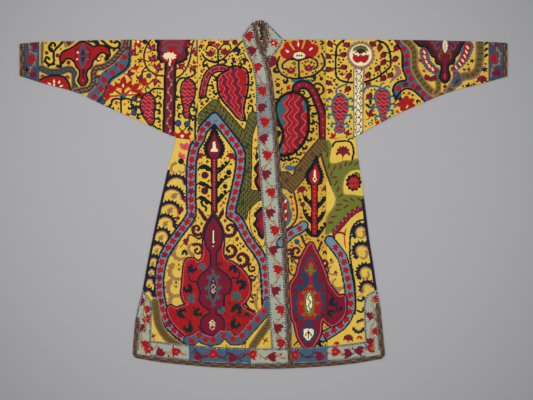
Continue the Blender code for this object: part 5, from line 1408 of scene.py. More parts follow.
# ---------------------------------------------------------------- right front
def right_front_upper():
    # fan flower over the bowl of branches
    fill(flow([(268, 56), (275.8, 57.0), (276.2, 63.6), (272.0, 67.0), (268, 66)], closed=True), "crimson")
    for turn, r in ((-72, 20.0), (-46, 20.0), (-20, 17.6), (8, 17.6), (34, 19.6), (62, 22.0)):
        fill(place(flow([(0, -1.0), (0.30, -0.72), (0.26, -0.2), (0.10, 0), (-0.10, 0), (-0.26, -0.2), (-0.30, -0.72)], closed=True, per=4),
                   299, 57, r, turn), "red")
    for turn in (-34, 20):
        stroke(place([(0, -0.5), (0, -0.92)], 299, 57, 18, turn), 1.6, "yellow")
    for u, v, turn in ((287.4, 51.6, -50), (310.8, 49.2, 50), (298.4, 44.4, 0)):
        fill(place([(0, -1.4), (0.5, 0.2), (0, 1.2), (-0.5, 0.2)], u, v, 2.2, turn), "cream")
    outlined(flow([(293.4, 55.8), (296.6, 52.6), (302.2, 52.6), (305.2, 55.8), (302.2, 59.2), (296.6, 59.2)], closed=True), "cream", "crimson", 1.0)
    dots([(297.0, 55.8, 0.9), (299.4, 55.8, 0.9), (301.8, 55.8, 0.9)], "dark")
    line([(299.0, 60.0), (299.0, 80.0)], 2.2, "navy")
    line([(299.0, 61.0), (290.4, 59.2), (283.4, 63.2), (282.4, 68.0), (286.0, 69.6)], 2.0, "navy")
    line([(299.0, 61.0), (308.6, 57.6), (316.0, 60.4), (317.8, 66.0), (314.0, 69.0)], 2.0, "navy")
    line([(279.4, 57.0), (277.2, 64.0), (279.9, 72.6), (287.6, 77.6), (299.0, 78.4), (311.6, 76.0), (321.3, 69.8), (324.9, 62.6), (321.6, 53.6)], 2.2, "navy")
    for u, v, s, turn in ((276.4, 71.0, 3.8, -60), (286.2, 81.0, 3.4, -140), (313.0, 78.0, 3.8, 130), (324.4, 71.6, 2.8, 120)):
        palm(u, v, s, "navy", turn)
    fill([(290.6, 79.6), (311.4, 79.6), (309.6, 82.6), (292.4, 82.6)], "teal")
    for u, v, s, turn in ((291.0, 69.6, 4.6, 172), (308.8, 67.2, 4.8, 186)):
        carnation(u, v, s, "crimson", turn, "pink")
    dots([(277.8, 84.9, 2.3), (278.0, 92.2, 1.9), (321.3, 78.8, 2.0)], "black")
    dots([(277.8, 84.9, 0.9), (321.3, 78.8, 0.8)], "red")
    line([(312.0, 86.6), (317.0, 83.6), (322.6, 86.4), (323.2, 92.2), (318.6, 94.8), (314.6, 92.4)], 2.2, "black")
    disc(318.4, 89.2, 2.0, "crimson")
    # stem of the great fruit
    path = flow([(295.6, 94.0), (296.6, 87.6), (302.4, 84.6), (309.2, 86.8), (314.0, 93.4), (317.8, 102.6), (321.4, 112.4), (322.8, 124.0), (323.2, 141.0)])
    rim_stem = path
    stroke(path, 9.4, "black"); stroke(path, 5.0, "crimson")
    repeat(path, 3.9, lambda u, v, turn, n: disc(u, v, 1.0, "red" if n % 2 else "rose", 1.2))
    fruit = flow([(291.6, 93.8), (299.0, 95.6), (304.0, 101.0), (306.6, 110.0), (307.0, 120.0), (306.6, 131.0), (303.0, 140.6), (297.0, 148.0),
                  (290.0, 153.0), (278.6, 153.6), (282.0, 145.4), (284.4, 136.0), (283.4, 127.6), (279.0, 119.0), (277.2, 108.0), (281.6, 98.6)], closed=True)
    rim = np.vstack([fruit, offset(rim_stem, 3.6), offset(rim_stem, -3.6)])
    stroke(fruit, 6.2, "black", closed=True)
    striped(fruit, "black", 2.3, [(0.0, "teal"), (0.20, "red"), (0.34, "crimson"), (0.48, "red"), (0.66, "crimson"), (0.84, "red")],
            [0.26, 0.42, 0.62, 0.88], "pink", 13.0, 2.3, 0.8, -0.06)
    stroke([(276.6, 124.0), (283.0, 130.6), (284.2, 138.0), (281.6, 144.0), (277.0, 146.6)], 1.8, "black")
    fill(flow([(303.4, 100.0), (306.0, 104.6), (305.8, 112.0), (303.4, 108.6)], closed=True), "teal")
    palm(278.6, 134.0, 4.0, "black", -10, True)
    for u, v, turn, flip, s in (
            (302.4, 91.8, 40, False, 2.3), (309.4, 98.0, 60, True, 2.7), (311.4, 106.4, 80, True, 2.8), (312.8, 114.6, 90, True, 2.8),
            (312.6, 122.8, 100, True, 2.8), (311.8, 131.4, 112, True, 2.8), (308.8, 140.0, 128, True, 2.9), (303.6, 147.6, 142, True, 2.9),
            (297.8, 153.6, 156, True, 2.9), (289.6, 158.0, 168, True, 2.8), (282.0, 158.6, 168, True, 2.8), (317.4, 123.4, -80, True, 2.2),
            (275.0, 99.6, -60, True, 2.2), (316.6, 112.6, -80, False, 2.0)):
        hook(rim, u, v, s * 1.18, "black", flip)
    line([(284.0, 158.0), (289.4, 160.6), (295.0, 158.0), (300.4, 160.4)], 1.6, "black")
    fill(toothed(flow([(285.0, 167.6), (288.0, 165.0), (291.0, 166.2), (295.6, 166.4), (295.6, 169.6), (291.0, 170.4), (286.6, 170.0)], closed=True), 2.4, 0.8,
                 closed=True), "steel")
    for u, v, s, ink, turn in ((326.0, 129.0, 2.6, "crimson", 60), (325.8, 117.6, 2.4, "red", 100), (325.4, 104.6, 2.6, "crimson", 60)):
        tulip(u, v, s, ink, turn)


def right_lamp():
    # ogive round the smaller lamp
    path = flow([(294.0, 193.0), (295.6, 200.0), (297.2, 210.0), (296.4, 218.6), (292.0, 225.6), (286.0, 230.4)])
    stroke(path, 2.0, "maroon")
    lamp(314.4, 157.0, 186.0, 236.6, 3.5, 8.4, "black", "red", "pink", None, 4.4, 1.6)
    fill([(314.8, 169.0), (316.0, 172.4), (315.4, 177.0), (317.2, 179.6), (314.6, 182.4), (312.2, 179.6), (314.0, 177.0), (313.6, 172.4)], "cream")
    disc(314.7, 179.4, 0.9, "maroon")
    for pts, side in (([(311.6, 206.6), (308.6, 203.0), (305.0, 200.2), (303.0, 194.6)], -1),
                      ([(311.6, 223.0), (307.0, 218.4), (304.0, 213.0), (303.0, 207.0)], -1),
                      ([(311.6, 236.0), (308.0, 233.0), (305.6, 228.6), (304.6, 223.6)], -1),
                      ([(317.0, 208.0), (321.0, 204.6), (324.6, 200.6), (326.6, 195.0)], 1),
                      ([(317.0, 223.0), (320.6, 219.6), (323.4, 215.4), (325.0, 210.6)], 1),
                      ([(317.0, 236.6), (320.6, 232.6), (324.0, 227.6), (328.4, 221.6)], 1)):
        bough(pts, "black", 1.7, 1.9, side, 3)
    disc(302.6, 204.4, 2.6, "maroon"); disc(302.6, 204.4, 1.5, "crimson")
    carnation(302.0, 190.4, 4.8, "crimson", -14); carnation(327.2, 190.0, 4.8, "crimson", 14); carnation(330.0, 203.4, 3.6, "crimson", 20)
    fill(flow([(279.0, 193.4), (285.6, 196.0), (289.4, 202.0), (290.0, 208.0), (292.4, 214.0), (290.6, 221.0), (286.4, 226.4), (279, 228.0)], closed=True), "steel")
    fill(flow([(279.0, 197.4), (284.4, 199.0), (287.4, 204.0), (286.4, 209.0), (289.4, 214.0), (287.2, 220.0), (283.6, 223.4), (279, 224.0)], closed=True), "red")
    for v in (201.0, 211.4, 219.6):
        leaf(285.6, v, 1.9, "cream", 30, slim=0.5)
    path = [(303.4, 225.6), (298.6, 229.6), (292.0, 232.6), (286.0, 238.0), (281.0, 243.0)]
    stroke(path, 10.6, "green"); stroke(path, 7.4, "sky")
    for u, v, turn in ((299.4, 228.6, 60), (291.0, 233.6, 240), (284.6, 239.6, 60)):
        blob(u, v, 3.3, "red", turn)


def right_field():
    ribbon_path = [(329.6, 240.6), (336.6, 249.0), (342.2, 257.0), (345.0, 266.0), (347.4, 277.0), (349.6, 289.0), (350.4, 300.0),
                   (350.2, 309.0), (346.6, 318.6), (340.4, 325.8), (332.0, 331.4), (323.0, 336.6)]
    stroke(ribbon_path, 11.0, "black"); stroke(ribbon_path, 8.0, "sky")
    stroke([(322.0, 333.0), (327.0, 341.6)], 1.6, "black")
    repeat(flow(ribbon_path)[3:], 8.4, lambda u, v, turn, n: blob(u, v, 3.5, "red", turn + 6, n % 2 == 0))
    shape = flow([(310.8, 243.6), (314.4, 250.6), (318.6, 257.6), (321.6, 265.0), (325.4, 274.6), (327.6, 282.6), (333.0, 290.4), (338.4, 296.4), (344.4, 296.6),
                  (345.0, 305.0), (344.6, 313.0), (339.6, 320.4), (332.0, 325.0), (326.6, 321.6), (322.6, 318.4), (320.6, 323.0), (320.0, 332.0), (316.0, 341.0),
                  (311.4, 346.6), (305.2, 346.6), (299.4, 338.6), (297.0, 330.6), (295.4, 323.0), (292.4, 316.6), (291.6, 302.0), (290.8, 285.8), (296.6, 276.0),
                  (300.0, 263.6), (304.2, 254.0)], closed=True, per=4)
    stroke(shape, 5.6, "maroon", closed=True); stroke(shape, 1.8, "pink", closed=True)
    fill(shape, "crimson")
    zone = flow([(311.0, 253.4), (315.4, 262.0), (317.6, 271.0), (321.0, 279.0), (324.0, 287.0), (325.4, 299.0), (323.4, 311.0), (318.4, 318.6),
                 (311.2, 321.6), (311.2, 324.6), (316.0, 328.6), (315.8, 335.0), (312.0, 341.4), (307.6, 343.0), (303.2, 340.4), (300.8, 333.4),
                 (302.8, 327.4), (307.0, 324.6), (306.2, 321.6), (299.0, 318.6), (294.6, 311.0), (293.4, 299.0), (294.6, 287.0), (299.6, 280.0),
                 (301.4, 270.0), (305.6, 261.0)], closed=True, per=4)
    fill(zone, "deep")
    for u, v, s, turn in ((300.4, 281.6, 3.6, 30), (319.6, 280.6, 3.6, -20), (296.4, 291.4, 3.0, 60), (322.4, 290.6, 2.6, -40), (296.4, 314.4, 2.6, 0),
                          (322.0, 313.0, 2.4, 0)):
        fill(place(flow([(0, -1.0), (0.8, -0.5), (0.7, 0.6), (0, 1.0), (-0.8, 0.5), (-0.6, -0.5)], closed=True, per=3), u, v, s, turn), "crimson")
    # red vase and its heart
    core = lobed(309.2, 303.0, 1.0, 10, 0.14)
    core = np.column_stack([309.4 + (core[:, 0] - 309.2) * 13.0, 303.4 + (core[:, 1] - 303.0) * 17.0])
    fill(core, "red")
    fill(flow([(310.8, 256.6), (313.6, 262.0), (316.2, 268.4), (313.4, 274.0), (312.0, 279.0), (313.2, 288.0), (308.0, 288.0), (309.4, 279.0), (307.4, 274.0),
               (304.4, 268.4), (308.0, 262.0)], closed=True, per=4), "red")
    fill(flow([(310.6, 262.6), (312.8, 266.0), (312.6, 271.4), (310.4, 276.0), (308.4, 271.4), (308.6, 266.0)], closed=True, per=3), "grass")
    stroke([(305.2, 270.6), (315.6, 270.6)], 1.0, "grass"); line([(308.6, 287.0), (310.0, 285.0), (312.0, 287.0)], 0.9, "grass")
    ring = flow([(309.2, 290.4), (312.6, 295.0), (314.0, 303.0), (312.6, 311.6), (309.2, 316.0), (305.8, 311.6), (304.6, 303.0), (305.8, 295.0)], closed=True)
    fill(toothed(ring, 2.8, 1.2, closed=True, side=1), "grass"); fill(toothed(ring, 2.8, 1.2, closed=True, side=-1), "grass")
    for s in (-1, 1):
        for du, dv, turn in ((4.6, -9.6, 40), (7.0, 0.0, 90), (4.8, 10.6, 140)):
            spray(309.4 + s * du, 303.0 + dv, 2.3, "grass", s * turn)
    outlined(flow([(309.2, 292.6), (311.8, 298.0), (312.2, 304.6), (309.2, 312.8), (306.2, 304.6), (306.4, 298.0)], closed=True, per=4), "cream", "green", 0.6)
    stroke([(309.4, 294.6), (307.6, 298.4), (310.6, 302.0), (308.0, 306.0), (310.4, 309.0), (309.0, 311.0)], 1.1, "maroon")
    # lower plaque
    fill(flow([(304.4, 329.0), (312.6, 329.0), (313.4, 334.0), (308.6, 340.6), (304.2, 336.8), (303.6, 332.0)], closed=True, per=4), "cream")
    stroke([(308.4, 330.6), (308.2, 338.6)], 1.1, "maroon"); stroke([(305.6, 334.6), (308.4, 331.4), (311.4, 334.6)], 1.0, "maroon")
    dots([(305.8, 335.4, 0.7), (311.0, 335.4, 0.7)], "dark")
    # leaves in the crimson lobe
    palm(332.6, 301.4, 5.0, "navy", 190, True); line([(335.4, 305.0), (337.6, 310.6), (342.0, 308.6)], 1.4, "navy"); disc(340.4, 307.4, 1.5, "navy")
    palm(330.4, 313.4, 4.6, "green", 0); palm(322.6, 315.6, 2.2, "maroon", 30); leaf(296.0, 319.6, 2.4, "maroon", 60)
    line([(328.0, 291.0), (331.0, 294.4), (332.0, 297.4)], 1.2, "maroon")


def inside_at(shape, u, v, margin):
    """Whether a place is inside an outline, clear of it by a margin."""
    p = np.asarray(shape)
    x, y = p[:, 0], p[:, 1]
    xb, yb = np.roll(x, -1), np.roll(y, -1)
    crosses = (y > v) != (yb > v)
    with np.errstate(divide="ignore", invalid="ignore"):
        at_ = x + (v - y) * (xb - x) / (yb - y)
    odd = np.count_nonzero(crosses & (u < at_)) % 2 == 1
    return odd and np.hypot(x - u, y - v).min() > margin


def right_ground():
    fill([(326.0, 263.0), (333.0, 258.0), (339.6, 270.0), (344.0, 286.0), (344.6, 296.4), (338.8, 296.6), (333.0, 290.0), (328.0, 281.0)], "lemon")
    for u, v, s, turn, flip in ((331.0, 271.4, 4.6, 10, False), (335.6, 284.0, 5.6, 120, True), (341.6, 292.0, 5.2, 60, False)):
        crescent(u, v, s, "tan", turn, flip)
    disc(331.0, 260.0, 1.4, "crimson"); disc(331.6, 261.6, 2.2, "tan"); disc(331.2, 259.6, 1.4, "crimson"); disc(335.6, 272.2, 1.6, "crimson"); disc(336.0, 274.6, 1.6, "tan")
    palm(324.4, 252.8, 2.5, "black", 60); palm(292.6, 261.0, 2.5, "black", 0)
    for u, v, s, turn, flip in ((297.0, 252.6, 6.0, -40, True), (289.6, 253.4, 4.2, -30, False), (322.6, 262.6, 5.6, 120, False)):
        scroll(u, v, s, "maroon", turn, flip, 0.52)
    for pts in ([(301.0, 235.6), (303.6, 241.6), (306.6, 247.0)], [(321.6, 241.6), (319.0, 247.6), (317.0, 253.4)]):
        path = flow(pts); stroke(path, 2.0, "maroon"); fill(np.vstack([toothed(offset(path, 0.8), 2.2, 1.5), path[::-1]]), "maroon")
    line([(288.4, 258.0), (288.0, 266.0), (290.6, 274.0), (294.4, 275.4), (292.4, 280.0)], 1.8, "maroon")
    line([(301.6, 262.0), (297.6, 264.4), (294.0, 261.0)], 2.2, "maroon", 0.6); line([(325.0, 274.0), (328.4, 271.0), (327.0, 266.0)], 1.6, "maroon", 0.6)
    disc(296.8, 241.6, 2.8, "blue"); line([(298.6, 244.0), (300.6, 247.0), (302.4, 247.4)], 1.2, "maroon")
    line([(289.6, 318.0), (291.0, 330.0), (290.0, 341.0)], 3.0, "sky"); stroke([(294.0, 345.0), (298.4, 340.6)], 1.6, "black")
    for u, v, s, ink, turn in ((289.6, 334.6, 2.2, "red", -30), (290.0, 324.0, 2.2, "red", -150)):
        tulip(u, v, s, ink, turn)
    palm(320.6, 344.0, 4.2, "black", -20); line([(318.0, 336.6), (320.6, 340.0)], 1.3, "black")
    carnation(348.4, 338.6, 4.6, "crimson", 6); carnation(336.6, 343.6, 2.6, "red", 6); carnation(359.6, 338.0, 2.6, "red", 10, "cream")


def gore_right_design():
    # flower under its arch, and the rosette, over the olive field
    fill(flow([(330.4, 162.4), (331.0, 151.0), (334.0, 144.6), (342.6, 140.2), (351.0, 142.4), (354.4, 150.0), (354.0, 159.4), (345, 160.4), (338, 162.4)], closed=True), "yellow")
    line([(332.6, 146.4), (334.6, 142.6), (340.0, 141.2), (348.6, 141.4), (352.4, 145.6), (353.6, 152.0), (352.2, 159.4)], 2.0, "black")
    line([(347.4, 141.2), (349.6, 138.6), (353.0, 138.4)], 1.6, "black")
    carnation(343.0, 152.4, 6.4, "crimson", 0); line([(342.6, 157.0), (342.6, 161.0)], 0.8, "crimson")
    fill(flow([(344.6, 193.6), (343.6, 184.0), (345.6, 177.0), (350.6, 171.6), (358.0, 170.0), (362.6, 176.0), (364.6, 194.4), (353.0, 194.4)], closed=True, per=4), "yellow")
    fill(lobed(353.6, 182.4, 8.2, 11, 0.18, 0.0, 1.1), "black"); fill(lobed(353.8, 182.8, 5.8, 8, 0.20, 0.3, 1.1), "red")
    line([(354.6, 176.0), (355.4, 173.0), (358.8, 174.0), (359.4, 178.0)], 1.4, "black")
    for u, v in ((351.6, 180.4), (355.4, 180.0), (353.6, 184.0), (350.8, 186.4), (356.4, 186.6)):
        outlined([(u, v - 1.2), (u + 1.2, v), (u, v + 1.2), (u - 1.2, v)], "crimson", "pink", 0.4)
    path = flow([(361.4, 209.0), (354.6, 212.6), (349.0, 217.6), (344.0, 223.6), (338.6, 229.6), (333.4, 235.0)])
    stroke(path, 4.2, "crimson", taper=0.8)
    repeat(path, 5.4, lambda u, v, turn, n: (fill(place(flow([(0, -1.0), (0.6, -0.5), (0.55, 0.5), (0, 0.9), (-0.55, 0.5), (-0.6, -0.5)], closed=True, per=3),
                                                        u - 1.2, v - 1.2, 3.4, turn - 70), "crimson"),
                                             fill(place([(0, -0.7), (0.24, 0.0), (0, 0.6), (-0.24, 0.0)], u - 0.8, v - 0.8, 2.6, turn - 70), "rose")))
    line([(345.6, 229.6), (344.4, 238.0), (345.6, 248.0)], 2.2, "rose", 0.5); line([(344.6, 234.0), (339.6, 232.4), (334.6, 234.6), (334.4, 238.4)], 2.2, "crimson", 0.7)
    # scallops down the side
    line([(364.6, 219.6), (358.4, 221.0), (353.0, 226.0), (350.4, 234.0), (349.8, 244.0), (350.0, 256.0), (352.0, 268.0), (354.6, 284.0), (355.6, 300.0), (355.0, 314.0)], 1.9, "black")
    for pts in ([(366.8, 227.6), (361.4, 224.6), (356.0, 226.6), (353.4, 231.6), (354.6, 237.0)],
                [(369.4, 246.8), (363.4, 243.4), (356.6, 244.8), (353.6, 250.8), (356.4, 257.8)],
                [(372.4, 268.2), (366.4, 264.8), (360.4, 266.8), (357.6, 272.6), (360.0, 278.6)],
                [(374.2, 285.6), (369.4, 282.0), (363.4, 282.6), (360.6, 287.0), (361.6, 291.4)]):
        scallop(pts, 3.2, "navy", 3.2, 2.8, -1, "tan", 1.6)
    for v in (299.6, 310.6):
        line([(357.6, v), (361.0, v + 1.2), (364.4, v - 1.6)], 2.2, "navy"); spray(362.6, v - 1.4, 2.2, "navy", 30)
    scallop([(353.0, 328.0), (356.6, 331.6), (361.0, 331.4), (363.6, 328.4)], 2.2, "navy", 2.8, 1.6, -1, "tan", 1.0)
    scallop([(356.6, 322.0), (360.0, 320.4), (363.4, 319.4)], 1.8, "navy", 2.8, 1.4, 1, "tan", 1.0)
    line([(358.0, 297.0), (363.0, 293.6), (362.0, 289.0)], 1.2, "tan")
    for u, v, s, turn in ((361.4, 235.4, 4.2, -24), (363.8, 255.4, 4.6, -20), (365.6, 276.0, 4.2, -16)):
        crescent(u, v, s, "tan", turn + 30, True)
    path = flow([(362.6, 203.0), (364.4, 219.0), (368.2, 242.4), (371.8, 264.0), (375.0, 285.4), (376.4, 292.0)])
    gore_edge("right")


# ---------------------------------------------------------------- borders
def border_flowers(rows, heart=None):
    for u, v, s, ink, turn in rows:
        carnation(u, v, s, ink, turn, heart)


def dotted_edges(left, right, y0, y1, inset=5.0, vertical=True, ink="maroon", light="cream", back=None):
    """A fine line of dark and light dots down each side of a border."""
    for f, by in ((left, inset), (right, -inset)):
        if vertical:
            y = np.linspace(y0, y1, 160)
            path = plan(f(y) + by, y)
        else:
            x = np.linspace(y0, y1, 160)
            path = plan(x, f(x) + by)
        stroke(path, 1.5, back or "cuff")
        p, run = along(path)
        for n in range(int(run[-1] / 1.25)):
            u, v, du, dv = at(p, run, n * 1.25)
            disc(u, v, 0.42, light if n % 2 else ink)


def meander(rows, ink="tan", width=1.1, twig=2.6):
    """A thin wandering vine with small twigs."""
    path = flow(rows)
    stroke(path, width, ink)
    p, run = along(path)
    side = 1
    s = 4.0
    while s < run[-1] - 3:
        u, v, du, dv = at(p, run, s)
        stroke(flow([(u, v), (u + dv * side * twig * 0.6 + du * 1.0, v - du * side * twig * 0.6 + dv * 1.0),
                     (u + dv * side * twig + du * 2.6, v - du * side * twig + dv * 2.6)], per=3), width * 0.85, ink)
        side = -side
        s += 5.0


def band_design():
    """The left front border, collar to hem."""
    centre = [(249.8, 30.0), (251.4, 44.0), (255.0, 58.0), (259.4, 72.0), (262.0, 90.0), (263.0, 110.0), (264.0, 130.0), (265.4, 150.0),
              (267.8, 172.0), (270.6, 195.0), (273.2, 222.0), (275.4, 250.0), (277.4, 275.0), (279.0, 305.0), (280.2, 335.0), (281.0, 352.0)]
    spots = [(249.4, 35.8, "red"), (251.4, 50.6, "crimson"), (257.6, 67.0, "red"), (261.8, 90.6, "red"), (262.0, 107.4, "crimson"),
             (264.4, 121.6, "red"), (264.0, 138.0, "crimson"), (266.8, 154.9, "red"), (266.6, 174.0, "crimson"), (270.6, 192.2, "red"),
             (270.6, 212.7, "crimson"), (274.4, 229.8, "red"), (273.8, 249.6, "crimson"), (277.4, 269.0, "red"), (276.0, 290.4, "crimson"),
             (280.2, 309.3, "red"), (278.6, 327.5, "crimson"), (280.6, 342.8, "red")]
    y = np.linspace(-560, 560, 300)
    # ground: pale, bluer in one stretch
    stretch = region(strip(band_seam_left, band_edge_left, 200, 400))
    global mask
    kept = mask
    mask = stretch if kept is None else stretch & kept
    fill(plan(np.array([-60, 60, 60, -60]), np.array([215, 215, 400, 400])), "mist")
    mask = kept
    vine_ = []
    for n in range(len(spots) - 1):
        (u0, v0, _), (u1, v1, _) = spots[n], spots[n + 1]
        s = 1 if n % 2 else -1
        vine_ += [(u0 + s * 3.6, v0 + 2.0), ((u0 + u1) / 2 + s * 0.6, (v0 + v1) / 2), (u1 - s * 3.8, v1 - 2.4)]
    meander(vine_, "tan", 1.1, 2.6)
    line([(spots[n][0] + (4.6 if n % 2 else -4.6), spots[n][1] + 0.6) for n in range(1, len(spots))], 0.9, "mauve")
    for n, (u, v, ink) in enumerate(spots):
        s = 1 if n % 2 else -1
        turn = 62 * s + (8 if n % 3 else -10)
        bell(u, v, 5.0, ink, turn, n % 2 == 0)
        disc(u + s * 4.6, v + 5.2, 0.9, "olive"); disc(u - s * 4.0, v - 5.0, 0.8, "maroon")
    dotted_edges(band_seam_left, left_inner, -560, 615, 4.4)


def collar_right_design():
    carnation(273.2, 43.4, 4.4, "red", 30, "cream")
    meander([(266.6, 30.6), (269.6, 34.6), (271.4, 38.6), (277.0, 41.6), (280.2, 47.6), (276.6, 52.6), (272.8, 57.0), (270.0, 64.0)], "tan", 1.1, 2.2)
    tulip(276.4, 51.0, 2.2, "crimson", 160); tulip(268.6, 35.6, 2.0, "crimson", -20)
    dotted_edges(right_inner, band_seam_right, 470, 615, 4.0)


def hem_design():
    """Pale and slate stretches by turns, with flowers and a vine."""
    def stretch(x0, x1, ink):
        fill(between(x0, x1, lambda x: hem_line(x) + TRIM - 8, lambda x: hem_line(x) + TRIM + HEM_BAND + 1), ink)
    stretch(-268, -44, "steel"); stretch(103, 231, "steel")
    flowers = [(148.6, 349.0, "red", 1), (160.5, 352.5, "crimson", -1), (176.3, 351.6, "red", 1), (198.0, 356.2, "crimson", 1), (213.3, 354.3, "red", -1),
               (232.2, 357.2, "crimson", 1), (253.0, 354.3, "red", -1), (272.5, 357.0, "crimson", 1), (295.2, 354.8, "red", -1),
               (319.3, 356.0, "crimson", 1), (335.4, 351.6, "red", -1), (347.6, 353.0, "crimson", 1), (359.5, 350.2, "crimson", -1), (371.0, 348.0, "red", 1)]
    for x0, x1, ink in ((-405, -268, "tan"), (-268, -44, "maroon"), (-44, 90, "tan"), (103, 231, "maroon"), (231, 366, "tan")):
        x = np.arange(x0 + 8, x1 - 4, 17.0)
        yy = hem_line(x) + TRIM + HEM_BAND / 2 + 11.0 * np.sin(np.arange(len(x)) * 1.7)
        meander([tuple(p) for p in plan(x, yy)], ink, 1.1, 2.4)
    for n, (u, v, ink, s) in enumerate(flowers):
        turn = 24 * s + (180 if n % 3 == 1 else 0)
        bell(u, v, 4.9, ink, turn + (70 if n % 2 else -60), n % 2 == 0)
        if ink == "red":
            disc(u, v, 0.9, "pink")
        if n % 2:
            tulip(u + 8.4, v - 3.0 * s, 2.0, "crimson" if ink == "red" else "red", 60 * s)
    dotted_edges(lambda x: hem_line(x) + TRIM, lambda x: hem_line(x) + TRIM + HEM_BAND, -405, 366, 4.4, vertical=False)


def vent_design():
    for u, v, ink, turn in ((141.0, 301.6, "crimson", 20), (148.0, 309.0, "red", 200), (142.0, 327.5, "crimson", 30), (145.6, 343.6, "red", 190),
                            (147.0, 318.6, "red", 150), (376.0, 299.4, "red", 10), (370.2, 315.4, "crimson", 190), (375.4, 331.4, "red", 20),
                            (369.6, 341.0, "crimson", 170)):
        bell(u, v, 4.3, ink, turn, u > 200)
    meander([(146.6, 294.6), (144.4, 304.0), (143.4, 315.0), (146.8, 324.0), (141.6, 334.0), (141.0, 345.0), (146.0, 352.0)], "tan", 1.1, 2.2)
    meander([(371.4, 294.6), (373.2, 306.0), (374.0, 322.0), (370.6, 330.0), (374.4, 341.0), (372.0, 350.0)], "tan", 1.1, 2.2)
    dotted_edges(lambda y: side_left(y) + TRIM * smooth((SLIT_LEFT - y) / 20), vent_left, -560, -352, 4.0)
    dotted_edges(vent_right, lambda y: side_right(y) - TRIM * smooth((SLIT_RIGHT - y) / 20), -560, -352, 4.0)


def cuff_design():
    meander([(28.7, 42.0), (30.8, 50.8), (35.7, 55.0), (36.0, 60.7), (31.6, 68.0), (28.3, 76.0)], "tan", 1.1, 2.2)
    bell(35.0, 45.6, 3.8, "crimson", 80); bell(31.4, 59.8, 4.4, "red", -20); bell(33.4, 74.2, 3.8, "crimson", 170)
    tulip(28.0, 51.6, 1.8, "red", 0)
    fill(lobed(26.4, 69.4, 2.6, 5, 0.3), "dark")
    meander([(490.4, 42.0), (496.4, 47.3), (499.9, 55.8), (498.2, 63.6), (492.0, 68.0), (491.2, 77.6)], "tan", 1.1, 2.2)
    bell(492.6, 58.6, 4.6, "red", 30); bell(497.0, 73.4, 4.4, "crimson", 20, True); bell(496.0, 45.2, 2.6, "crimson", -20)
    for x0, x1 in ((-862, -806), (810, 866)):
        for x in (x0 + 4.5, x1 - 4.5):
            side = "left" if x < 0 else "right"
            yy = np.linspace(sleeve_under[side](x), sleeve_top[side](x), 60)
            path = plan(np.full(60, x), yy)
            stroke(path, 0.9, "slate")
            p, run = along(path)
            for n in range(int(run[-1] / 1.25)):
                u, v, du, dv = at(p, run, n * 1.25)
                disc(u, v, 0.34, "mauve" if n % 2 else "maroon")


# ---------------------------------------------------------------- the whole front
def work_front():
    global mask
    zones()
    ground = (("sleeve_left", "gold"), ("sleeve_right", "gold"), ("front_left", "gold"), ("front_right", "honey"), ("gore_left", "lemon"),
              ("gore_right", "lemon"), ("cuff_left", "cuff"), ("cuff_right", "cuff"), ("hem", "stone"), ("vents", "stone"), ("band_left", "stone"),
              ("band_right", "stone"))
    canvas[:] = INDEX["gold"]
    neck_slit_shade_and_braid()
    for name, ink in ground:
        canvas[ZONE[name]] = INDEX[ink]
    body_left_zone = ZONE["front_left"] & ~ZONE["hem"]
    INK_SWAP.update({"yellow": "gold"})
    mask = ZONE["sleeve_left"]; sleeve_left_design(); fillers(mask, "yellow", 3, cut_flower, 4.6)
    mask = ZONE["sleeve_right"]; sleeve_right_design(); fillers(mask, "yellow", 5, dark_sprig, 4.4)
    mask = (ZONE["gore_left"] & ~ZONE["hem"] & ~ZONE["vents"]) | (body_left_zone & region([(150, 240), (172, 240), (186, 300), (196, 352), (140, 352)]))
    INK_SWAP["yellow"] = "lemon"; gore_left_design()
    INK_SWAP["yellow"] = "gold"
    mask = (body_left_zone | (ZONE["gore_left"] & ~ZONE["hem"] & ~ZONE["vents"]))
    left_ground()
    mask = body_left_zone; left_front_upper()
    mask = (body_left_zone | (ZONE["gore_left"] & ~ZONE["hem"] & ~ZONE["vents"]))
    sky_ribbon_left(); lamp_left(); left_field(); left_foot()
    fillers(body_left_zone & region([(196, 36), (262, 36), (262, 130), (196, 130)]), "yellow", 7, dark_sprig, 4.0, 1.5)
    fillers(body_left_zone & region([(150, 130), (266, 130), (266, 352), (150, 352)]), "yellow", 8, wine_sprig, 3.4, 1.5)
    INK_SWAP["yellow"] = "honey"
    right_zone = ZONE["front_right"] & ~ZONE["hem"]
    both = right_zone | (ZONE["gore_right"] & ~ZONE["hem"] & ~ZONE["vents"])
    mask = both; right_front_upper(); olive_right()
    mask = right_zone; right_lamp()
    mask = both; right_ground()
    mask = ZONE["gore_right"] & ~ZONE["hem"] & ~ZONE["vents"]; INK_SWAP["yellow"] = "lemon"; gore_right_design()
    INK_SWAP["yellow"] = "honey"
    mask = (right_zone | (ZONE["gore_right"] & ~ZONE["hem"] & ~ZONE["vents"])); right_field()
    fillers(right_zone & region([(262, 36), (330, 36), (330, 172), (262, 172)]), "yellow", 11, dark_sprig, 3.8, 1.5)
    fillers(right_zone & region([(262, 172), (330, 172), (330, 352), (262, 352)]), "yellow", 12, wine_sprig, 3.2, 1.5)
    mask = ZONE["band_right"]; collar_right_design()
    mask = ZONE["hem"]; hem_design()
    mask = ZONE["vents"] & ~ZONE["hem"] | ZONE["vents"]; vent_design()
    mask = ZONE["band_left"] & ~ZONE["hem"] | ZONE["band_left"]; band_design()
    mask = ZONE["cuff_left"] | ZONE["cuff_right"]; cuff_design()
    mask = None


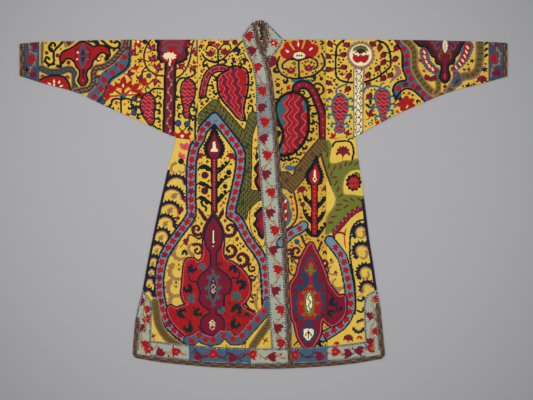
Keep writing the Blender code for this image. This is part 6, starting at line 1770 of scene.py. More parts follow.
# ---------------------------------------------------------------- the back, which nothing in view shows
def work_back():
    """The same motifs, laid out evenly about the back's middle, with the hem border carried round."""
    global canvas, mask
    front = canvas.copy()
    front_left = ZONE["front_left"].copy()
    canvas = front.copy()
    INK_SWAP["yellow"] = "gold"
    half = region(strip(body_left, lambda y: 0 * y + 2.0, -640, 562)) & ~ZONE["hem"]
    canvas[half] = INDEX["gold"]
    mask = half
    left_ground(); left_front_upper()
    mask = half | (ZONE["gore_left"] & ~ZONE["hem"])
    sky_ribbon_left(); lamp_left(); left_field(); left_foot()
    # the collar end of the back's middle
    mask = half
    for n in range(5):
        carnation(259.0, 46.0 + n * 13.5, 4.4, "red" if n % 2 else "crimson", 20 if n % 2 else -30, "cream")
    mask = ZONE["hem"]
    canvas[ZONE["hem"]] = INDEX["stone"]
    hem_design()
    mask = ZONE["vents"] & ~ZONE["hem"]
    canvas[mask] = INDEX["lemon"]
    for v in range(296, 340, 8):
        tulip(140.0 + (v % 3), v, 2.4, "crimson" if v % 16 else "red", v * 7)
    mask = None
    middle = int((MID_U - U0) / STEP)
    turned = canvas[:, middle - 1::-1]
    wide = min(COLS - middle, turned.shape[1])
    body = np.zeros((ROWS, COLS), bool)
    body[:, middle:middle + wide] = True
    sleeve = ZONE["sleeve_right"] | ZONE["cuff_right"]
    take = body & ~sleeve
    mirrored = canvas.copy()
    mirrored[:, middle:middle + wide] = turned[:, :wide]
    canvas = np.where(take, mirrored, canvas)
    done = canvas
    canvas = front
    return done


# ---------------------------------------------------------------- the lie of the cloth
# Soft ridges (height above 0) and troughs, each from one point to another, bowed to one side.
Crease = namedtuple("Crease", "x0 y0 x1 y1 width height bow")
CREASES = [
    # left sleeve
    Crease(-300, 250, -560, 505, 30, 3.4, 18), Crease(-420, 268, -640, 470, 24, -1.6, -12),
    Crease(-470, 300, -690, 500, 26, 2.6, 22), Crease(-620, 350, -800, 500, 22, 2.2, -10),
    Crease(-700, 385, -840, 460, 17, 1.6, 8), Crease(-330, 520, -520, 470, 26, 1.4, 10),
    # left half of the body
    Crease(-322, 150, -352, -330, 26, 2.6, 14), Crease(-262, 120, -300, -420, 20, -1.4, -10),
    Crease(-190, 430, -215, 10, 34, 2.2, -16), Crease(-130, 330, -150, -260, 30, 1.5, 20),
    Crease(-90, 60, -120, -540, 34, 1.8, -18), Crease(-210, -120, -235, -570, 28, 2.0, 12),
    Crease(-300, 205, -150, 330, 22, 1.9, 12), Crease(-160, 530, -60, 420, 26, 1.6, -10),
    # right half of the body
    Crease(312, 150, 350, -320, 26, 2.6, -14), Crease(258, 110, 288, -430, 20, -1.4, 10),
    Crease(178, 440, 196, 0, 34, 2.2, 14), Crease(128, 300, 150, -240, 28, 1.5, -16),
    Crease(200, -90, 232, -560, 28, 2.0, -12), Crease(290, 200, 150, 330, 22, 1.9, -12),
    Crease(150, 530, 70, 440, 24, 1.5, 8),
    # right sleeve
    Crease(292, 250, 560, 500, 30, 3.4, -18), Crease(420, 272, 640, 468, 24, -1.6, 12),
    Crease(480, 308, 690, 498, 26, 2.6, -22), Crease(612, 352, 790, 505, 22, 2.2, 10),
    Crease(700, 388, 838, 462, 17, 1.6, -8), Crease(330, 522, 520, 472, 26, 1.4, -10),
    # hem
    Crease(-330, -500, -345, -596, 18, 1.3, 4), Crease(-150, -520, -160, -612, 20, 1.2, -4),
    Crease(-20, -540, -24, -615, 16, 1.0, 3), Crease(180, -520, 190, -610, 20, 1.2, 4),
    Crease(300, -500, 312, -600, 18, 1.3, -4),
]


def ridges(x, y, rows=CREASES):
    height = np.zeros(np.broadcast(x, y).shape)
    for c in rows:
        length = math.hypot(c.x1 - c.x0, c.y1 - c.y0)
        ux, uy = (c.x1 - c.x0) / length, (c.y1 - c.y0) / length
        t = ((x - c.x0) * ux + (y - c.y0) * uy) / length
        off = (x - c.x0) * uy - (y - c.y0) * ux + c.bow * (1 - (2 * t - 1) ** 2)
        off = off + 3.5 * np.sin(5.0 * t + c.x0 * 0.05)
        ends = smooth(t / 0.35 + 0.35) * smooth((1 - t) / 0.35 + 0.35)
        side = np.where(off > 0, 0.8, 1.25)          # one flank is steeper
        height = height + c.height * ends * np.exp(-((off * side / c.width) ** 2))
    return height


def ripple(x, y):
    """The slight unevenness of heavy stitched cloth."""
    return (0.30 * np.sin(x / 31 + 1.3 * np.sin(y / 67)) * np.sin(y / 43 + 0.6)
            + 0.20 * np.sin(x / 17 + y / 53 + 1.1) * np.sin(y / 23 + 0.9 * np.sin(x / 39))
            + 0.10 * np.sin(x / 8.3 - y / 11.7) * np.sin(y / 9.1 + x / 27))


def drape(x, y):
    """How far the cloth that lies on top rises above its flat lie."""
    x, y = np.broadcast_arrays(np.asarray(x, float), np.asarray(y, float))
    left = x < 0
    seam = np.where(left, x - body_left(y), body_right(y) - x)      # inside the armhole seam
    near = np.minimum(np.minimum(x - side_left(y), side_right(y) - x), y - hem_line(x))
    near = near + np.maximum(0, y - GORE_TOP) * 2
    body = smooth(near / 60) * smooth((SHOULDER - 5 - y) / 40)
    top = np.where(left, sleeve_top["left"](x), sleeve_top["right"](x))
    under = np.where(left, sleeve_under["left"](x), sleeve_under["right"](x))
    cuff = np.where(left, x + 877, 878 - x)
    sleeve = smooth((y - under - 2) / 45) * smooth((top - 2 - y) / 40) * smooth(cuff / 70)
    hole = smooth((y - GORE_TOP - 2) / 45) * smooth((SHOULDER - 2 - y) / 40)
    upper = np.where(seam > 0, hole + (body - hole) * smooth(seam / 70), sleeve)
    gore_fade = smooth((np.where(seam > 0, GORE_TOP + 40 + 0 * y, under) - y) / 45)
    lower = body * np.where(seam > 0, 1.0, gore_fade)
    fade = np.where((y > GORE_TOP) & (seam <= 0), upper, np.where(y > GORE_TOP, upper, lower))
    return (ridges(x, y) + ripple(x, y) * 1.6) * fade


def front_top(x, y):
    near = np.minimum(np.minimum(x - side_left(y), side_right(y) - x), y - hem_line(x))
    near = near + np.maximum(0, y - GORE_TOP)
    air = EDGE_AIR + (AIR - EDGE_AIR) * smooth(near / EDGE_RUN)
    return np.maximum(WALL + air + WALL + drape(x, y), 4.25)


def left_top(x, y):
    ramp = smooth((x - band_seam_left(y) + LIFT_RUN) / LIFT_RUN)
    down = 1 - smooth((y - COLLAR_DOWN[0]) / (COLLAR_DOWN[1] - COLLAR_DOWN[0]))
    return front_top(x, y) + BAND_LIFT * ramp * down


# ---------------------------------------------------------------- meshes
FINE = 2.3          # stitches on what faces up, mm
BORDER = 1.7       # the same on borders
UNDER = 4.4         # on what faces down
EDGE_STEPS = (0.0, 0.35, 1.2)         # rounded edge of a piece


def spacing(length, step):
    """Places across a piece: a distance and a share of the rest for each."""
    inner = max(2, int(round((length - 2 * EDGE_STEPS[-1]) / step)))
    share = np.arange(inner + 1) / inner
    e = EDGE_STEPS[-1]
    a = np.concatenate([EDGE_STEPS[:-1], e - 2 * e * share, -np.array(EDGE_STEPS[:-1])[::-1]])
    b = np.concatenate([np.zeros(len(EDGE_STEPS) - 1), share, np.ones(len(EDGE_STEPS) - 1)])
    return a, b


def lay(left, right, low, high, across, along, step, step_along=None, top_edge=True):
    """A grid of points over a piece of cloth: its x and y, and how far each is from the piece's edges."""
    ca, cb = spacing(across, step)
    ra, rb = spacing(along, step_along or step)
    ca, cb = ca[None, :], cb[None, :]
    ra, rb = ra[:, None], rb[:, None]
    y = np.zeros((len(ra), ca.shape[1])) + (ra + rb * along)
    x = np.zeros_like(y)
    for n in range(14):
        l, r = left(y) + SEAM / 2, right(y) - SEAM / 2
        x = l + ca + cb * (r - l)
        b, t = low(x) + SEAM / 2, high(x) - SEAM / 2
        y = b + ra + rb * (t - b)
    edge = np.minimum(np.minimum(x - l, r - x), np.minimum(y - b, t - y) if top_edge else y - b)
    return x, y, edge


def round_corner(x, y):
    """The two hem corners, turned to a quarter circle."""
    for side, s in ((side_left, 1), (side_right, -1)):
        a = (x - side(y)) * s
        b = y - hem_line(x)
        p, q = CORNER - a, CORNER - b
        inside = (p > 0) & (q > 0)
        m, n = np.maximum(p, q), np.hypot(p, q)
        k = np.where(inside, m / np.maximum(n, 1e-9), 1.0)
        x = np.where(inside, x + s * (p - p * k), x)
        y = np.where(inside, y + (q - q * k), y)
    return x, y


def edge_drop(edge, x, y, radius=1.2, pucker=0.55, reach=5.5):
    """A piece's edge goes down to its seam, unevenly."""
    d = np.clip(edge, 0, radius)
    roll = radius - np.sqrt(np.maximum(0, radius**2 - (radius - d) ** 2))
    gather = 0.65 + 0.35 * np.sin(x / 3.9 + 1.7 * np.sin(y / 21)) * np.sin(y / 4.3 + 1.3 * np.sin(x / 17))
    return roll * 0.9 + pucker * gather * np.exp(-((np.clip(edge, 0, None) / reach) ** 2))


def sample(image, x, y):
    """Thread at each place of the plan, given in mm."""
    c = np.clip(((x / UNIT + MID_U - U0) / STEP).astype(int), 0, COLS - 1)
    r = np.clip(((MID_V - y / UNIT - V0) / STEP).astype(int), 0, ROWS - 1)
    return image[r, c]


THREADS = np.array([INK[n] for n in NAMES]) ** 1.24 * 1.03


def build(name, points, quads, tris, colours, uvs, material):
    """A mesh from arrays: points, corner indices, a colour for each face and a map place for each corner."""
    mesh = bpy.data.meshes.new(name)
    nq, nt = len(quads), len(tris)
    loops = np.concatenate([np.asarray(quads).reshape(-1), np.asarray(tris).reshape(-1)]).astype(np.int32)
    mesh.vertices.add(len(points))
    mesh.vertices.foreach_set("co", (np.asarray(points) * MM).astype(np.float32).reshape(-1))
    mesh.loops.add(len(loops))
    mesh.loops.foreach_set("vertex_index", loops)
    mesh.polygons.add(nq + nt)
    starts = np.concatenate([np.arange(nq) * 4, nq * 4 + np.arange(nt) * 3]).astype(np.int32)
    mesh.polygons.foreach_set("loop_start", starts)
    mesh.polygons.foreach_set("use_smooth", np.ones(nq + nt, bool))
    mesh.update(calc_edges=True)
    layer = mesh.uv_layers.new(name="OFBake")
    layer.data.foreach_set("uv", np.asarray(uvs, np.float32).reshape(-1))
    attribute = mesh.color_attributes.new("thread", "FLOAT_COLOR", "CORNER")
    per = np.concatenate([np.repeat(np.arange(nq), 4), nq + np.repeat(np.arange(nt), 3)])
    rgba = np.ones((len(loops), 4), np.float32)
    rgba[:, :3] = np.asarray(colours, np.float32)[per]
    attribute.data.foreach_set("color", rgba.reshape(-1))
    mesh.validate()
    mesh.materials.append(material)
    thing = bpy.data.objects.new(name, mesh)
    bpy.context.scene.collection.objects.link(thing)
    return thing


def linear(c):
    c = np.asarray(c, float)
    return np.where(c <= 0.04045, c / 12.92, ((c + 0.055) / 1.055) ** 2.4)


LINING = linear((0.46, 0.36, 0.24))


def shell(name, x, y, top, face_colours, material, down=False, floor=0.0):
    """A closed piece of cloth: a fine face, its cut edge all round, and a plain far face.
    down says that the fine face is the one below."""
    nr, nc = x.shape
    if nc > nr:        # the far face is crossed the short way
        face_colours = np.rot90(face_colours.reshape(nr - 1, nc - 1, 3))
        x, y, top = np.rot90(x), np.rot90(y), np.rot90(top)
        nr, nc = nc, nr
    fine = np.column_stack([x.ravel(), y.ravel(), top.ravel()])
    idx = np.arange(nr * nc).reshape(nr, nc)
    quads = np.stack([idx[:-1, :-1], idx[:-1, 1:], idx[1:, 1:], idx[1:, :-1]], -1).reshape(-1, 4)
    loop = np.concatenate([idx[0, :-1], idx[:-1, -1], idx[-1, :0:-1], idx[:0:-1, 0]])
    far = fine[loop].copy()
    far[:, 2] = far[:, 2] + WALL if down else np.maximum(far[:, 2] - WALL + 0.4, floor)
    base = nr * nc
    n = len(loop)
    k = np.arange(n)
    rim = np.stack([loop, base + k, base + (k + 1) % n, np.roll(loop, -1)], -1)
    bottom_row = base + np.arange(nc)                                    # far points of the first row
    right_col = base + (nc - 1) + np.arange(nr)                          # of the last column
    top_row = base + (nc - 1) + (nr - 1) + np.arange(nc)                 # right to left
    left_col = base + (2 * (nc - 1) + (nr - 1) + np.arange(nr)) % n      # top to bottom
    left_up = left_col[::-1]
    ladder = np.stack([left_up[1:-2], left_up[2:-1], right_col[2:-1], right_col[1:-2]], -1)
    fan = [(left_up[1], bottom_row[i + 1], bottom_row[i]) for i in range(nc - 1)]
    fan.append((left_up[1], right_col[1], bottom_row[-1]))
    fan += [(right_col[-2], top_row[i + 1], top_row[i]) for i in range(nc - 1)]
    fan.append((right_col[-2], left_up[-2], top_row[-1]))
    fan = np.array(fan)
    # painted shade: the cut edge all round takes the colour of the face beside it, darkened by 0.8, as shade in the
    # seams between pieces
    rim_colour = face_colours.reshape(nr - 1, nc - 1, 3)
    ring = np.concatenate([rim_colour[0], rim_colour[:, -1], rim_colour[-1, ::-1], rim_colour[::-1, 0]])
    colours = np.concatenate([face_colours.reshape(-1, 3), ring * 0.8,
                              np.tile(LINING, (len(ladder) + len(fan), 1))])
    # map: the fine face fills most of the square, its edges fold out round it, the far face is a strip
    x0, x1, y0, y1 = x.min(), x.max(), y.min(), y.max()
    wide, tall = 0.90, 0.96
    run_u = np.concatenate([[0], np.cumsum(np.hypot(np.diff(x, axis=1), np.diff(y, axis=1)).mean(0))])
    run_v = np.concatenate([[0], np.cumsum(np.sqrt(np.diff(x, axis=0)**2 + np.diff(y, axis=0)**2 + np.diff(top, axis=0)**2).mean(1))])
    uv_fine = np.stack(np.broadcast_arrays(0.02 + run_u[None, :] / run_u[-1] * wide, 0.02 + run_v[:, None] / run_v[-1] * tall),
                       -1).reshape(-1, 2)
    step = np.zeros((n, 2))
    step[:nc - 1] = (0, -1)
    step[nc - 1:nc + nr - 2] = (1, 0)
    step[nc + nr - 2:2 * nc + nr - 3] = (0, 1)
    step[2 * nc + nr - 3:] = (-1, 0)
    uv_a = uv_fine[loop]
    grow = step * 0.006
    uv_rim = np.stack([uv_a, uv_a + grow, np.roll(uv_a, -1, 0) + grow, np.roll(uv_a, -1, 0)], 1)
    uv_far = np.zeros((n, 2))
    share = (fine[loop][:, 0] - x0) / (x1 - x0), (fine[loop][:, 1] - y0) / (y1 - y0)
    uv_far[:, 0] = 0.945 + share[0] * 0.045
    uv_far[:, 1] = 0.02 + share[1] * 0.96
    uv = np.concatenate([uv_fine[quads].reshape(-1, 2), uv_rim.reshape(-1, 2),
                         uv_far[(ladder - base)].reshape(-1, 2), uv_far[(fan - base)].reshape(-1, 2)])
    all_quads = np.concatenate([quads, rim, ladder])
    if down:
        all_quads = all_quads[:, ::-1]
        fan = fan[:, ::-1]
        nq4 = len(all_quads) * 4
        uv = np.concatenate([uv[:nq4].reshape(-1, 4, 2)[:, ::-1].reshape(-1, 2),
                             uv[nq4:].reshape(-1, 3, 2)[:, ::-1].reshape(-1, 2)])
    return build(name, np.concatenate([fine, far]), all_quads, fan, colours, uv, material)


def middles(a):
    return (a[:-1, :-1] + a[:-1, 1:] + a[1:, 1:] + a[1:, :-1]) / 4


def panel(name, left, right, low, high, across, along, top, material, step=None, dress=None, drop=1.0, fold=False):
    """A piece that faces up, coloured by what is worked on the plan there."""
    x, y, edge = lay(left, right, low, high, across, along, step or FINE, top_edge=not fold)
    z = top(x, y) - edge_drop(edge, x, y) * drop
    mx, my = middles(x), middles(y)
    colours = linear(THREADS[sample(canvas, mx, my)])
    if dress is not None:
        colours = dress(x, y, mx, my, colours)
    x, y = round_corner(x, y)
    if fold:                       # goes round the shoulder fold to the back's face
        rows, a = [], np.radians([30, 60, 90, 120, 150, 180])
        rx, ry, rz = x[-1], y[-1], z[-1]
        for k in a:
            rows.append((rx, ry + FOLD_REACH * math.sin(k), rz / 2 * (1 + math.cos(k))))
        rows.append((rx, ry - 3.0, rz * 0))
        x = np.vstack([x] + [r[0][None] for r in rows])
        y = np.vstack([y] + [r[1][None] for r in rows])
        z = np.vstack([z] + [r[2][None] for r in rows])
        extra = np.repeat(colours[-1:], len(rows), 0)
        colours = np.concatenate([colours, extra], 0)
    return shell(name, x, y, z, colours.reshape(-1, 3), material)


def under_panel(name, left, right, low, high, across, along, material, step=None, dress=None):
    """A piece of the back: its fine face is the one that the robe lies on."""
    x, y, edge = lay(left, right, low, high, across, along, step or UNDER)
    z = edge_drop(edge, x, y) * 0.6 + 0.25 * np.maximum(0, ripple(x, y) * 2 - 0.25)
    mx, my = middles(x), middles(y)
    colours = linear(THREADS[sample(canvas_back, mx, my)])
    if dress is not None:
        colours = dress(x, y, mx, my, colours)
    x, y = round_corner(x, y)
    return shell(name, x, y, z, colours.reshape(-1, 3), material, down=True)


def tube(name, side, x_start, x_end, material, step=None, step_under=None, dress=None, inner_step=45.0):
    """A flattened sleeve or cuff piece, from the cuff's side to the body's."""
    step, step_under = step or FINE, step_under or UNDER
    r = FOLD_REACH
    length = abs(x_end - x_start)
    a, b = spacing(length, step)
    xs = x_start + a + b * (x_end - x_start) if x_end > x_start else x_start - a + b * (x_end - x_start)
    edge_x = np.minimum(np.abs(xs - x_start), np.abs(x_end - xs))
    tops, unders = sleeve_top[side](xs), sleeve_under[side](xs)
    widest = (tops - unders).max()
    n_top = int(round(widest / step))
    n_under = int(round(widest / step_under))
    n_fold = 6
    share = np.arange(n_top + 1) / n_top
    X, Y, Z, D = [], [], [], []
    yt = unders[:, None] + r + (tops - unders - 2 * r)[:, None] * share[None, :]
    X.append(np.repeat(xs[:, None], n_top + 1, 1)); Y.append(yt)
    soft = np.minimum(yt - unders[:, None] - r, tops[:, None] - r - yt)
    Z.append(np.maximum(2 * r + drape(X[0], yt), 4.9 - 0.4 * np.exp(-(soft / 14) ** 2)))
    k = np.pi * np.arange(1, n_fold) / n_fold
    ones = np.ones((len(xs), 1))
    X.append(xs[:, None] * np.ones((1, n_fold - 1)))
    Y.append(tops[:, None] - r + r * np.sin(k)[None, :])
    Z.append(ones * (r + r * np.cos(k))[None, :])
    share = np.arange(n_under + 1)[::-1] / n_under
    yu = unders[:, None] + r + (tops - unders - 2 * r)[:, None] * share[None, :]
    X.append(np.repeat(xs[:, None], n_under + 1, 1)); Y.append(yu)
    Z.append(0.25 * np.maximum(0, ripple(X[2], yu) * 2 - 0.25))
    X.append(xs[:, None] * np.ones((1, n_fold - 1)))
    Y.append(unders[:, None] + r - r * np.sin(k)[None, :])
    Z.append(ones * (r - r * np.cos(k))[None, :])
    x, y, z = np.hstack(X), np.hstack(Y), np.hstack(Z)
    drop = edge_drop(edge_x[:, None] * np.ones_like(x), x, y) * np.clip((z - r) / r, -1, 1)
    z = z - np.where(drop < 0, np.maximum(drop, -1.2) * 0.6, drop)
    nr, nc = x.shape
    idx = np.arange(nr * nc).reshape(nr, nc)
    nxt = np.roll(idx, -1, 1)
    quads = np.stack([idx[:-1], idx[1:], nxt[1:], nxt[:-1]], -1)
    if x_end > x_start:
        pass
    else:
        quads = quads[..., ::-1]
    mx = (x[:-1] + x[1:] + np.roll(x, -1, 1)[:-1] + np.roll(x, -1, 1)[1:]) / 4
    my = (y[:-1] + y[1:] + np.roll(y, -1, 1)[:-1] + np.roll(y, -1, 1)[1:]) / 4
    up = np.zeros(nc, bool)
    up[:n_top + n_fold // 2] = True
    up[-(n_fold // 2):] = True
    colours = np.where(up[None, :, None], linear(THREADS[sample(canvas, mx, my)]),
                       linear(THREADS[sample(canvas_back, mx, my)]))
    if dress is not None:
        colours = dress(x, y, mx, my, colours)
    # inner wall: fewer rings, the same points round each
    keep = np.unique(np.concatenate([[0], np.arange(0, nr, max(1, int(inner_step / step))), [nr - 1]]))
    ym = (tops + unders)[:, None] / 2
    half = ((tops - unders) / 2)[:, None]
    yi = ym + (y - ym) * (half - 1.9) / half
    zi = r + (np.clip(z, 0, 5) - r) * 0.22 + np.maximum(0, z - 5) * 0.6
    base = nr * nc
    xi, yi, zi = x[keep], yi[keep], zi[keep]
    ridx = base + np.arange(len(keep) * nc).reshape(len(keep), nc)
    rnxt = np.roll(ridx, -1, 1)
    inner = np.stack([ridx[:-1], rnxt[:-1], rnxt[1:], ridx[1:]], -1)
    cap_a = np.stack([idx[0], nxt[0], rnxt[0], ridx[0]], -1)
    cap_b = np.stack([idx[-1], ridx[-1], rnxt[-1], nxt[-1]], -1)
    if x_end < x_start:
        inner, cap_a, cap_b = inner[..., ::-1], cap_a[..., ::-1], cap_b[..., ::-1]
    points = np.concatenate([np.column_stack([x.ravel(), y.ravel(), z.ravel()]),
                             np.column_stack([xi.ravel(), yi.ravel(), zi.ravel()])])
    # map: unrolled, with the inner wall beside it
    around = np.zeros((nr, nc + 1))
    dy, dz = np.diff(np.hstack([y, y[:, :1]]), axis=1), np.diff(np.hstack([z, z[:, :1]]), axis=1)
    around[:, 1:] = np.cumsum(np.hypot(dy, dz), 1)
    girth = around[:, -1].max()
    U = 0.02 + (x - x.min()) / (x.max() - x.min()) * 0.96
    U = np.hstack([U, U[:, :1]])
    V = 0.02 + around / girth * 0.86
    uv = np.stack([U, V], -1)
    uq = np.stack([uv[:-1, :-1], uv[1:, :-1], uv[1:, 1:], uv[:-1, 1:]], 2)
    kv = 0.90 + np.linspace(0, 1, nc + 1) * 0.08
    ku = 0.06 + (x[keep][:, 0] - x.min()) / (x.max() - x.min()) * 0.86
    iu = np.stack([np.repeat(ku[:, None], nc + 1, 1), np.repeat(kv[None, :], len(keep), 0)], -1)
    ui = np.stack([iu[:-1, :-1], iu[:-1, 1:], iu[1:, 1:], iu[1:, :-1]], 2)
    thin = 0.006 * np.sign(x_start - x_end)
    ua = uv[0]
    ub = uv[-1]
    sa, sb = np.array([thin, 0]), np.array([-thin, 0])
    ca = np.stack([ua[:-1], ua[1:], ua[1:] + sa, ua[:-1] + sa], 1)
    cb = np.stack([ub[:-1], ub[:-1] + sb, ub[1:] + sb, ub[1:]], 1)
    if x_end < x_start:
        uq, ui, ca, cb = uq[:, :, ::-1], ui[:, :, ::-1], ca[:, ::-1], cb[:, ::-1]
    all_quads = np.concatenate([quads.reshape(-1, 4), inner.reshape(-1, 4), cap_a, cap_b])
    uvs = np.concatenate([uq.reshape(-1, 2), ui.reshape(-1, 2), ca.reshape(-1, 2), cb.reshape(-1, 2)])
    # painted shade: the end caps, where a tube meets the next piece, take the colours of its end rings darkened by 0.8,
    # as shade in the seam
    shade = np.concatenate([colours.reshape(-1, 3), np.tile(LINING, (inner.reshape(-1, 4).shape[0], 1)),
                            colours[0] * 0.8, colours[-1] * 0.8])
    return build(name, points, all_quads, np.zeros((0, 3), int), shade, uvs, material)


# ---------------------------------------------------------------- materials
def cloth(name, rough, sheen, stitch, relief, vary=0.10):
    """Coloured thread from the piece's own stitches, with uneven dye, fading and a stitched surface."""
    material = bpy.data.materials.new(name)
    material.use_nodes = True
    tree = material.node_tree
    nodes, links = tree.nodes, tree.links
    shader = nodes["Principled BSDF"]
    shader.inputs["Sheen Weight"].default_value = sheen
    shader.inputs["Sheen Roughness"].default_value = 0.45
    shader.inputs["Specular IOR Level"].default_value = 0.16
    thread = nodes.new("ShaderNodeAttribute")
    thread.attribute_name = "thread"
    place_ = nodes.new("ShaderNodeTexCoord")

    def noise(scale, detail=3.0, roughness=0.6):
        n = nodes.new("ShaderNodeTexNoise")
        n.inputs["Scale"].default_value = scale
        n.inputs["Detail"].default_value = detail
        n.inputs["Roughness"].default_value = roughness
        links.new(place_.outputs["Object"], n.inputs["Vector"])
        return n.outputs["Fac"]

    def math_(op, a, b=None, c=None):
        m = nodes.new("ShaderNodeMath")
        m.operation = op
        for i, value in enumerate((a, b, c)):
            if value is None:
                continue
            if isinstance(value, (int, float)):
                m.inputs[i].default_value = value
            else:
                links.new(value, m.inputs[i])
        return m.outputs[0]

    def ranged(value, low, high):
        m = nodes.new("ShaderNodeMapRange")
        m.inputs["From Min"].default_value = 0.25
        m.inputs["From Max"].default_value = 0.75
        m.inputs["To Min"].default_value = low
        m.inputs["To Max"].default_value = high
        links.new(value, m.inputs["Value"])
        return m.outputs["Result"]

    fine = ranged(noise(620.0, 2.0), 1 - vary, 1 + vary)          # one stitch to the next
    skein = ranged(noise(46.0, 3.0), 1 - vary * 0.8, 1 + vary * 0.8)   # one skein to the next
    wear = ranged(noise(5.5, 4.0), 1 - vary * 0.6, 1 + vary * 0.6)     # handling and light
    worked = math_("MULTIPLY", math_("MULTIPLY", fine, skein), wear)
    split = nodes.new("ShaderNodeSeparateXYZ")
    links.new(place_.outputs["Object"], split.inputs[0])
    k = 2 * math.pi / (stitch * MM)
    sx = math_("SINE", math_("MULTIPLY", math_("ADD", split.outputs["X"], split.outputs["Y"]), k * 0.7071))
    sy = math_("SINE", math_("MULTIPLY", math_("SUBTRACT", split.outputs["X"], split.outputs["Y"]), k * 0.7071))
    crossed = math_("MULTIPLY", sx, sy)
    shade = math_("MULTIPLY", worked, math_("MULTIPLY_ADD", crossed, 0.05, 0.97))
    mix = nodes.new("ShaderNodeMix")
    mix.data_type = "RGBA"
    mix.blend_type = "MULTIPLY"
    mix.inputs["Factor"].default_value = 1.0
    links.new(thread.outputs["Color"], mix.inputs["A"])
    grey = nodes.new("ShaderNodeCombineColor")
    for channel in ("Red", "Green", "Blue"):
        links.new(shade, grey.inputs[channel])
    links.new(grey.outputs["Color"], mix.inputs["B"])
    links.new(mix.outputs["Result"], shader.inputs["Base Color"])
    links.new(ranged(noise(90.0, 3.0), rough - 0.07, rough + 0.07), shader.inputs["Roughness"])
    height = math_("ADD", math_("MULTIPLY", crossed, 0.5), math_("MULTIPLY", noise(900.0, 2.0), 0.6))
    bump = nodes.new("ShaderNodeBump")
    bump.inputs["Strength"].default_value = 0.55
    bump.inputs["Distance"].default_value = relief * MM
    links.new(height, bump.inputs["Height"])
    links.new(bump.outputs["Normal"], shader.inputs["Normal"])
    return material


SILK = cloth("silk_cross_stitch", 0.70, 0.03, 1.5, 0.22)
PALE = cloth("pale_border_stitch", 0.72, 0.04, 1.4, 0.20)
BLUE = cloth("blue_border_stitch", 0.72, 0.03, 1.4, 0.20)
BRAID = cloth("woven_braid", 0.80, 0.05, 1.1, 0.30, 0.14)

# Braid: short slanting picks of several colours between dark selvedges.
PICKS = [linear(c) for c in ((0.30, 0.19, 0.14), (0.58, 0.44, 0.24), (0.25, 0.15, 0.12), (0.42, 0.12, 0.12), (0.30, 0.19, 0.14),
                             (0.28, 0.31, 0.20), (0.20, 0.13, 0.12), (0.66, 0.55, 0.38), (0.36, 0.16, 0.13), (0.22, 0.24, 0.28))]
SELVEDGE = linear((0.15, 0.10, 0.09))
PICKS = np.array(PICKS)


def braid_colours(s, t):
    """s mm along the braid, t its share across."""
    s, t = np.broadcast_arrays(s, t)
    lean = s + 5.0 * np.abs(t - 0.5) * 2 + 0.5 * np.sin(s / 11.0)
    pick = np.floor(lean / 2.6).astype(int)
    half = (t > 0.5).astype(int)
    mixed = (pick * 3 + half * 5 + (pick // 7)) % len(PICKS)
    colours = PICKS[mixed] * 0.72 + PICKS.mean(axis=0) * 0.28
    edge = (np.abs(t - 0.5) > 0.40)[..., None]
    # painted shade: a thin line down the middle, where braid_relief cuts its groove, is made 0.55 darker as shade in
    # that groove
    mid = (np.abs(t - 0.5) < 0.05)[..., None]
    colours = np.where(mid, colours * 0.55, colours)
    return np.where(edge, SELVEDGE, colours)


def braid_relief(s, t):
    dome = 0.55 * np.sin(np.pi * np.clip(t, 0, 1)) ** 0.6
    lean = s + 3.2 * np.abs(t - 0.5) * 2
    return dome + 0.16 * np.abs(np.sin(np.pi * lean / 2.1)) - 0.30 * np.exp(-((t - 0.5) / 0.05) ** 2)


def upright_braid(left, right):
    def dress(x, y, mx, my, colours):
        return braid_colours(my, (mx - left(my)) / (right(my) - left(my)))

    def over(top):
        return lambda x, y: top(x, y) + braid_relief(y, (x - left(y)) / (right(y) - left(y)))
    return dress, over


def level_braid(low, high):
    def dress(x, y, mx, my, colours):
        return braid_colours(mx, (my - low(mx)) / (high(mx) - low(mx)))

    def over(top):
        return lambda x, y: top(x, y) + braid_relief(x, (y - low(x)) / (high(x) - low(x)))
    return dress, over


# ---------------------------------------------------------------- the pieces
canvas_back = None


def along_hem(level):
    return lambda x: row_height(x, level)


def const(value):
    return lambda t: 0 * np.asarray(t, float) + value


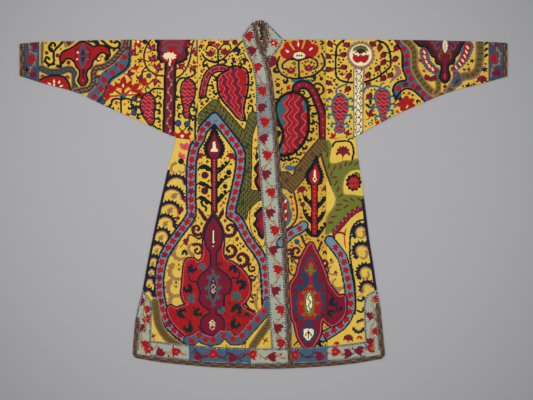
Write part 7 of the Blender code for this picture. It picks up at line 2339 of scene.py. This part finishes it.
def make_all():
    made = {}
    hem_top, trim_top = along_hem(HEM_TOP), along_hem(HEM_LINE + TRIM)
    fold_y = 553.5
    made["front_panel_left"] = panel("front_left_cloth", body_left, band_seam_left, hem_top, const(fold_y), 265, 1110, left_top, SILK, fold=True)
    made["front_panel_right"] = panel("front_right_cloth", band_seam_right, body_right, hem_top, const(fold_y), 190, 1110, front_top, SILK, fold=True)
    made["gore_front_left"] = panel(
        "gore_left_cloth", lambda y: np.maximum(side_left(y), vent_left(y)), body_left, hem_top,
        lambda x: sleeve_under["left"](x) - SEAM, 130, 750, front_top, SILK)
    made["gore_front_right"] = panel(
        "gore_right_cloth", body_right, lambda y: np.minimum(side_right(y), vent_right(y)), hem_top,
        lambda x: sleeve_under["right"](x) - SEAM, 130, 750, front_top, SILK)
    made["band_left"] = panel("band_left_border", band_seam_left, left_inner, hem_top, const(624), 58, 1180, left_top, PALE, BORDER)
    made["band_right"] = panel("band_right_border", right_inner, band_seam_right, hem_top, const(624), 46, 1180, front_top, PALE, 2.2)
    dress, over = upright_braid(left_inner, band_edge_left)
    made["trim_left"] = panel("front_braid_left", left_inner, band_edge_left, along_hem(HEM_LINE), const(624), 15, 1252, over(left_top), BRAID,
                              1.3, dress, 0.6)
    dress, over = upright_braid(band_edge_right, right_inner)
    made["trim_right"] = panel("front_braid_right", band_edge_right, right_inner, along_hem(HEM_LINE), const(624), 15, 1252, over(front_top),
                               BRAID, 1.6, dress, 0.6)
    # the neck border's colour comes from the canvas, where the neck slit is painted dark umber as shade
    made["band_neck_back"] = panel("neck_border", neck_left, neck_right, const(SHOULDER - 1.5), const(626), 100, 70,
                                   lambda x, y: WALL + 0 * x, PALE, 3.0)
    made["hem_band_left"] = panel("hem_border_left", vent_left, left_inner, trim_top, hem_top, 440, 58, left_top, PALE, BORDER)
    made["hem_band_right"] = panel("hem_border_right", right_inner, vent_right, trim_top, hem_top, 310, 58, front_top, PALE, BORDER)
    dress, over = level_braid(along_hem(HEM_LINE), trim_top)
    made["hem_trim_left"] = panel("hem_braid_left", side_left, left_inner, along_hem(HEM_LINE), trim_top, 560, 15, over(left_top), BRAID, 1.3, dress, 0.6)
    made["hem_trim_right"] = panel("hem_braid_right", right_inner, side_right, along_hem(HEM_LINE), trim_top, 400, 15, over(front_top), BRAID, 1.3, dress, 0.6)
    made["vent_band_left"] = panel(
        "slit_border_left", lambda y: side_left(y) + TRIM * smooth((SLIT_LEFT + 5 - y) / 5), vent_left, trim_top, const(-347), 50, 265,
        front_top, PALE, BORDER)
    made["vent_band_right"] = panel(
        "slit_border_right", vent_right, lambda y: side_right(y) - TRIM * smooth((SLIT_RIGHT + 5 - y) / 5), trim_top, const(-347), 50, 265,
        front_top, PALE, BORDER)
    inner_l, inner_r = (lambda y: side_left(y) + TRIM), (lambda y: side_right(y) - TRIM)
    dress, over = upright_braid(side_left, inner_l)
    made["vent_trim_left"] = panel("slit_braid_left", side_left, inner_l, trim_top, const(SLIT_LEFT), 15, 110, over(front_top), BRAID, 1.3, dress, 0.6)
    dress, over = upright_braid(inner_r, side_right)
    made["vent_trim_right"] = panel("slit_braid_right", inner_r, side_right, trim_top, const(SLIT_RIGHT), 15, 165, over(front_top), BRAID, 1.3, dress, 0.6)
    cuff_l, cuff_r = -877 + TRIM + 3 + CUFF_BAND, 878 - TRIM - CUFF_BAND
    made["sleeve_left"] = tube("sleeve_left_cloth", "left", -236.3, cuff_l + SEAM / 2, SILK)
    made["sleeve_right"] = tube("sleeve_right_cloth", "right", 225.3, cuff_r - SEAM / 2, SILK)
    made["cuff_band_left"] = tube("cuff_border_left", "left", cuff_l - SEAM / 2, -859 + SEAM / 2, BLUE, BORDER, 2.4, None, 12)
    made["cuff_band_right"] = tube("cuff_border_right", "right", cuff_r + SEAM / 2, 863 - SEAM / 2, BLUE, BORDER, 2.4, None, 12)

    def cuff_dress(x_in, x_out):
        def dress(x, y, mx, my, colours):
            return braid_colours(my, (mx - x_in) / (x_out - x_in))
        return dress
    made["cuff_trim_left"] = tube("cuff_braid_left", "left", -859 - SEAM / 2, -877, BRAID, 1.3, 1.8, cuff_dress(-859, -877), 8)
    made["cuff_trim_right"] = tube("cuff_braid_right", "right", 863 + SEAM / 2, 878, BRAID, 1.3, 1.8, cuff_dress(863, 878), 8)
    back_l, back_r = (lambda y: side_left(y) + BACK_INSET), (lambda y: side_right(y) - BACK_INSET)
    made["back_panel"] = under_panel("back_cloth", body_left, body_right, hem_top, const(550.3), 480, 1110, SILK)
    made["gore_back_left"] = under_panel("gore_back_left_cloth", back_l, body_left, hem_top, lambda x: sleeve_under["left"](x) - SEAM, 150, 750, SILK)
    made["gore_back_right"] = under_panel("gore_back_right_cloth", body_right, back_r, hem_top, lambda x: sleeve_under["right"](x) - SEAM, 150, 750, SILK)
    made["hem_band_back"] = under_panel("hem_border_back", back_l, back_r, trim_top, hem_top, 900, 58, PALE, 2.4)
    back_low = along_hem(HEM_LINE + BACK_INSET)
    dress, over = level_braid(back_low, trim_top)
    made["hem_trim_back"] = under_panel("hem_braid_back", back_l, back_r, back_low, trim_top, 900, 14, BRAID, 2.0, dress)
    return made


work_front()
canvas_back = work_back()
PIECES = make_all()

# The cut of each piece: flat size in metres (width, length), its share of that rectangle, what it lies on.
Cut = namedtuple("Cut", "node width length area slot rests_on")
CUTS = [
    Cut("front_panel_left", 0.305, 1.112, 0.276, "embroidered_cloth", ["back_panel", "band_right"]),
    Cut("front_panel_right", 0.215, 1.112, 0.198, "embroidered_cloth", ["back_panel"]),
    Cut("gore_front_left", 0.180, 0.755, 0.092, "embroidered_cloth", ["gore_back_left"]),
    Cut("gore_front_right", 0.175, 0.755, 0.095, "embroidered_cloth", ["gore_back_right"]),
    Cut("sleeve_left", 0.720, 0.571, 0.300, "embroidered_cloth", ["floor"]),
    Cut("sleeve_right", 0.720, 0.586, 0.300, "embroidered_cloth", ["floor"]),
    Cut("cuff_band_left", 0.300, 0.053, 0.0148, "border_blue", ["floor"]),
    Cut("cuff_band_right", 0.300, 0.053, 0.0148, "border_blue", ["floor"]),
    Cut("cuff_trim_left", 0.245, 0.018, 0.0043, "woven_braid", ["floor"]),
    Cut("cuff_trim_right", 0.245, 0.015, 0.0036, "woven_braid", ["floor"]),
    Cut("band_left", 0.062, 1.185, 0.0672, "border_pale", ["band_right"]),
    Cut("band_right", 0.062, 1.185, 0.0560, "border_pale", ["back_panel"]),
    Cut("band_neck_back", 0.136, 0.072, 0.0066, "border_pale", ["floor"]),
    Cut("trim_left", 0.015, 1.260, 0.0185, "woven_braid", ["front_panel_right"]),
    Cut("trim_right", 0.015, 1.260, 0.0185, "woven_braid", ["back_panel"]),
    Cut("hem_band_left", 0.500, 0.058, 0.0280, "border_pale", ["hem_band_back"]),
    Cut("hem_band_right", 0.330, 0.058, 0.0184, "border_pale", ["hem_band_back"]),
    Cut("hem_band_back", 0.912, 0.058, 0.0520, "border_pale", ["floor"]),
    Cut("hem_trim_left", 0.565, 0.015, 0.0083, "woven_braid", ["hem_trim_back"]),
    Cut("hem_trim_right", 0.395, 0.015, 0.0058, "woven_braid", ["hem_trim_back"]),
    Cut("hem_trim_back", 0.915, 0.0135, 0.0122, "woven_braid", ["floor"]),
    Cut("vent_band_left", 0.070, 0.268, 0.0125, "border_pale", ["gore_back_left"]),
    Cut("vent_band_right", 0.075, 0.268, 0.0125, "border_pale", ["gore_back_right"]),
    Cut("vent_trim_left", 0.015, 0.120, 0.0017, "woven_braid", ["gore_back_left"]),
    Cut("vent_trim_right", 0.015, 0.175, 0.0025, "woven_braid", ["gore_back_right"]),
    Cut("back_panel", 0.505, 1.110, 0.535, "embroidered_cloth", ["floor"]),
    Cut("gore_back_left", 0.210, 0.755, 0.107, "embroidered_cloth", ["floor"]),
    Cut("gore_back_right", 0.210, 0.755, 0.110, "embroidered_cloth", ["floor"]),
]

# ---------------------------------------------------------------- floor, light, camera
floor_mesh = bpy.data.meshes.new("floor")
floor_mesh.from_pydata([(-6, -6, -0.0006), (6, -6, -0.0006), (6, 6, -0.0006), (-6, 6, -0.0006)], [], [(0, 1, 2, 3)])
floor = bpy.data.objects.new("floor", floor_mesh)
bpy.context.scene.collection.objects.link(floor)
paper = bpy.data.materials.new("studio_paper")
paper.use_nodes = True
paper_shader = paper.node_tree.nodes["Principled BSDF"]
paper_shader.inputs["Base Color"].default_value = (0.385, 0.38, 0.39, 1)
paper_shader.inputs["Roughness"].default_value = 0.95
paper_shader.inputs["Specular IOR Level"].default_value = 0.1
floor_mesh.materials.append(paper)

for cut in CUTS:
    piece = PIECES[cut.node]
    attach(piece, "root")
    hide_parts(cut.node)

scene = bpy.context.scene
scene.view_settings.view_transform = "Standard"
world = bpy.data.worlds.new("studio")
world.use_nodes = True
world.node_tree.nodes["Background"].inputs["Color"].default_value = (1.0, 1.0, 1.0, 1)
world.node_tree.nodes["Background"].inputs["Strength"].default_value = 0.25
scene.world = world


def lamp_area(name, at_, size, power, colour=(1, 1, 1)):
    data = bpy.data.lights.new(name, "AREA")
    data.shape = "SQUARE"
    data.size = size
    data.energy = power
    data.color = colour
    light = bpy.data.objects.new(name, data)
    light.location = at_
    light.rotation_mode = "QUATERNION"
    light.rotation_quaternion = (-Vector(at_)).to_track_quat("-Z", "Y")
    scene.collection.objects.link(light)


lamp_area("soft_left", (-3.3, 1.8, 3.2), 1.8, 52, (0.99, 0.99, 1.0))
lamp_area("soft_right", (3.5, 1.0, 3.4), 1.8, 34, (0.985, 0.99, 1.0))
spot_data = bpy.data.lights.new("soft_middle", "SPOT")
spot_data.energy = 800
spot_data.spot_size = math.radians(35)
spot_data.spot_blend = 1.0
spot_data.shadow_soft_size = 0.45
spot = bpy.data.objects.new("soft_middle", spot_data)
spot.location = (-0.5, 0.6, 5.6)
spot.rotation_mode = "QUATERNION"
spot.rotation_quaternion = (-Vector((-0.5, 0.6, 5.6))).to_track_quat("-Z", "Y")
scene.collection.objects.link(spot)

camera_data = bpy.data.cameras.new("camera")
camera_data.sensor_width = 36.0
camera_data.lens = 93.8
camera = bpy.data.objects.new("camera", camera_data)
camera.location = (0.0112, -0.0212, 5.0)
camera.rotation_euler = (0.0, 0.0, 0.0)
scene.collection.objects.link(camera)
scene.camera = camera
